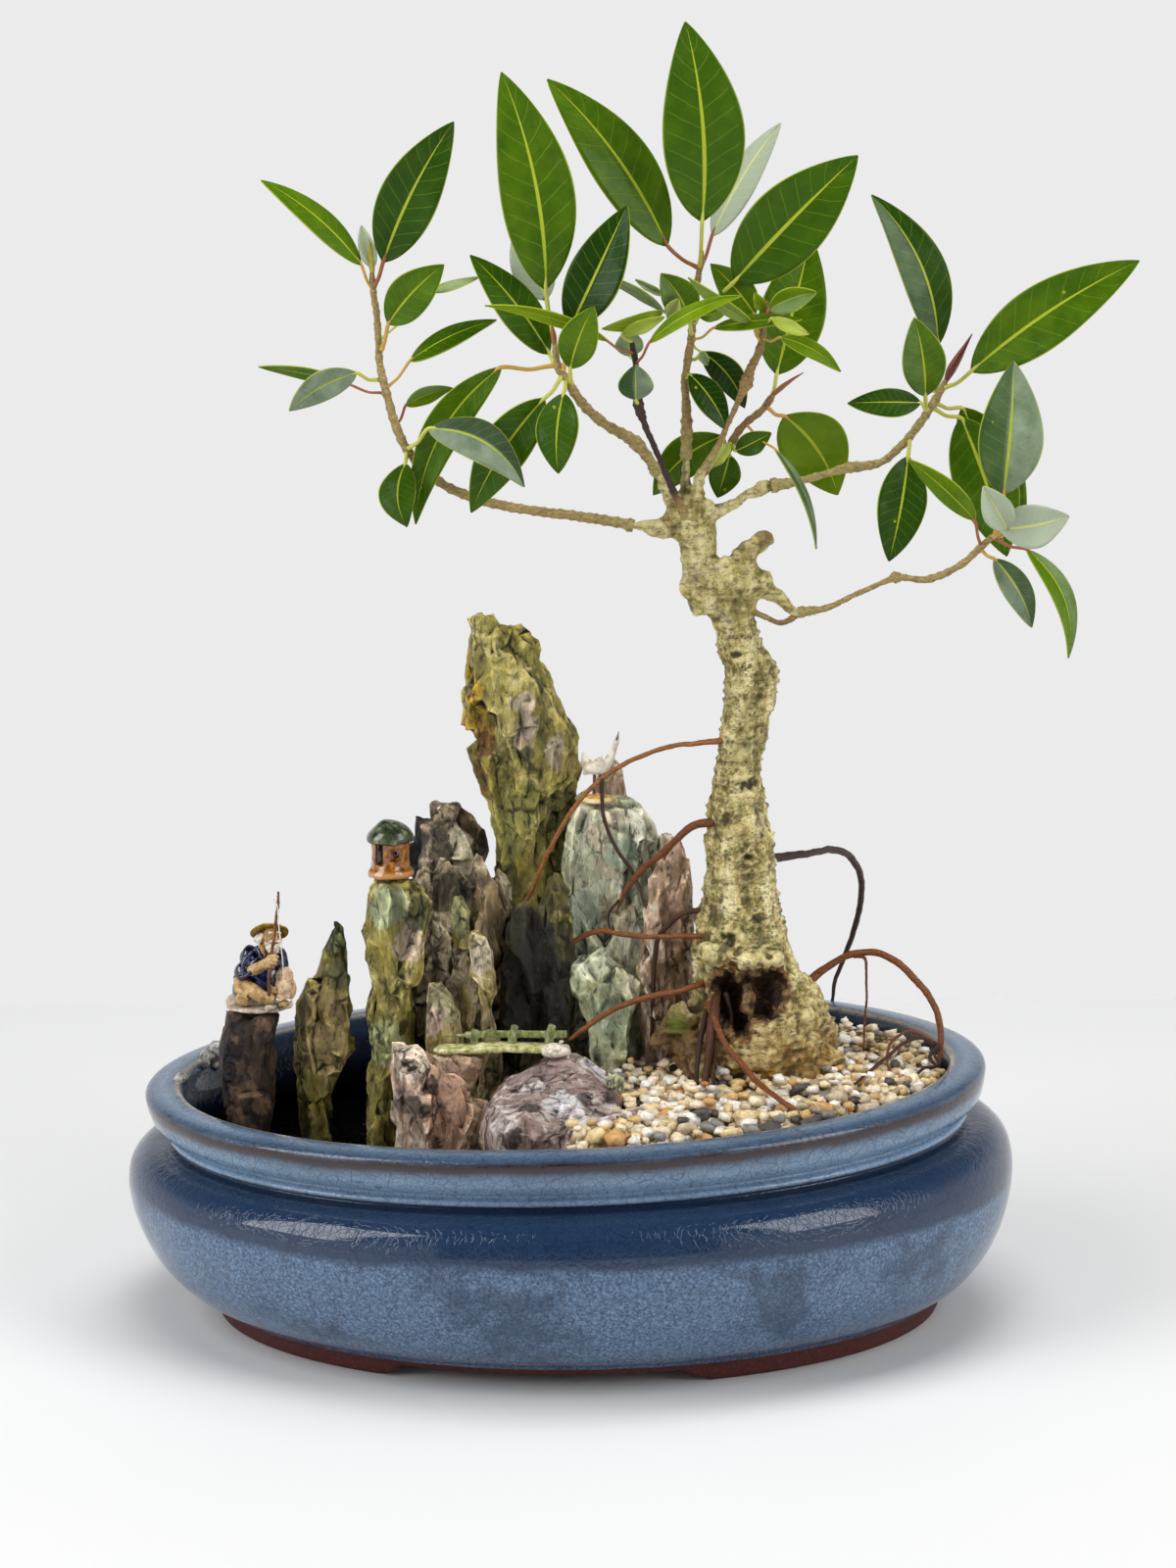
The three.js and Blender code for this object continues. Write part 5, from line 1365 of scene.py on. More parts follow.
fine = add(tree, "TexNoise", {"Vector": spot, "Scale": scale_of(1.2), "Detail": 3}).outputs["Fac"]
aged = add(tree, "Math", {0: mottle, 1: 0.3, 2: age}, operation="MULTIPLY_ADD").outputs[0]
tone = add(
    tree, "ValToRGB", {"Fac": aged},
    stops=[
        (0.12, "#0d2600"), (1, "#a8b455"), (0.3, "#1d3d00"), (0.5, "#395a00"), (0.66, "#5a7800"),
        (0.82, "#7c9410"),
    ],
).outputs["Color"]
slant = add(tree, "Math", {0: from_rib, 1: -0.24, 2: parts["Y"]}, operation="MULTIPLY_ADD").outputs[0]
waved = add(tree, "Math", {0: mottle, 1: 0.03, 2: slant}, operation="MULTIPLY_ADD").outputs[0]
counted = add(tree, "Math", {0: waved, 1: SIDE_VEINS}, operation="MULTIPLY").outputs[0]
beat = add(tree, "Math", {0: counted, 1: 1}, operation="PINGPONG").outputs[0]
side_vein = add(tree, "MapRange", {"Value": beat, "From Min": 0.1, "From Max": 0.02}).outputs[0]
within = add(tree, "MapRange", {"Value": from_rib, "From Min": 0.47, "From Max": 0.42}).outputs[0]
side_vein = add(tree, "Math", {0: side_vein, 1: within}, operation="MULTIPLY").outputs[0]
rib_width = add(tree, "MapRange", {"Value": parts["Y"], "To Min": 0.036, "To Max": 0.012}).outputs[0]
rib_ratio = add(tree, "Math", {0: from_rib, 1: rib_width}, operation="DIVIDE").outputs[0]
rib = add(
    tree, "MapRange", {"Value": rib_ratio, "From Min": 1.1, "From Max": 0.7, "To Max": 0.95}
).outputs[0]
margin = add(
    tree, "MapRange", {"Value": from_rib, "From Min": 0.482, "From Max": 0.494, "To Max": 0.7}
).outputs[0]
lines = add(tree, "Math", {0: rib, 1: margin}, operation="MAXIMUM").outputs[0]
sheen = add(tree, "Math", {0: sky_sheen, 1: mottle}, operation="MULTIPLY").outputs[0]
dots = add(tree, "TexVoronoi", {"Vector": spot, "Scale": scale_of(11)}).outputs["Distance"]
for tint, source, start, full, share in (
    ("#7f9a20", side_vein, 0, 1, 0.3), ("#96a58c", sheen, 0, 0.62, 0.9), ("#a8b430", lines, 0, 1, 1),
    ("#98a810", dots, 0.07, 0.045, 0.8),
):
    tone = stained(tree, tone, tint, source, start, full, share)
raised = fine
for source, depth in ((side_vein, -0.6), (rib, -1.5), (mottle, 2.5)):
    raised = add(tree, "Math", {0: source, 1: depth, 2: raised}, operation="MULTIPLY_ADD").outputs[0]
surfaced(tree, shader, tone, raised, 0.35, 0.0006)

# Underside of the same leaf: no wax, pale grey-green, with raised veins, and a painted pale sheen of the sky
# on those marked for it
leaf_under, tree, shader = material("pale_leaf_underside", {"Roughness": 0.5})
spot = add(tree, "TexCoord").outputs["Object"]
over = add(tree, "UVMap", uv_map="blade").outputs["UV"]
parts = add(tree, "SeparateXYZ", {"Vector": over}).outputs
age = add(tree, "Attribute", attribute_name="age").outputs["Fac"]
sky_sheen = add(tree, "Attribute", attribute_name="sky_sheen").outputs["Fac"]
from_rib = add(tree, "Math", {0: parts["X"], 1: 0.5}, operation="SUBTRACT").outputs[0]
from_rib = add(tree, "Math", {0: from_rib}, operation="ABSOLUTE").outputs[0]
mottle = add(
    tree, "TexNoise", {"Vector": spot, "Scale": scale_of(5), "Detail": 5, "Roughness": 0.6}
).outputs["Fac"]
aged = add(tree, "Math", {0: mottle, 1: 0.3, 2: age}, operation="MULTIPLY_ADD").outputs[0]
tone = add(
    tree, "ValToRGB", {"Fac": aged},
    stops=[(0.15, "#3d5714"), (1, "#b0bd6c"), (0.5, "#627d24"), (0.75, "#869c3c")],
).outputs["Color"]
slant = add(tree, "Math", {0: from_rib, 1: -0.24, 2: parts["Y"]}, operation="MULTIPLY_ADD").outputs[0]
counted = add(tree, "Math", {0: slant, 1: SIDE_VEINS}, operation="MULTIPLY").outputs[0]
beat = add(tree, "Math", {0: counted, 1: 1}, operation="PINGPONG").outputs[0]
side_vein = add(
    tree, "MapRange", {"Value": beat, "From Min": 0.14, "From Max": 0.03, "To Max": 0.4}
).outputs[0]
rib = add(
    tree, "MapRange", {"Value": from_rib, "From Min": 0.045, "From Max": 0.025, "To Max": 0.9}
).outputs[0]
lines = add(tree, "Math", {0: side_vein, 1: rib}, operation="MAXIMUM").outputs[0]
tone = stained(tree, tone, "#a9b4a0", sky_sheen, 0, 1, 0.85)
tone = stained(tree, tone, "#ccd07e", lines, 0, 1)
surfaced(tree, shader, tone, lines, 0.5, 0.0004)

# Leaf stalk and bud skin: smooth and waxy, from yellow-green to orange and red-brown
stalk_skin, tree, shader = material("waxy_leaf_stalk", {"Roughness": 0.4, "Coat Weight": 0.3})
spot = add(tree, "TexCoord").outputs["Object"]
age = add(tree, "Attribute", attribute_name="age").outputs["Fac"]
mottle = add(tree, "TexNoise", {"Vector": spot, "Scale": scale_of(2.5), "Detail": 4}).outputs["Fac"]
aged = add(tree, "Math", {0: mottle, 1: 0.16, 2: age}, operation="MULTIPLY_ADD").outputs[0]
tone = add(
    tree, "ValToRGB", {"Fac": aged},
    stops=[
        (0.05, "#a3b83c"), (1, "#6d2b20"), (0.3, "#bfc04a"), (0.5, "#c09a3c"), (0.7, "#a5692e"),
        (0.85, "#8a4a2a"),
    ],
).outputs["Color"]
surfaced(tree, shader, tone, mottle, 0.3, 0.0003)


def seen_at(x, z, depth):
    """The place at a depth that the camera sees over a point of the middle plane, all in millimetres."""
    far = depth / LENS_REACH
    return AIM_X + (x - AIM_X) * (1 + far), depth, z - far * (LENS_HEIGHT - z)


def leaf_of(joint, base, tip, half, age, sky_sheen, stalk_age, sway=0, twist=0, cup=1.5, arch=3,
            below=False, rows=BLADE_ROWS, columns=BLADE_COLUMNS, seed=0):
    """A blade from base to tip with its stalk from the joint, as one mesh. below shows its underside."""
    foot, end, start = Vector(base), Vector(tip), Vector(joint)
    along = (end - foot).normalized()
    front = Vector((0, -1, 0))
    side = along.cross(front).normalized()

    def blade_point(across, t):
        bow = 4 * t * (1 - t)
        share = math.sin(math.pi * min(max(t, 0.004), 0.997) ** 0.8) ** 0.8
        centre = foot.lerp(end, t) + side * sway * bow + front * arch * bow
        fold = (cup + 0.6) * abs(across) ** 1.3 + twist * across
        ripple = EDGE_WAVE * abs(across) ** 2 * math.sin(t * 11 + seed * 2.1 + 1.6 * across) * share
        quilt = -0.28 * math.exp(-((across / 0.07) ** 2))
        return centre + side * half * across * share + front * (fold * share + ripple + quilt)

    bm = bmesh.new()
    bm.loops.layers.uv.new("blade")
    ages = bm.verts.layers.float.new("age")
    sky_sheens = bm.verts.layers.float.new("sky_sheen")
    bmesh.ops.create_grid(bm, x_segments=columns, y_segments=rows, size=0.5, calc_uvs=True)
    for vert in bm.verts:
        across, t = vert.co.x * 2, vert.co.y + 0.5
        vert[ages] = age
        vert[sky_sheens] = sky_sheen[0] if across < -0.02 else sky_sheen[1]
        vert.co = at(*blade_point(across, t))
    for face in bm.faces:
        face.smooth = True
    sheet = bpy.data.meshes.new("blade")
    bm.to_mesh(sheet)
    bm.free()
    thickened = dict(
        thickness=BLADE_THICKNESS * MM, offset=-1, material_offset=1, material_offset_rim=1
    )
    solid = reshaped(sheet, ("SOLIDIFY", thickened))
    bm = bmesh.new()
    bm.from_mesh(solid)
    if below:
        for face in bm.faces:
            face.material_index = 1 - face.material_index
    blade_faces = len(bm.faces)
    reach = (foot - start).length
    bend = start.lerp(foot, 0.5) + Vector((0, 0, -STALK_SAG)) * min(reach / 9, 1)
    rib = [blade_point(0, t) - front * (BLADE_THICKNESS + 0.12) for t in (0.06, 0.25, 0.45, 0.65, 0.85)]
    thick = min(1, 0.45 + half / 12) * STALK_RADIUS
    line = [
        (*start, thick * 1.25), (*start.lerp(bend, 0.5), thick), (*bend, thick * 0.92),
        (*foot, thick * 0.95),
        *((*place, thick * size) for place, size in zip(rib, (0.8, 0.6, 0.45, 0.32, 0.15))),
    ]
    add_stalk(bm, smooth_line(line, 1.6), 8, age=stalk_age)
    bm.faces.ensure_lookup_table()
    for face in bm.faces[blade_faces:]:
        face.material_index = 2
        face.smooth = True
    ready = bpy.data.meshes.new("leaf")
    bm.to_mesh(ready)
    bm.free()
    return ready


# how ripe the skin of a stalk is
GREEN = 0.05
YELLOW = 0.22
ORANGE = 0.45
BROWN = 0.7
# how much painted reflection of the sky the wax shows on the left and on the right half
DULL = (0, 0)
GREY = (0.8, 0.8)
PALE = (1, 1)
# joint, base, tip, half width, age, painted sky sheen left and right, stalk colour, bends
big_leaves = {
    "left_narrow": (
        (-71, -3, 380), (-75, -5, 389.5), (-109.5, -12, 420), 4, 0.42, DULL, ORANGE, dict(sway=3, twist=-7)
    ),
    "left_broad": (
        (-70.7, -3, 381), (-67, -6, 390.5), (-41, -14, 440), 10.5, 0.22, DULL, BROWN, dict(sway=-2)
    ),
    "left_mid": (
        (-68.1, -5.3, 359), (-65.5, -9, 368.5), (-45, -16, 390), 7.5, 0.4, DULL, ORANGE, dict(sway=-1.5)
    ),
    "left_strap": (
        (-67, -6, 345), (-58, -4, 355), (-27, 6, 368.5), 3.5, 0.34, DULL, ORANGE, dict(sway=-2, twist=4)
    ),
    "left_grey": (
        (-68.7, -4, 348), (-77, -12, 351.5), (-100.5, -22, 339), 5.5, 0.15, GREY, YELLOW,
        dict(sway=2, twist=4),
    ),
    "left_low": (
        (-59.5, -9, 323.5), (-60, -14, 319), (-59.5, -17, 296.5), 6.5, 0.3, DULL, YELLOW,
        dict(sway=3, twist=2),
    ),
    "left_gloss": (
        (-59.5, -9, 323.5), (-51, -22, 332.5), (-17, -31, 312.5), 7, 0.05, (0.15, 0.75), YELLOW,
        dict(sway=-6.5, twist=3),
    ),
    "hang_long": (
        (-4.5, -13, 354), (-25.5, -12, 353), (-56.5, -14, 297), 7, 0.38, DULL, ORANGE,
        dict(sway=7.5, arch=-1),
    ),
    "hang_fold": (
        (-3.5, -13, 350), (-10, -20, 342.5), (-36.5, -17, 301.5), 8.5, 0.3, DULL, YELLOW,
        dict(sway=2.5, cup=3),
    ),
    "hang_short": (
        (-2, -13, 348.5), (-3, -20, 344.5), (-5, -26, 316.5), 7.5, 0.28, DULL, YELLOW, dict(sway=1.5)
    ),
    "a_small": (
        (0, -12.5, 346.5), (-0.5, -22, 353.5), (8, -30, 376), 6.8, 0.42, DULL, YELLOW, dict(sway=-1)
    ),
    "a_left": (
        (-4.5, -13, 352.5), (-8, -8, 357.5), (-36, -4, 392.5), 7, 0.28, DULL, YELLOW, dict(sway=2, twist=-4)
    ),
    "a_tall": ((-6, -13, 361), (-9, -12, 381), (-24, -10, 457), 13.2, 0.38, DULL, YELLOW, dict(sway=4)),
    "a_dark": (
        (-3, -14.6, 352), (-0.5, -18, 367.5), (20, -20, 410.5), 9.5, 0.12, DULL, ORANGE, dict(twist=3)
    ),
    "c_left": (
        (46.3, 3, 386.5), (34.5, 4, 395), (-8, 8, 454), 11, 0.4, DULL, BROWN, dict(sway=4, twist=-3)
    ),
    "c_top": ((46.3, 3, 387), (47, -3, 404), (41, -8, 474), 14.6, 0.34, DULL, YELLOW, dict(sway=3, arch=4)),
    "c_pale": (
        (46.3, 3, 386), (51, 11, 398), (76, 20, 437.5), 5.5, 0.5, PALE, BROWN,
        dict(sway=-1.5, twist=6, arch=-2, below=True),
    ),
    "d_right": (
        (44.3, 2.6, 371.5), (58.5, -4, 382.5), (102, -10, 427), 13.8, 0.32, DULL, YELLOW, dict(sway=-1)
    ),
    "e_back": ((72.5, 9, 339.5), (74.5, 13, 347.5), (87.5, 26, 396.5), 12, 0.38, DULL, YELLOW, dict()),
    "c_olive": (
        (43.3, 2, 363), (42.5, -4, 368.5), (32, -12, 386), 6.6, 0.44, (0.25, 0), YELLOW, dict(sway=1.5)
    ),
    "c_dark": (
        (42, 1.6, 354), (47.5, 8, 356), (63, 18, 334.5), 5.5, 0.1, DULL, GREEN, dict(sway=-2.5, twist=-3)
    ),
    "low_mid": (
        (57, 6.2, 321.5), (54.5, 12, 325), (29.5, 20, 302.5), 7.5, 0.4, DULL, YELLOW, dict(sway=3.5)
    ),
    "right_round": (
        (70.5, 8, 336.3), (77.5, 13, 332), (97, 14, 303), 12.2, 0.52, DULL, ORANGE, dict(sway=-3, arch=-3),
    ),
    "f_left": (
        (131.6, 6.8, 341), (133, 12, 357.5), (108.5, 12, 412), 8.6, 0.2, (0.3, 0), ORANGE,
        dict(sway=6, twist=-4),
    ),
    "f_mid": (
        (128.5, 5, 334), (127.5, -1, 340.5), (122.5, -10, 369.5), 7.8, 0.4, (0.15, 0), YELLOW,
        dict(sway=1, arch=2),
    ),
    "f_right": (
        (134, 5, 342.5), (144, -1, 349.5), (203, -6, 389), 11.2, 0.38, DULL, YELLOW, dict(sway=-3, twist=2)
    ),
    "f_hang": ((130, 5, 336), (141, 3, 332), (158, 2, 281.5), 11.5, 0.36, DULL, YELLOW, dict(sway=-1)),
    "f_low": (
        (122.5, 5, 325.5), (121.5, 0, 318.5), (114.5, -5, 281), 8.8, 0.2, DULL, YELLOW, dict(sway=-0.5)
    ),
    "g_up": (
        (152, -14, 292), (154.5, -17, 307), (158, -12, 354), 11.5, 0.25, (0.12, 0.85), ORANGE,
        dict(sway=0.5, cup=3),
    ),
    "g_strap": (
        (147, -14, 287.5), (144, -20, 298), (119.5, -24, 320.5), 4.2, 0.5, DULL, BROWN,
        dict(sway=1, twist=4),
    ),
    "g_curl": (
        (151, -14, 291), (152.5, -24, 295.5), (176, -34, 301), 8, 0.4, PALE, ORANGE,
        dict(sway=1.5, arch=-2, below=True),
    ),
    "g_small": (
        (146.5, -14, 287), (151.5, -17, 283.5), (165, -21, 259), 5.2, 0.1, (0.2, 0.55), ORANGE,
        dict(sway=-2, twist=2),
    ),
    "g_long": (
        (151, -14, 291), (163.5, -15, 286.5), (178.5, -20, 247.5), 4, 0.45, (0.3, 0), BROWN,
        dict(sway=-6, twist=4),
    ),
}
for number, (name, (*shape, bends)) in enumerate(big_leaves.items()):
    blade = leaf_of(*shape, seed=number, **bends)
    leaf = link("blade_" + name, blade, leaf_top, leaf_under, stalk_skin)
    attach(leaf, "root")
    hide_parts("leaf_" + name)

# joint; base and tip as the camera sees them, with a depth; half width; age; painted sky sheen; stalk; bends
small_leaves = {
    "tuft_far_left": [
        ((-71, -3, 386), (-71, 388, -3), (-75, 403, 4), 2.8, 0.75, PALE, YELLOW, dict(cup=3, below=True)),
        ((-69.3, -3.4, 362), (-51, 379.5, -9), (-33, 384.5, -4), 1.3, 0.7, GREY, GREEN, dict(twist=5)),
        (
            (-66.5, -6.3, 343.5), (-80, 346, -3), (-113, 352.5, 6), 2.5, 0.4, DULL, BROWN,
            dict(sway=1, twist=3),
        ),
        ((-63.3, -8, 332), (-60, 338.5, -3), (-43, 344.5, 3), 3, 0.5, (0.3, 0), BROWN, dict(sway=-1)),
    ],
    "tuft_left": [
        ((-6, -12.6, 361), (-9, 376, 0), (-20, 402, 8), 7.5, 0.4, PALE, GREEN, dict(below=True)),
    ],
    "tuft_dark_twig": [
        (
            (21.8, -13.8, 358), (13, 361, -17), (-31, 374, -24), 2.4, 0.64, DULL, BROWN,
            dict(sway=2.4, twist=1.5),
        ),
        (
            (22.8, -13, 354), (28, 360.5, -21), (61, 377, -27), 2.6, 0.56, DULL, BROWN,
            dict(sway=-3, twist=2),
        ),
        ((24, -15, 340), (23, 339.8, -18), (23, 352.5, -21), 6.2, 0.12, (0.1, 0.8), GREEN, dict(cup=2)),
        ((22, -13.4, 357), (21, 355.5, -9), (20.5, 365.5, -6), 5, 0.5, GREY, GREEN, dict()),
        ((21.5, -14, 362), (18, 363.5, -17), (33.5, 369.5, -20), 2.3, 0.78, DULL, YELLOW, dict()),
    ],
    "tuft_middle": [
        (
            (44.1, 2.4, 370), (33, 371.5, -7), (9.5, 384.5, -12), 1.9, 0.6, GREY, YELLOW,
            dict(sway=1.5, twist=2),
        ),
        ((44.5, 2.8, 374), (33, 377.5, 3), (23, 383, 5), 1.2, 0.6, GREY, YELLOW, dict()),
        ((44.1, 2.4, 370), (33, 371.5, -11), (11, 365.5, -16), 2.6, 0.68, DULL, YELLOW, dict(sway=-1)),
        ((44, 2.4, 369), (34.5, 369.5, -9), (38.5, 376, -13), 2.5, 0.85, (0.5, 0.3), YELLOW, dict(cup=3)),
        (
            (43, 2, 361), (51, 365.5, -9), (83, 368.5, -16), 2.4, 0.45, DULL, ORANGE,
            dict(sway=-1.2, twist=2),
        ),
        ((43.8, 2.3, 367), (46, 369.5, -7), (56, 372, -12), 2.6, 0.5, DULL, YELLOW, dict()),
        (
            (41, 1, 347.5), (42.5, 349, -3), (56, 328.5, -8), 5.2, 0.12, DULL, GREEN,
            dict(sway=-1.5, twist=2),
        ),
        ((43, 2, 360.5), (46.5, 357, 2), (49, 352, 3), 1.6, 0.6, GREY, YELLOW, dict()),
    ],
    "tuft_pale_twig": [
        (
            (67.6, -9, 361.5), (65, 367, -13), (42, 383.5, -19), 2.5, 0.6, (0.3, 0.2), ORANGE,
            dict(sway=-1, twist=2),
        ),
        ((67.8, -9, 362), (66, 370, -4), (50, 388.5, 2), 6, 0.42, DULL, ORANGE, dict(sway=1)),
        ((69, -9, 367), (71, 372, -15), (88, 378, -20), 4.2, 0.52, (0, 0.3), BROWN, dict(cup=2.5, sway=-1)),
        ((68, -9, 362.5), (75, 362, -16), (97, 349.5, -20), 3, 0.52, DULL, ORANGE, dict(sway=-2, twist=1)),
        ((69, -9, 368), (72, 369, -19), (85.5, 363, -24), 2.2, 0.78, DULL, YELLOW, dict(twist=2)),
        ((69.4, -9, 370), (69, 371.5, -9), (66, 378, -12), 2, 0.6, DULL, BROWN, dict()),
    ],
    "tuft_low": [
        ((56.3, 6, 320.5), (57, 319.5, 8), (52.5, 304, 12), 5.8, 0.34, DULL, GREEN, dict()),
        ((58, 6.5, 323.5), (59, 321, 1), (72, 327.5, -2), 4.2, 0.28, DULL, GREEN, dict()),
        ((58, 6.5, 323.5), (57, 324, 3), (50.5, 315, 1), 2, 0.85, DULL, YELLOW, dict()),
        (
            (63, 7.3, 330), (73.5, 321.5, -9), (88.5, 285, -16), 1.5, 0.18, (0.6, 0.2), ORANGE,
            dict(sway=-3.5, twist=2.5),
        ),
    ],
    "tuft_right": [
        (
            (129.3, 5, 335), (126, 338, -5), (99.5, 338, -9), 5, 0.2, DULL, YELLOW,
            dict(sway=0.5, twist=-1.5),
        ),
        ((131, 5, 337.6), (141, 336, 11), (163.5, 289.5, 16), 10, 0.38, DULL, YELLOW, dict(sway=-1)),
        (
            (152, -14, 291.5), (158, 291.5, -24), (149, 307.5, -30), 5.5, 0.5, PALE, ORANGE,
            dict(cup=3, below=True),
        ),
    ],
}
for number, (name, rows) in enumerate(small_leaves.items()):
    bunch = bmesh.new()
    for order, (joint, base, tip, half, age, sky_sheen, stalk_age, bends) in enumerate(rows):
        blade = leaf_of(
            joint, seen_at(*base), seen_at(*tip), half, age, sky_sheen, stalk_age,
            seed=number * 7 + order, rows=20, columns=8, **{"arch": 1.5, "cup": 0.8, **bends},
        )
        bunch.from_mesh(blade)
    mesh = bpy.data.meshes.new(name)
    bunch.to_mesh(mesh)
    bunch.free()
    tuft = link(name, mesh, leaf_top, leaf_under, stalk_skin)
    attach(tuft, "root")

# rolled buds: places and radii of a spindle, and the colour of its skin
buds = [
    (
        0.95,
        [
            (135.5, 5, 345.5, 0.9), (137, 4.6, 349, 1.7), (139.5, 4, 353.5, 1.5), (142, 3.4, 358, 0.8),
            (144.5, 3, 362.5, 0.2),
        ],
    ),
    (0.75, [(73.2, 9, 340.5, 0.9), (76, 8.6, 343, 1), (80, 8, 346, 0.6), (84, 7.4, 348.5, 0.15)]),
    (0.3, [(-71.1, -3, 386, 0.8), (-71.3, -3, 390, 1.3), (-71.6, -3.2, 394, 0.9), (-72, -3.5, 398, 0.15)]),
    (0.3, [(152, -14, 291, 0.9), (153.4, -14.4, 293.5, 1.1), (154.6, -14.8, 296, 0.3)]),
    (0.6, [(46.3, 3, 386, 1), (46.8, 3.2, 389.5, 1.2), (47.4, 3.4, 393, 0.25)]),
    (0.7, [(-6, -13, 361, 0.9), (-6.4, -13.4, 364.5, 1.1), (-7, -13.8, 369, 0.15)]),
]
bunch = bmesh.new()
bunch.verts.layers.float.new("age")
for skin, rows in buds:
    add_stalk(bunch, smooth_line(rows, 0.8), 10, age=skin)
bud = link("rolled_buds", mesh_of(bunch), stalk_skin)
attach(bud, "root")

# The fisherman is a small clay mudman, pressed and carved by hand: the robe is glazed navy, the skin,
# trousers and straw hat are bare tan clay, hair and beard white. He sits on a whitish pad of glue.
CLAY_VOXEL = 0.34
CLAY_STEP = 0.7
HAT_STEP = 0.3
HAT_RIM = 7
RING_TURNS = 7.2


def true_place(x, z, depth):
    """A place that is already the true one."""
    return x, depth, z


def modelled(lumps, stalks, voxel=CLAY_VOXEL, place=seen_at):
    """Lumps and stalks of soft clay melted into one skin, smoothed as by a wet finger."""
    bm = bmesh.new()
    for x, y, z, *halves in lumps:
        add_lump(bm, *place(x, z, y), *halves)
    for rows in stalks:
        placed = [(*place(x, z, y), radius) for x, y, z, radius in rows]
        add_stalk(bm, smooth_line(placed, CLAY_STEP), 12)
    return reshaped(
        mesh_of(bm),
        ("REMESH", {"mode": "VOXEL", "voxel_size": voxel * MM}),
        ("SMOOTH", {"factor": 0.5, "iterations": 2}),
    )


def joined(*meshes):
    """Several meshes as one, each with the material slot of its number."""
    whole = bmesh.new()
    for number, mesh in enumerate(meshes):
        before = len(whole.faces)
        whole.from_mesh(mesh)
        whole.faces.ensure_lookup_table()
        for face in whole.faces[before:]:
            face.material_index = number
    return mesh_of(whole)


def carved(depth, size, stretch=1):
    """Shallow folds and scratches of a modelling tool, size apart."""

    def shift_of(place, normal):
        folds = noise.noise(Vector((place.x, place.y, place.z * stretch)) / size)
        return depth * folds, folds

    return shift_of


def woven_holes(place, normal):
    """Rows of pricked holes in the trousers."""
    cell = noise.voronoi(Vector((place.x, place.y, place.z * 1.2)) / 1.5)[0][0]
    hole = max(0, 1 - cell / 0.3)
    return 0.12 * noise.noise(place / 2) - 0.4 * hole, hole


robe_mesh = modelled(
    [
        (-116.2, -4.5, 130.4, 7.2, 5.4, 7.6), (-121, -5.5, 133, 4, 4.8, 5.2),
        (-123.4, -6.5, 128.2, 3.7, 4.6, 4), (-110, -5.5, 133, 3, 4.2, 4.6),
        (-108.4, -6.5, 130.6, 1.7, 3.4, 3.6), (-114.5, -6.5, 124.2, 6.4, 4.8, 6.4),
        (-120, -2.5, 121.4, 8, 6, 6.8),
    ],
    [
        [
            (-127, -7.5, 125.9, 0.7), (-124.4, -11, 126.2, 0.75), (-121.7, -12, 127.2, 0.8),
            (-119.6, -11.6, 129.4, 0.7),
        ],
        [
            (-119.8, -9.4, 136, 0.7), (-122.2, -9.8, 133.6, 0.7), (-123.8, -10.6, 130.6, 0.6),
            (-123.9, -11, 127.4, 0.5),
        ],
        [(-118, -9.6, 133.6, 0.6), (-120.2, -10.4, 131, 0.6), (-121.4, -11.2, 128, 0.5)],
        [(-118.6, -7.4, 137.6, 1.1), (-117, -9.8, 134.8, 0.9), (-115.4, -10.4, 131.2, 0.7)],
        [(-110.6, -8.6, 136, 0.8), (-109, -9.6, 133.2, 0.7), (-108.4, -9.6, 130, 0.5)],
        [(-119.4, -10.6, 126.4, 0.6), (-115.8, -11.8, 123.8, 0.6), (-112.6, -11.8, 121, 0.5)],
    ],
)
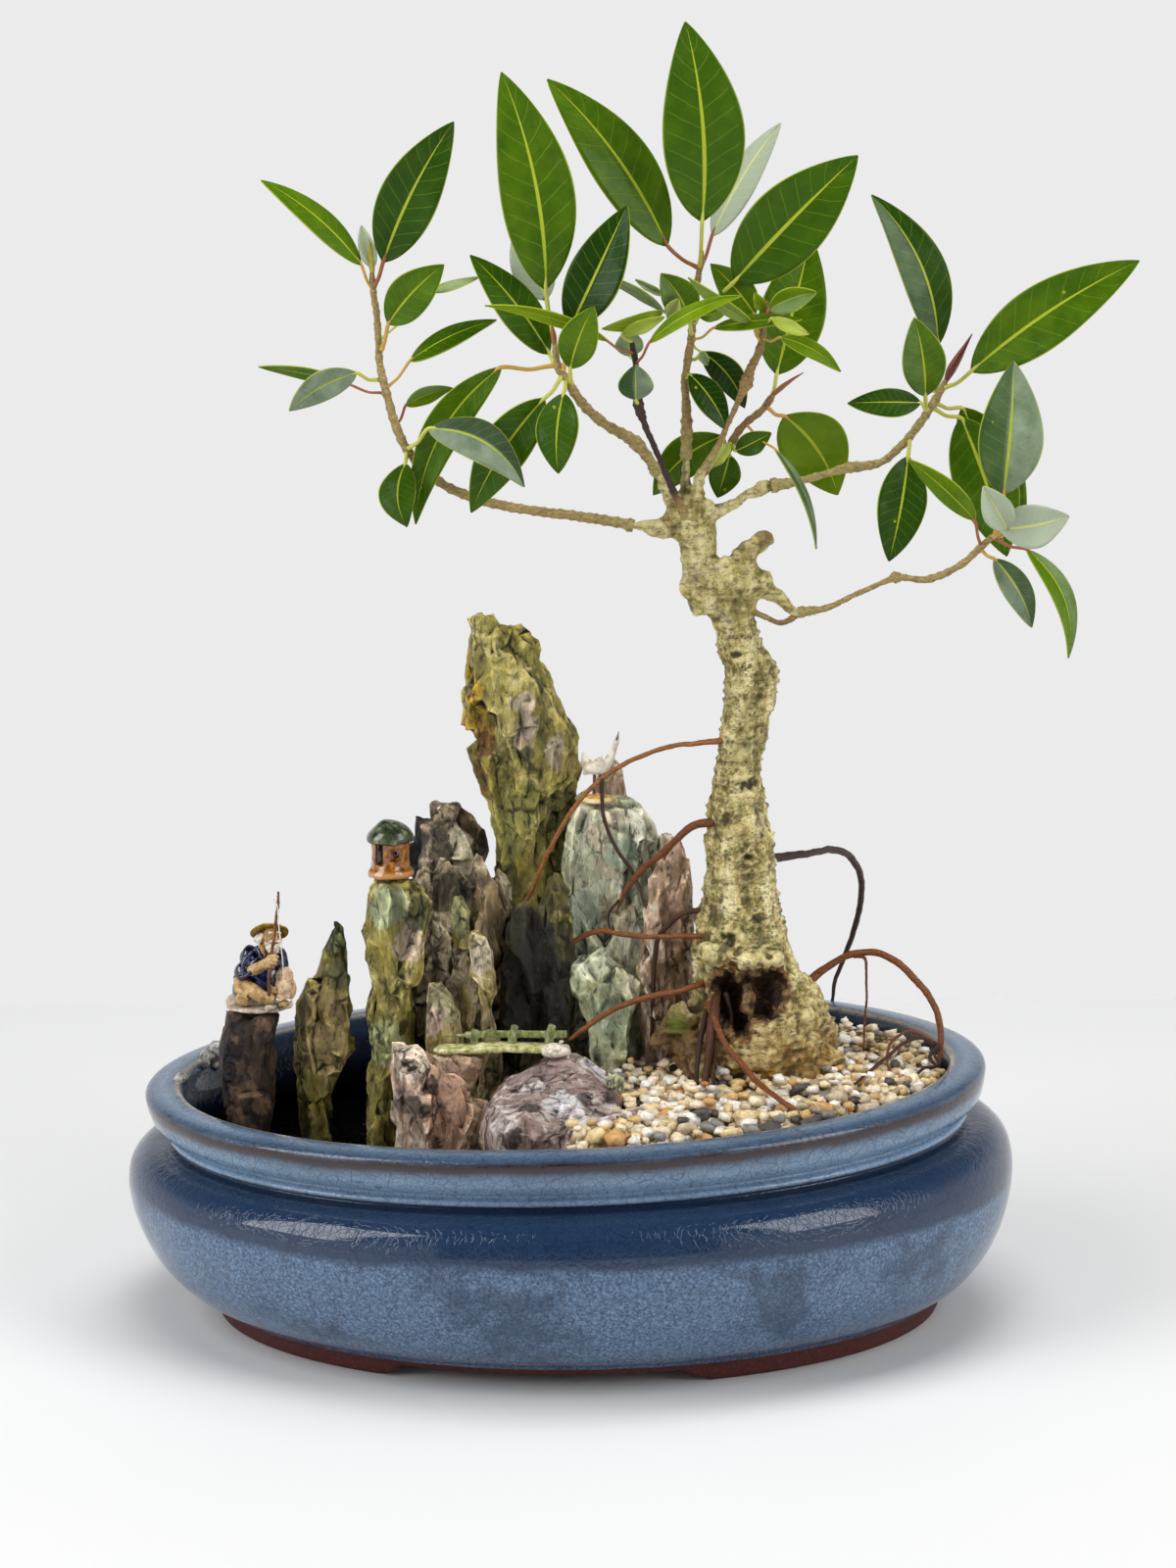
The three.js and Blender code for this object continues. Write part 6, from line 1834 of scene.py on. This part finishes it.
skin_mesh = modelled(
    [
        (-112.8, -7.6, 141.2, 3.6, 3.6, 4.2), (-111.3, -11.3, 140.9, 0.7, 0.8, 1.1),
        (-113.6, -10.2, 140.3, 1.3, 1, 1.1), (-110, -10.2, 140.4, 1.1, 0.9, 1),
        (-112, -10.6, 142.8, 2.2, 0.8, 0.7), (-116, -7.5, 141.2, 0.8, 1.1, 1.6),
        (-115.4, -7.4, 137.4, 2.5, 2.4, 2.8), (-113.2, -13.6, 132.4, 2.5, 1.7, 2.1),
        (-124.3, -11.4, 117.6, 2.6, 2.6, 2.5), (-108.6, -12.3, 115.9, 2, 2.6, 1.3),
        (-122.8, -8.6, 122.6, 3, 3.2, 2.9),
    ],
    [
        [(-121, -9.5, 128.4, 2.1), (-117.6, -12.3, 130, 2.1), (-114.4, -13.4, 131.8, 1.8)],
        [(-114.4, -14.6, 134, 0.8), (-111.9, -15.7, 134, 0.72), (-110.3, -15.2, 133.7, 0.5)],
        [(-114.4, -15, 132.8, 0.8), (-112, -16, 132.5, 0.72), (-110.7, -15.3, 132.3, 0.5)],
        [(-114.4, -15, 131.5, 0.8), (-112.4, -15.9, 131.1, 0.7), (-111.3, -15.3, 130.9, 0.5)],
        [(-114.8, -14.7, 130.4, 0.75), (-113.1, -15.4, 129.9, 0.6), (-112.2, -15, 129.7, 0.45)],
        [(-117.3, -8.8, 138.4, 0.9), (-116.3, -10.6, 136.2, 0.8), (-115.4, -11, 134, 0.4)],
        [
            (-123, -9.4, 122.4, 2.7), (-120.2, -12.2, 120.8, 2.8), (-116.6, -13.3, 118.4, 2.4),
            (-112.6, -13, 117.3, 1.9),
        ],
        [(-126.1, -9, 125.6, 1.3), (-126, -11, 122.8, 1.3), (-125.4, -12.4, 120.2, 1.7)],
        [(-125.8, -12.9, 120.4, 0.8), (-123.8, -14.2, 119.7, 0.7), (-122.7, -14.4, 118.9, 0.5)],
        [(-125.8, -13.2, 119.1, 0.8), (-123.7, -14.4, 118.3, 0.7), (-122.4, -14.4, 117.5, 0.5)],
        [(-125.7, -13.2, 117.8, 0.8), (-123.5, -14.4, 116.9, 0.7), (-122.3, -14.2, 116.2, 0.5)],
        [(-125.6, -12.9, 116.5, 0.75), (-123.6, -13.9, 115.7, 0.6), (-122.6, -13.8, 115.3, 0.45)],
        [(-114.6, -12.3, 121.9, 0.9), (-112.6, -13.5, 121.8, 0.7), (-111.4, -13.4, 121.5, 0.45)],
        [(-114.6, -12.6, 120.7, 0.9), (-112.6, -13.7, 120.4, 0.7), (-111.4, -13.4, 120.1, 0.45)],
        [(-109.8, -13.6, 115.4, 0.8), (-110.2, -15, 114.9, 0.6)],
        [(-108.2, -14, 115.5, 0.75), (-108.2, -15.2, 115, 0.55)],
    ],
    0.3,
)
hair_mesh = modelled(
    [(-115.2, -4.6, 140.6, 3.1, 2.6, 3.2), (-112.6, -10.6, 137.6, 2, 1.2, 1.8)],
    [
        [(-113.9, -10.6, 139, 0.8), (-113.1, -12.2, 136.8, 0.75), (-112.3, -12.5, 134.4, 0.3)],
        [(-112.4, -11.2, 138.8, 0.9), (-111.7, -12.6, 136.4, 0.75), (-111.4, -12.5, 134.6, 0.3)],
        [(-114.9, -9.8, 139.4, 0.7), (-114.5, -11.4, 137, 0.7), (-113.8, -12, 135.3, 0.3)],
        [(-110.7, -10.8, 138.9, 0.7), (-110.4, -12, 137, 0.6), (-110.6, -12.2, 135.4, 0.3)],
        [(-114.1, -11, 139.2, 0.45), (-112.6, -12.1, 139.7, 0.55), (-111.3, -12.2, 139.7, 0.4)],
        [(-111.3, -12.2, 139.7, 0.4), (-110.2, -11.8, 139.6, 0.5), (-109.2, -10.8, 138.9, 0.35)],
        [(-114.3, -10.8, 142.6, 0.3), (-113.3, -11.5, 143.1, 0.4), (-112.4, -11.6, 142.9, 0.3)],
        [(-110.9, -11.6, 142.9, 0.3), (-110.1, -11.3, 143.1, 0.4), (-109.3, -10.6, 142.5, 0.3)],
        [(-115.8, -8.8, 142.4, 0.9), (-117.2, -9, 141, 0.95), (-118.9, -8.6, 139.5, 0.6)],
        [(-116.2, -7.4, 142.4, 1), (-118, -7.2, 141.3, 1), (-119.6, -6.8, 140, 0.6)],
        [(-116.6, -9.6, 141.2, 0.6), (-117.4, -9.9, 139.8, 0.6), (-118, -9.6, 138.8, 0.4)],
    ],
    0.26,
)
trousers_mesh = modelled(
    [
        (-108.4, -9.4, 126.3, 3.3, 3.7, 3.7), (-109, -11, 122.2, 3, 3.4, 4.6),
        (-109.3, -11.5, 119, 2.8, 3.1, 1.5), (-106.3, -9, 121.6, 2.2, 3.4, 4),
    ],
    [[(-111.6, -11, 118.4, 0.5), (-109.4, -14.4, 117.7, 0.5), (-106.8, -12.4, 118.2, 0.5)]],
    0.28,
)
glue_mesh = modelled(
    [
        (-118.4, -6, 115, 12.2, 9.4, 1.6), (-127.6, -6.5, 117, 3, 4.5, 2.3),
        (-107.4, -11.5, 115.2, 1.9, 2.6, 1.3), (-113.6, -13.5, 114.6, 2.6, 2, 1.1),
        (-119.6, -4, 118, 8, 6.4, 3),
    ],
    [[(-105.9, -10.5, 117.4, 0.4), (-106.1, -12, 115.4, 0.6), (-107.8, -13.6, 114.2, 0.6)]],
    0.4,
)
hat_shape = bmesh.new()
straw_ring = hat_shape.verts.layers.float.new("ring")
hat_profile = [
    (0, 2.7), (2.2, 2.4), (4, 1.5), (5.4, 0.8), (6.6, 0.45), (7.1, 0.1), (7.05, -0.35), (6.5, -0.4),
    (5, -0.1), (3.2, 0.6), (1.6, 1.2), (0, 1.4),
]
for radius, height in smooth_line(hat_profile, HAT_STEP, places=2):
    hat_shape.verts.new((max(radius, 0), 0, height))[straw_ring] = radius
hat_shape.verts.ensure_lookup_table()
for before, after in zip(hat_shape.verts[:-1], hat_shape.verts[1:]):
    hat_shape.edges.new((before, after))
bmesh.ops.spin(
    hat_shape, geom=hat_shape.verts[:] + hat_shape.edges[:], axis=(0, 0, 1), angle=math.tau, steps=56,
    use_merge=True,
)
bmesh.ops.remove_doubles(hat_shape, verts=hat_shape.verts, dist=0.01)
hat_place = (
    Matrix.Translation(at(*seen_at(-113.7, 143.2, -6.4))) @ Matrix.Rotation(math.radians(-5), 4, "Y")
    @ Matrix.Rotation(math.radians(-40), 4, "X") @ Matrix.Scale(MM, 4)
)
for vert in hat_shape.verts:
    worn = noise.noise(vert.co * 0.35) * 0.35 * vert[straw_ring] / HAT_RIM
    vert.co = hat_place @ (vert.co + Vector((0, 0, worn)))
hat_mesh = mesh_of(hat_shape)

robe_mesh = weathered(robe_mesh, carved(0.3, 1.9, 0.45), ("relief", "fold"))
skin_mesh = weathered(skin_mesh, carved(0.08, 1.2), ("relief", "fold"))
hair_mesh = weathered(hair_mesh, carved(0.28, 0.55, 0.3), ("relief", "fold"))
trousers_mesh = weathered(trousers_mesh, woven_holes, ("relief", "hole"))
glue_mesh = weathered(glue_mesh, carved(0.35, 2.4), ("relief", "fold"))

# Navy lead glaze over clay, glossy, with a pale grey-blue painted highlight on the raised folds
navy_glaze, tree, shader = material(
    "navy_glazed_robe", {"Roughness": 0.12, "Coat Weight": 0.8, "Coat Roughness": 0.05}
)
spot = add(tree, "TexCoord").outputs["Object"]
relief = add(tree, "Attribute", attribute_name="relief").outputs["Fac"]
patchy = add(tree, "TexNoise", {"Vector": spot, "Scale": scale_of(3), "Detail": 4}).outputs["Fac"]
tone = add(
    tree, "ValToRGB", {"Fac": patchy}, stops=[(0.36, "#040818"), (0.72, "#22357a"), (0.54, "#0f1a44")]
).outputs["Color"]
# pale grey-blue where the folds stand out: a painted highlight
tone = stained(tree, tone, "#6d7690", relief, 0.1, 0.2, 0.35)
tree.links.new(tone, shader.inputs["Base Color"])


def bare_clay(name, dark, middle, light, size_mm, roughness=0.7, pit=None):
    """Fired clay without glaze: mottled, with painted shade in its dips or pricked holes, and fine grit."""
    made, tree, shader = material(name, {"Roughness": roughness})
    spot = add(tree, "TexCoord").outputs["Object"]
    mottle = add(
        tree, "TexNoise", {"Vector": spot, "Scale": scale_of(size_mm), "Detail": 6, "Roughness": 0.65}
    ).outputs["Fac"]
    tone = add(
        tree, "ValToRGB", {"Fac": mottle}, stops=[(0.3, dark), (0.7, light), (0.5, middle)]
    ).outputs["Color"]
    dips = add(tree, "Attribute", attribute_name=pit or "relief").outputs["Fac"]
    start, full = (0.1, 0.6) if pit else (-0.04, -0.16)
    # the dark tone in the dips, or in the pricked holes, is painted shade
    tone = stained(tree, tone, dark, dips, start, full, 0.75)
    surfaced(tree, shader, tone, mottle, 0.4, 0.0003)
    return made


tan_clay = bare_clay("bare_tan_clay_skin", "#6c4a24", "#b5905a", "#dcc092", 2.2, 0.5)
white_clay = bare_clay("white_clay_hair", "#8d7a60", "#e0d6c4", "#f6f1e6", 1.6)
pricked_clay = bare_clay("pricked_clay_trousers", "#5a3d28", "#d3ae88", "#ecd3b4", 3, 0.7, "hole")
glue_pad = bare_clay("whitish_glue_pad", "#7f6c58", "#c9b9a4", "#ece4d8", 4)

# Bare ochre clay scored in rings like plaited straw, brown where the stain lay in the grooves
straw, tree, shader = material("straw_hat_clay", {"Roughness": 0.45})
spot = add(tree, "TexCoord").outputs["Object"]
ring = add(tree, "Attribute", attribute_name="ring").outputs["Fac"]
turns = add(tree, "Math", {0: ring, 1: RING_TURNS}, operation="MULTIPLY").outputs[0]
groove = add(tree, "Math", {0: turns}, operation="SINE").outputs[0]
mottle = add(
    tree, "TexNoise", {"Vector": spot, "Scale": scale_of(3), "Detail": 6, "Roughness": 0.7}
).outputs["Fac"]
mixed = add(tree, "Math", {0: groove, 1: 0.13, 2: mottle}, operation="MULTIPLY_ADD").outputs[0]
tone = add(
    tree, "ValToRGB", {"Fac": mixed}, stops=[(0.3, "#4e3610"), (0.72, "#c79f3c"), (0.5, "#93701f")]
).outputs["Color"]
surfaced(tree, shader, tone, mixed, 0.6, 0.0005)

mudman = link(
    "clay_fisherman",
    joined(robe_mesh, skin_mesh, hair_mesh, trousers_mesh, glue_mesh, hat_mesh),
    navy_glaze, tan_clay, white_clay, pricked_clay, glue_pad, straw,
)
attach(mudman, "root")
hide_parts("fisherman")

# His rod is a split of brown cane with dark joints. A stiff white thread is tied to its tip in a
# small loop, hangs straight down and is glued to the trousers.
cane_bm = bmesh.new()
cane_rows = [
    (*seen_at(x, z, y), radius)
    for x, y, z, radius in [
        (-114.6, -14.4, 117.8, 0.5), (-113.9, -14.4, 128, 0.55), (-113.1, -14.4, 134, 0.55),
        (-111.6, -14.4, 144, 0.5), (-110.6, -14.3, 152, 0.5), (-109.9, -14.2, 158.7, 0.45),
    ]
]
add_stalk(cane_bm, ringed(cane_rows, 0.5, 0.3, 3.4, 71), 10)
cane, tree, shader = material("split_cane", {"Roughness": 0.4})
spot = add(tree, "TexCoord").outputs["Object"]
mottle = add(
    tree, "TexNoise", {"Vector": spot, "Scale": scale_of(5), "Detail": 5, "Roughness": 0.7}
).outputs["Fac"]
tone = add(
    tree, "ValToRGB", {"Fac": mottle}, stops=[(0.34, "#3c1f10"), (0.7, "#9a6a30"), (0.5, "#6b4119")]
).outputs["Color"]
tree.links.new(tone, shader.inputs["Base Color"])
rod = link("fishing_cane", mesh_of(cane_bm), cane)
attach(rod, "root")
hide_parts("fishing_rod")

thread_bm = bmesh.new()
thread_line = [
    (-110.3, -14.9, 157.4, 0.2), (-111.2, -15.1, 156.6, 0.2), (-111.7, -15.2, 155.6, 0.2),
    (-111.3, -15.2, 154.6, 0.2), (-110.6, -15.1, 153.6, 0.24), (-110.3, -15.1, 149, 0.24),
    (-109.9, -15.4, 143, 0.24), (-109.3, -16, 136, 0.24), (-108.9, -15.6, 130, 0.24),
    (-108.8, -14.3, 126, 0.24), (-108.8, -14.2, 124, 0.24),
]
add_stalk(
    thread_bm, smooth_line([(*seen_at(x, z, y), radius) for x, y, z, radius in thread_line], CLAY_STEP), 6
)
thread_paint, tree, shader = material("waxed_white_thread", {"Roughness": 0.7})
spot = add(tree, "TexCoord").outputs["Object"]
lay = add(tree, "TexNoise", {"Vector": spot, "Scale": scale_of(0.8), "Detail": 3}).outputs["Fac"]
tone = add(tree, "ValToRGB", {"Fac": lay}, stops=[(0.3, "#cfc6b8"), (0.7, "#f4f0e9")]).outputs["Color"]
tree.links.new(tone, shader.inputs["Base Color"])
thread = link("fishing_thread", mesh_of(thread_bm), thread_paint)
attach(thread, "root")

# The pavilion is one small clay casting, round, with a low domed roof. The walls and the flange at
# its foot are glazed amber and the roof green, running thin and brown along the eaves.
PAVILION_PLACE = (-68.3, -1, 164.8)
walls_profile = [
    (0, 0), (8.1, 0), (8.5, 0.8), (8.3, 2), (7.4, 3.2), (7, 5), (7.1, 12), (6.8, 13.8), (0, 13.8)
]
roof_profile = [
    (0, 12.6), (7.6, 12.7), (8.6, 13.1), (8.8, 14.1), (8.4, 15.4), (7.2, 17.2), (5.4, 19), (3.2, 20.4),
    (0, 21),
]
door = ((-3.7, -6.2, 9), (1.3, 2.4, 4.2))
window = ((2.2, -6.8, 8.8), (2.3, 2.4, 2.4))


def turned(profile, steps=48):
    """A closed round body, spun from its profile of radius and height, at the pavilion's place."""
    shape = bmesh.new()
    for radius, height in smooth_line(profile, 0.7, places=2):
        shape.verts.new((max(radius, 0), 0, height))
    shape.verts.ensure_lookup_table()
    for before, after in zip(shape.verts[:-1], shape.verts[1:]):
        shape.edges.new((before, after))
    bmesh.ops.spin(
        shape, geom=shape.verts[:] + shape.edges[:], axis=(0, 0, 1), angle=math.tau, steps=steps,
        use_merge=True,
    )
    bmesh.ops.remove_doubles(shape, verts=shape.verts, dist=0.05)
    bmesh.ops.transform(
        shape, matrix=Matrix.Translation(at(*PAVILION_PLACE)) @ Matrix.Scale(MM, 4), verts=shape.verts
    )
    return mesh_of(shape)


cutter = bmesh.new()
for middle, half in (door, window):
    place = Matrix.Translation(at(*(p + m for p, m in zip(PAVILION_PLACE, middle))))
    bmesh.ops.create_cube(cutter, size=2, matrix=place @ Matrix.Diagonal((*(h * MM for h in half), 1)))
hole = Matrix.Translation(at(*(p + m for p, m in zip(PAVILION_PLACE, (2.2, -4, 8.6)))))
bmesh.ops.create_cone(
    cutter, cap_ends=True, segments=20, radius1=1.4 * MM, radius2=1.4 * MM, depth=7 * MM,
    matrix=hole @ Matrix.Rotation(math.pi / 2, 4, "X"),
)
cutter = link("cutter", mesh_of(cutter, smooth=False))
walls_mesh = reshaped(
    turned(walls_profile),
    ("REMESH", {"mode": "VOXEL", "voxel_size": 0.4 * MM}),
    ("BOOLEAN", {"operation": "DIFFERENCE", "object": cutter}),
    ("REMESH", {"mode": "VOXEL", "voxel_size": 0.3 * MM}),
    ("SMOOTH", {"factor": 0.5, "iterations": 2}),
)
bpy.data.objects.remove(cutter)
walls_mesh = weathered(walls_mesh, carved(0.35, 2.6), ("relief", "fold"))
roof_mesh = weathered(turned(roof_profile, 64), carved(0.4, 4.5), ("relief", "fold"))


def lead_glaze(name, dark, middle, light, size_mm, runs=1, foot=None, foot_colour=None, coat=0.7):
    """A clear coloured glaze, fired glossy: darker where it pools, running thin on edges."""
    made, tree, shader = material(name, {"Roughness": 0.16, "Coat Weight": coat, "Coat Roughness": 0.04})
    spot = add(tree, "TexCoord").outputs["Object"]
    falling = add(tree, "Mapping", {"Vector": spot, "Scale": (1, 1, runs)}).outputs[0]
    pools = add(
        tree, "TexNoise", {"Vector": falling, "Scale": scale_of(size_mm), "Detail": 5, "Roughness": 0.6}
    ).outputs["Fac"]
    tone = add(
        tree, "ValToRGB", {"Fac": pools}, stops=[(0.32, dark), (0.7, light), (0.5, middle)]
    ).outputs["Color"]
    if foot:
        height = add(tree, "SeparateXYZ", {"Vector": spot}).outputs["Z"]
        ragged = add(tree, "Math", {0: pools, 1: 0.0016, 2: height}, operation="MULTIPLY_ADD").outputs[0]
        tone = stained(tree, tone, foot_colour, ragged, foot * MM + 0.0012, foot * MM + 0.0004, 0.85)
    surfaced(tree, shader, tone, pools, 0.25, 0.0006)
    return made


amber_glaze = lead_glaze(
    "amber_glazed_walls", "#4a2606", "#945818", "#c48c3a", 2.6, 0.6, PAVILION_PLACE[2] + 2.2, "#c08c4c"
)
roof_glaze = lead_glaze(
    "green_glazed_roof", "#1a2014", "#3c4630", "#8c8c68", 3, 0.35, PAVILION_PLACE[2] + 13.3, "#5a3a1a", 0.25
)
# near-black lumps inside the door and the window: painted shade of the dark openings
opening_shade_paint = lead_glaze("painted_shade_in_openings", "#070302", "#150a04", "#2a1608", 2)
opening_shade_lumps = modelled(
    [(-72, -4.5, 173.8, 1.6, 1.3, 4.6), (-66.1, -4.4, 173.4, 1.7, 1.5, 1.7)], [], 0.25, true_place
)
pavilion = link(
    "clay_pavilion", joined(walls_mesh, roof_mesh, opening_shade_lumps), amber_glaze, roof_glaze, opening_shade_paint
)
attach(pavilion, "root")
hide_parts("pavilion")

# The crane is matt white clay on two dark red wire legs, which stand in a disc of cream clay with an
# orange glaze on top. Its eye is a dot of black, its beak a thin grey point.
crane_body = modelled(
    [
        (7.6, 26, 199.2, 4.6, 3, 2.6), (4.6, 26, 200.6, 2.2, 1.8, 3.4, -24), (9, 25, 201, 2.4, 1.8, 2.2),
    ],
    [
        [(5.2, 26, 200.4, 2), (3.6, 26, 203.2, 1.2), (3, 26, 205.4, 0.35)],
        [(8.4, 25.4, 201.2, 1.5), (9.2, 25.2, 203, 0.8), (10.2, 25.2, 203.8, 0.3)],
        [(5.2, 26, 198.8, 1.9), (3.8, 26, 197.4, 1.1), (3, 26, 196.8, 0.4)],
        [
            (10, 26, 199.6, 2.3), (12.6, 26, 201.6, 1.7), (14.4, 26, 205.4, 1.15), (15.4, 26, 208.6, 1),
            (15.8, 26, 210.2, 1.1),
        ],
    ],
    0.28, true_place,
)
crane_body = weathered(crane_body, carved(0.12, 2.6, 0.6), ("relief", "fold"))
crane_beak = modelled(
    [], [[(15.8, 26, 210.4, 0.7), (16.1, 26, 211.6, 0.42), (16.4, 26, 213.2, 0.16)]], 0.14, true_place
)
crane_eyes = modelled(
    [(15.6, 24.9, 210.2, 0.42, 0.3, 0.42), (15.6, 27.1, 210.2, 0.42, 0.3, 0.42)], [], 0.12, true_place
)
crane_legs = modelled(
    [],
    [
        [(7, 26, 188.8, 0.75), (7.1, 26, 193, 0.6), (7.4, 26, 198.4, 0.75)],
        [(9.6, 26, 188.8, 0.75), (9.5, 26, 193, 0.6), (9.4, 26, 198.4, 0.75)],
    ],
    0.25, true_place,
)
crane_disc = modelled(
    [(8, 25, 187.2, 6.6, 5, 1.5), (4, 24.5, 187.6, 3.6, 3.2, 1.3), (12.2, 25.5, 187.4, 3.4, 3.4, 1.3)],
    [], 0.35, true_place,
)
crane_disc = weathered(crane_disc, carved(0.3, 3), ("relief", "fold"))
crane_top = modelled([(7.8, 25, 188.7, 4.6, 3.4, 0.95)], [], 0.3, true_place)
cream_clay = bare_clay("cream_clay_crane", "#a89a7c", "#e8e0cc", "#faf6ea", 4, 0.45)
disc_clay = bare_clay("cream_clay_disc", "#9a7c4c", "#dcc48c", "#efe0b8", 3, 0.5)
beak_stain = lead_glaze("grey_stained_beak", "#4a4a48", "#7a7a76", "#9a9a94", 1)
eye_dot = lead_glaze("black_eye_dot", "#050505", "#0a0a0a", "#141414", 1)
red_legs = lead_glaze("dark_red_glazed_wire", "#2c0c08", "#571a10", "#7c2c1a", 1.5)
orange_glaze = lead_glaze("orange_glaze_on_disc", "#9a5a1c", "#d8963c", "#ecb866", 2)
crane = link(
    "clay_crane", joined(crane_body, crane_beak, crane_eyes, crane_legs, crane_disc, crane_top),
    cream_clay, beak_stain, eye_dot, red_legs, disc_clay, orange_glaze,
)
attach(crane, "root")
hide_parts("crane")

# The bridge is a clay slab with a round rail on three leaning posts. All of it has a yellow-green glaze that
# pools darker in places, and a lump of white clay fixes its right end to the purple stone.
bridge_deck = modelled(
    [(-48.6, -22.4, 103.9, 4.4, 5.2, 1.3)],
    [
        [
            (-50.5, y, 104, 1.1), (-40, y, 104.1, 1.2), (-30, y, 104.7, 1.3), (-20, y, 104.5, 1.2),
            (-7.5, y, 104, 1.2),
        ]
        for y in (-26.2, -24.4, -22.6, -20.8, -19)
    ],
    0.4, true_place,
)
bridge_deck = weathered(bridge_deck, carved(0.4, 4.5), ("relief", "fold"))
bridge_rail = modelled(
    [],
    [
        [
            (-41, -19.4, 108.5, 1.3), (-30, -19.4, 108.8, 1.45), (-16, -19.4, 108.6, 1.45),
            (-3.6, -19.4, 108.5, 1.5),
        ],
        [(-37.9, -20.2, 104, 1.5), (-37.6, -20.2, 108, 1.45), (-37.2, -20.2, 110.8, 1.4)],
        [(-24, -20.4, 104, 1.8), (-23.3, -20.4, 109, 1.6), (-22.6, -20.4, 112.2, 1.5)],
        [(-10.4, -20.4, 104, 1.8), (-9.8, -20.4, 109, 1.65), (-9, -20.4, 112.4, 1.55)],
        [(-49.5, -19.4, 108, 0.4), (-45, -19.4, 108.3, 0.45), (-41, -19.4, 108.5, 0.6)],
    ],
    0.28, true_place,
)
bridge_rail = weathered(bridge_rail, carved(0.14, 1.8), ("relief", "fold"))
bridge_lump = modelled(
    [
        (-8.4, -24.2, 103.6, 5.2, 5.2, 2.6), (-4.6, -23.6, 103.4, 2.6, 3.8, 2.2),
        (-5.6, -24.8, 107, 1, 1, 0.7),
    ],
    [[(-3.6, -23.8, 103.6, 0.9), (-3.4, -25, 100.6, 0.7)]], 0.35, true_place,
)
bridge_lump = weathered(bridge_lump, carved(0.3, 2.5), ("relief", "fold"))
deck_glaze = lead_glaze("yellow_green_glazed_slab", "#64782c", "#c6c284", "#f0ebc4", 2.6, 0.6)
rail_glaze = lead_glaze("olive_glazed_rail", "#3e4420", "#78804a", "#b4b488", 2.4, 0.5)
bridge = link(
    "clay_bridge", joined(bridge_deck, bridge_rail, bridge_lump), deck_glaze, rail_glaze, white_clay
)
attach(bridge, "root")
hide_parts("bridge")
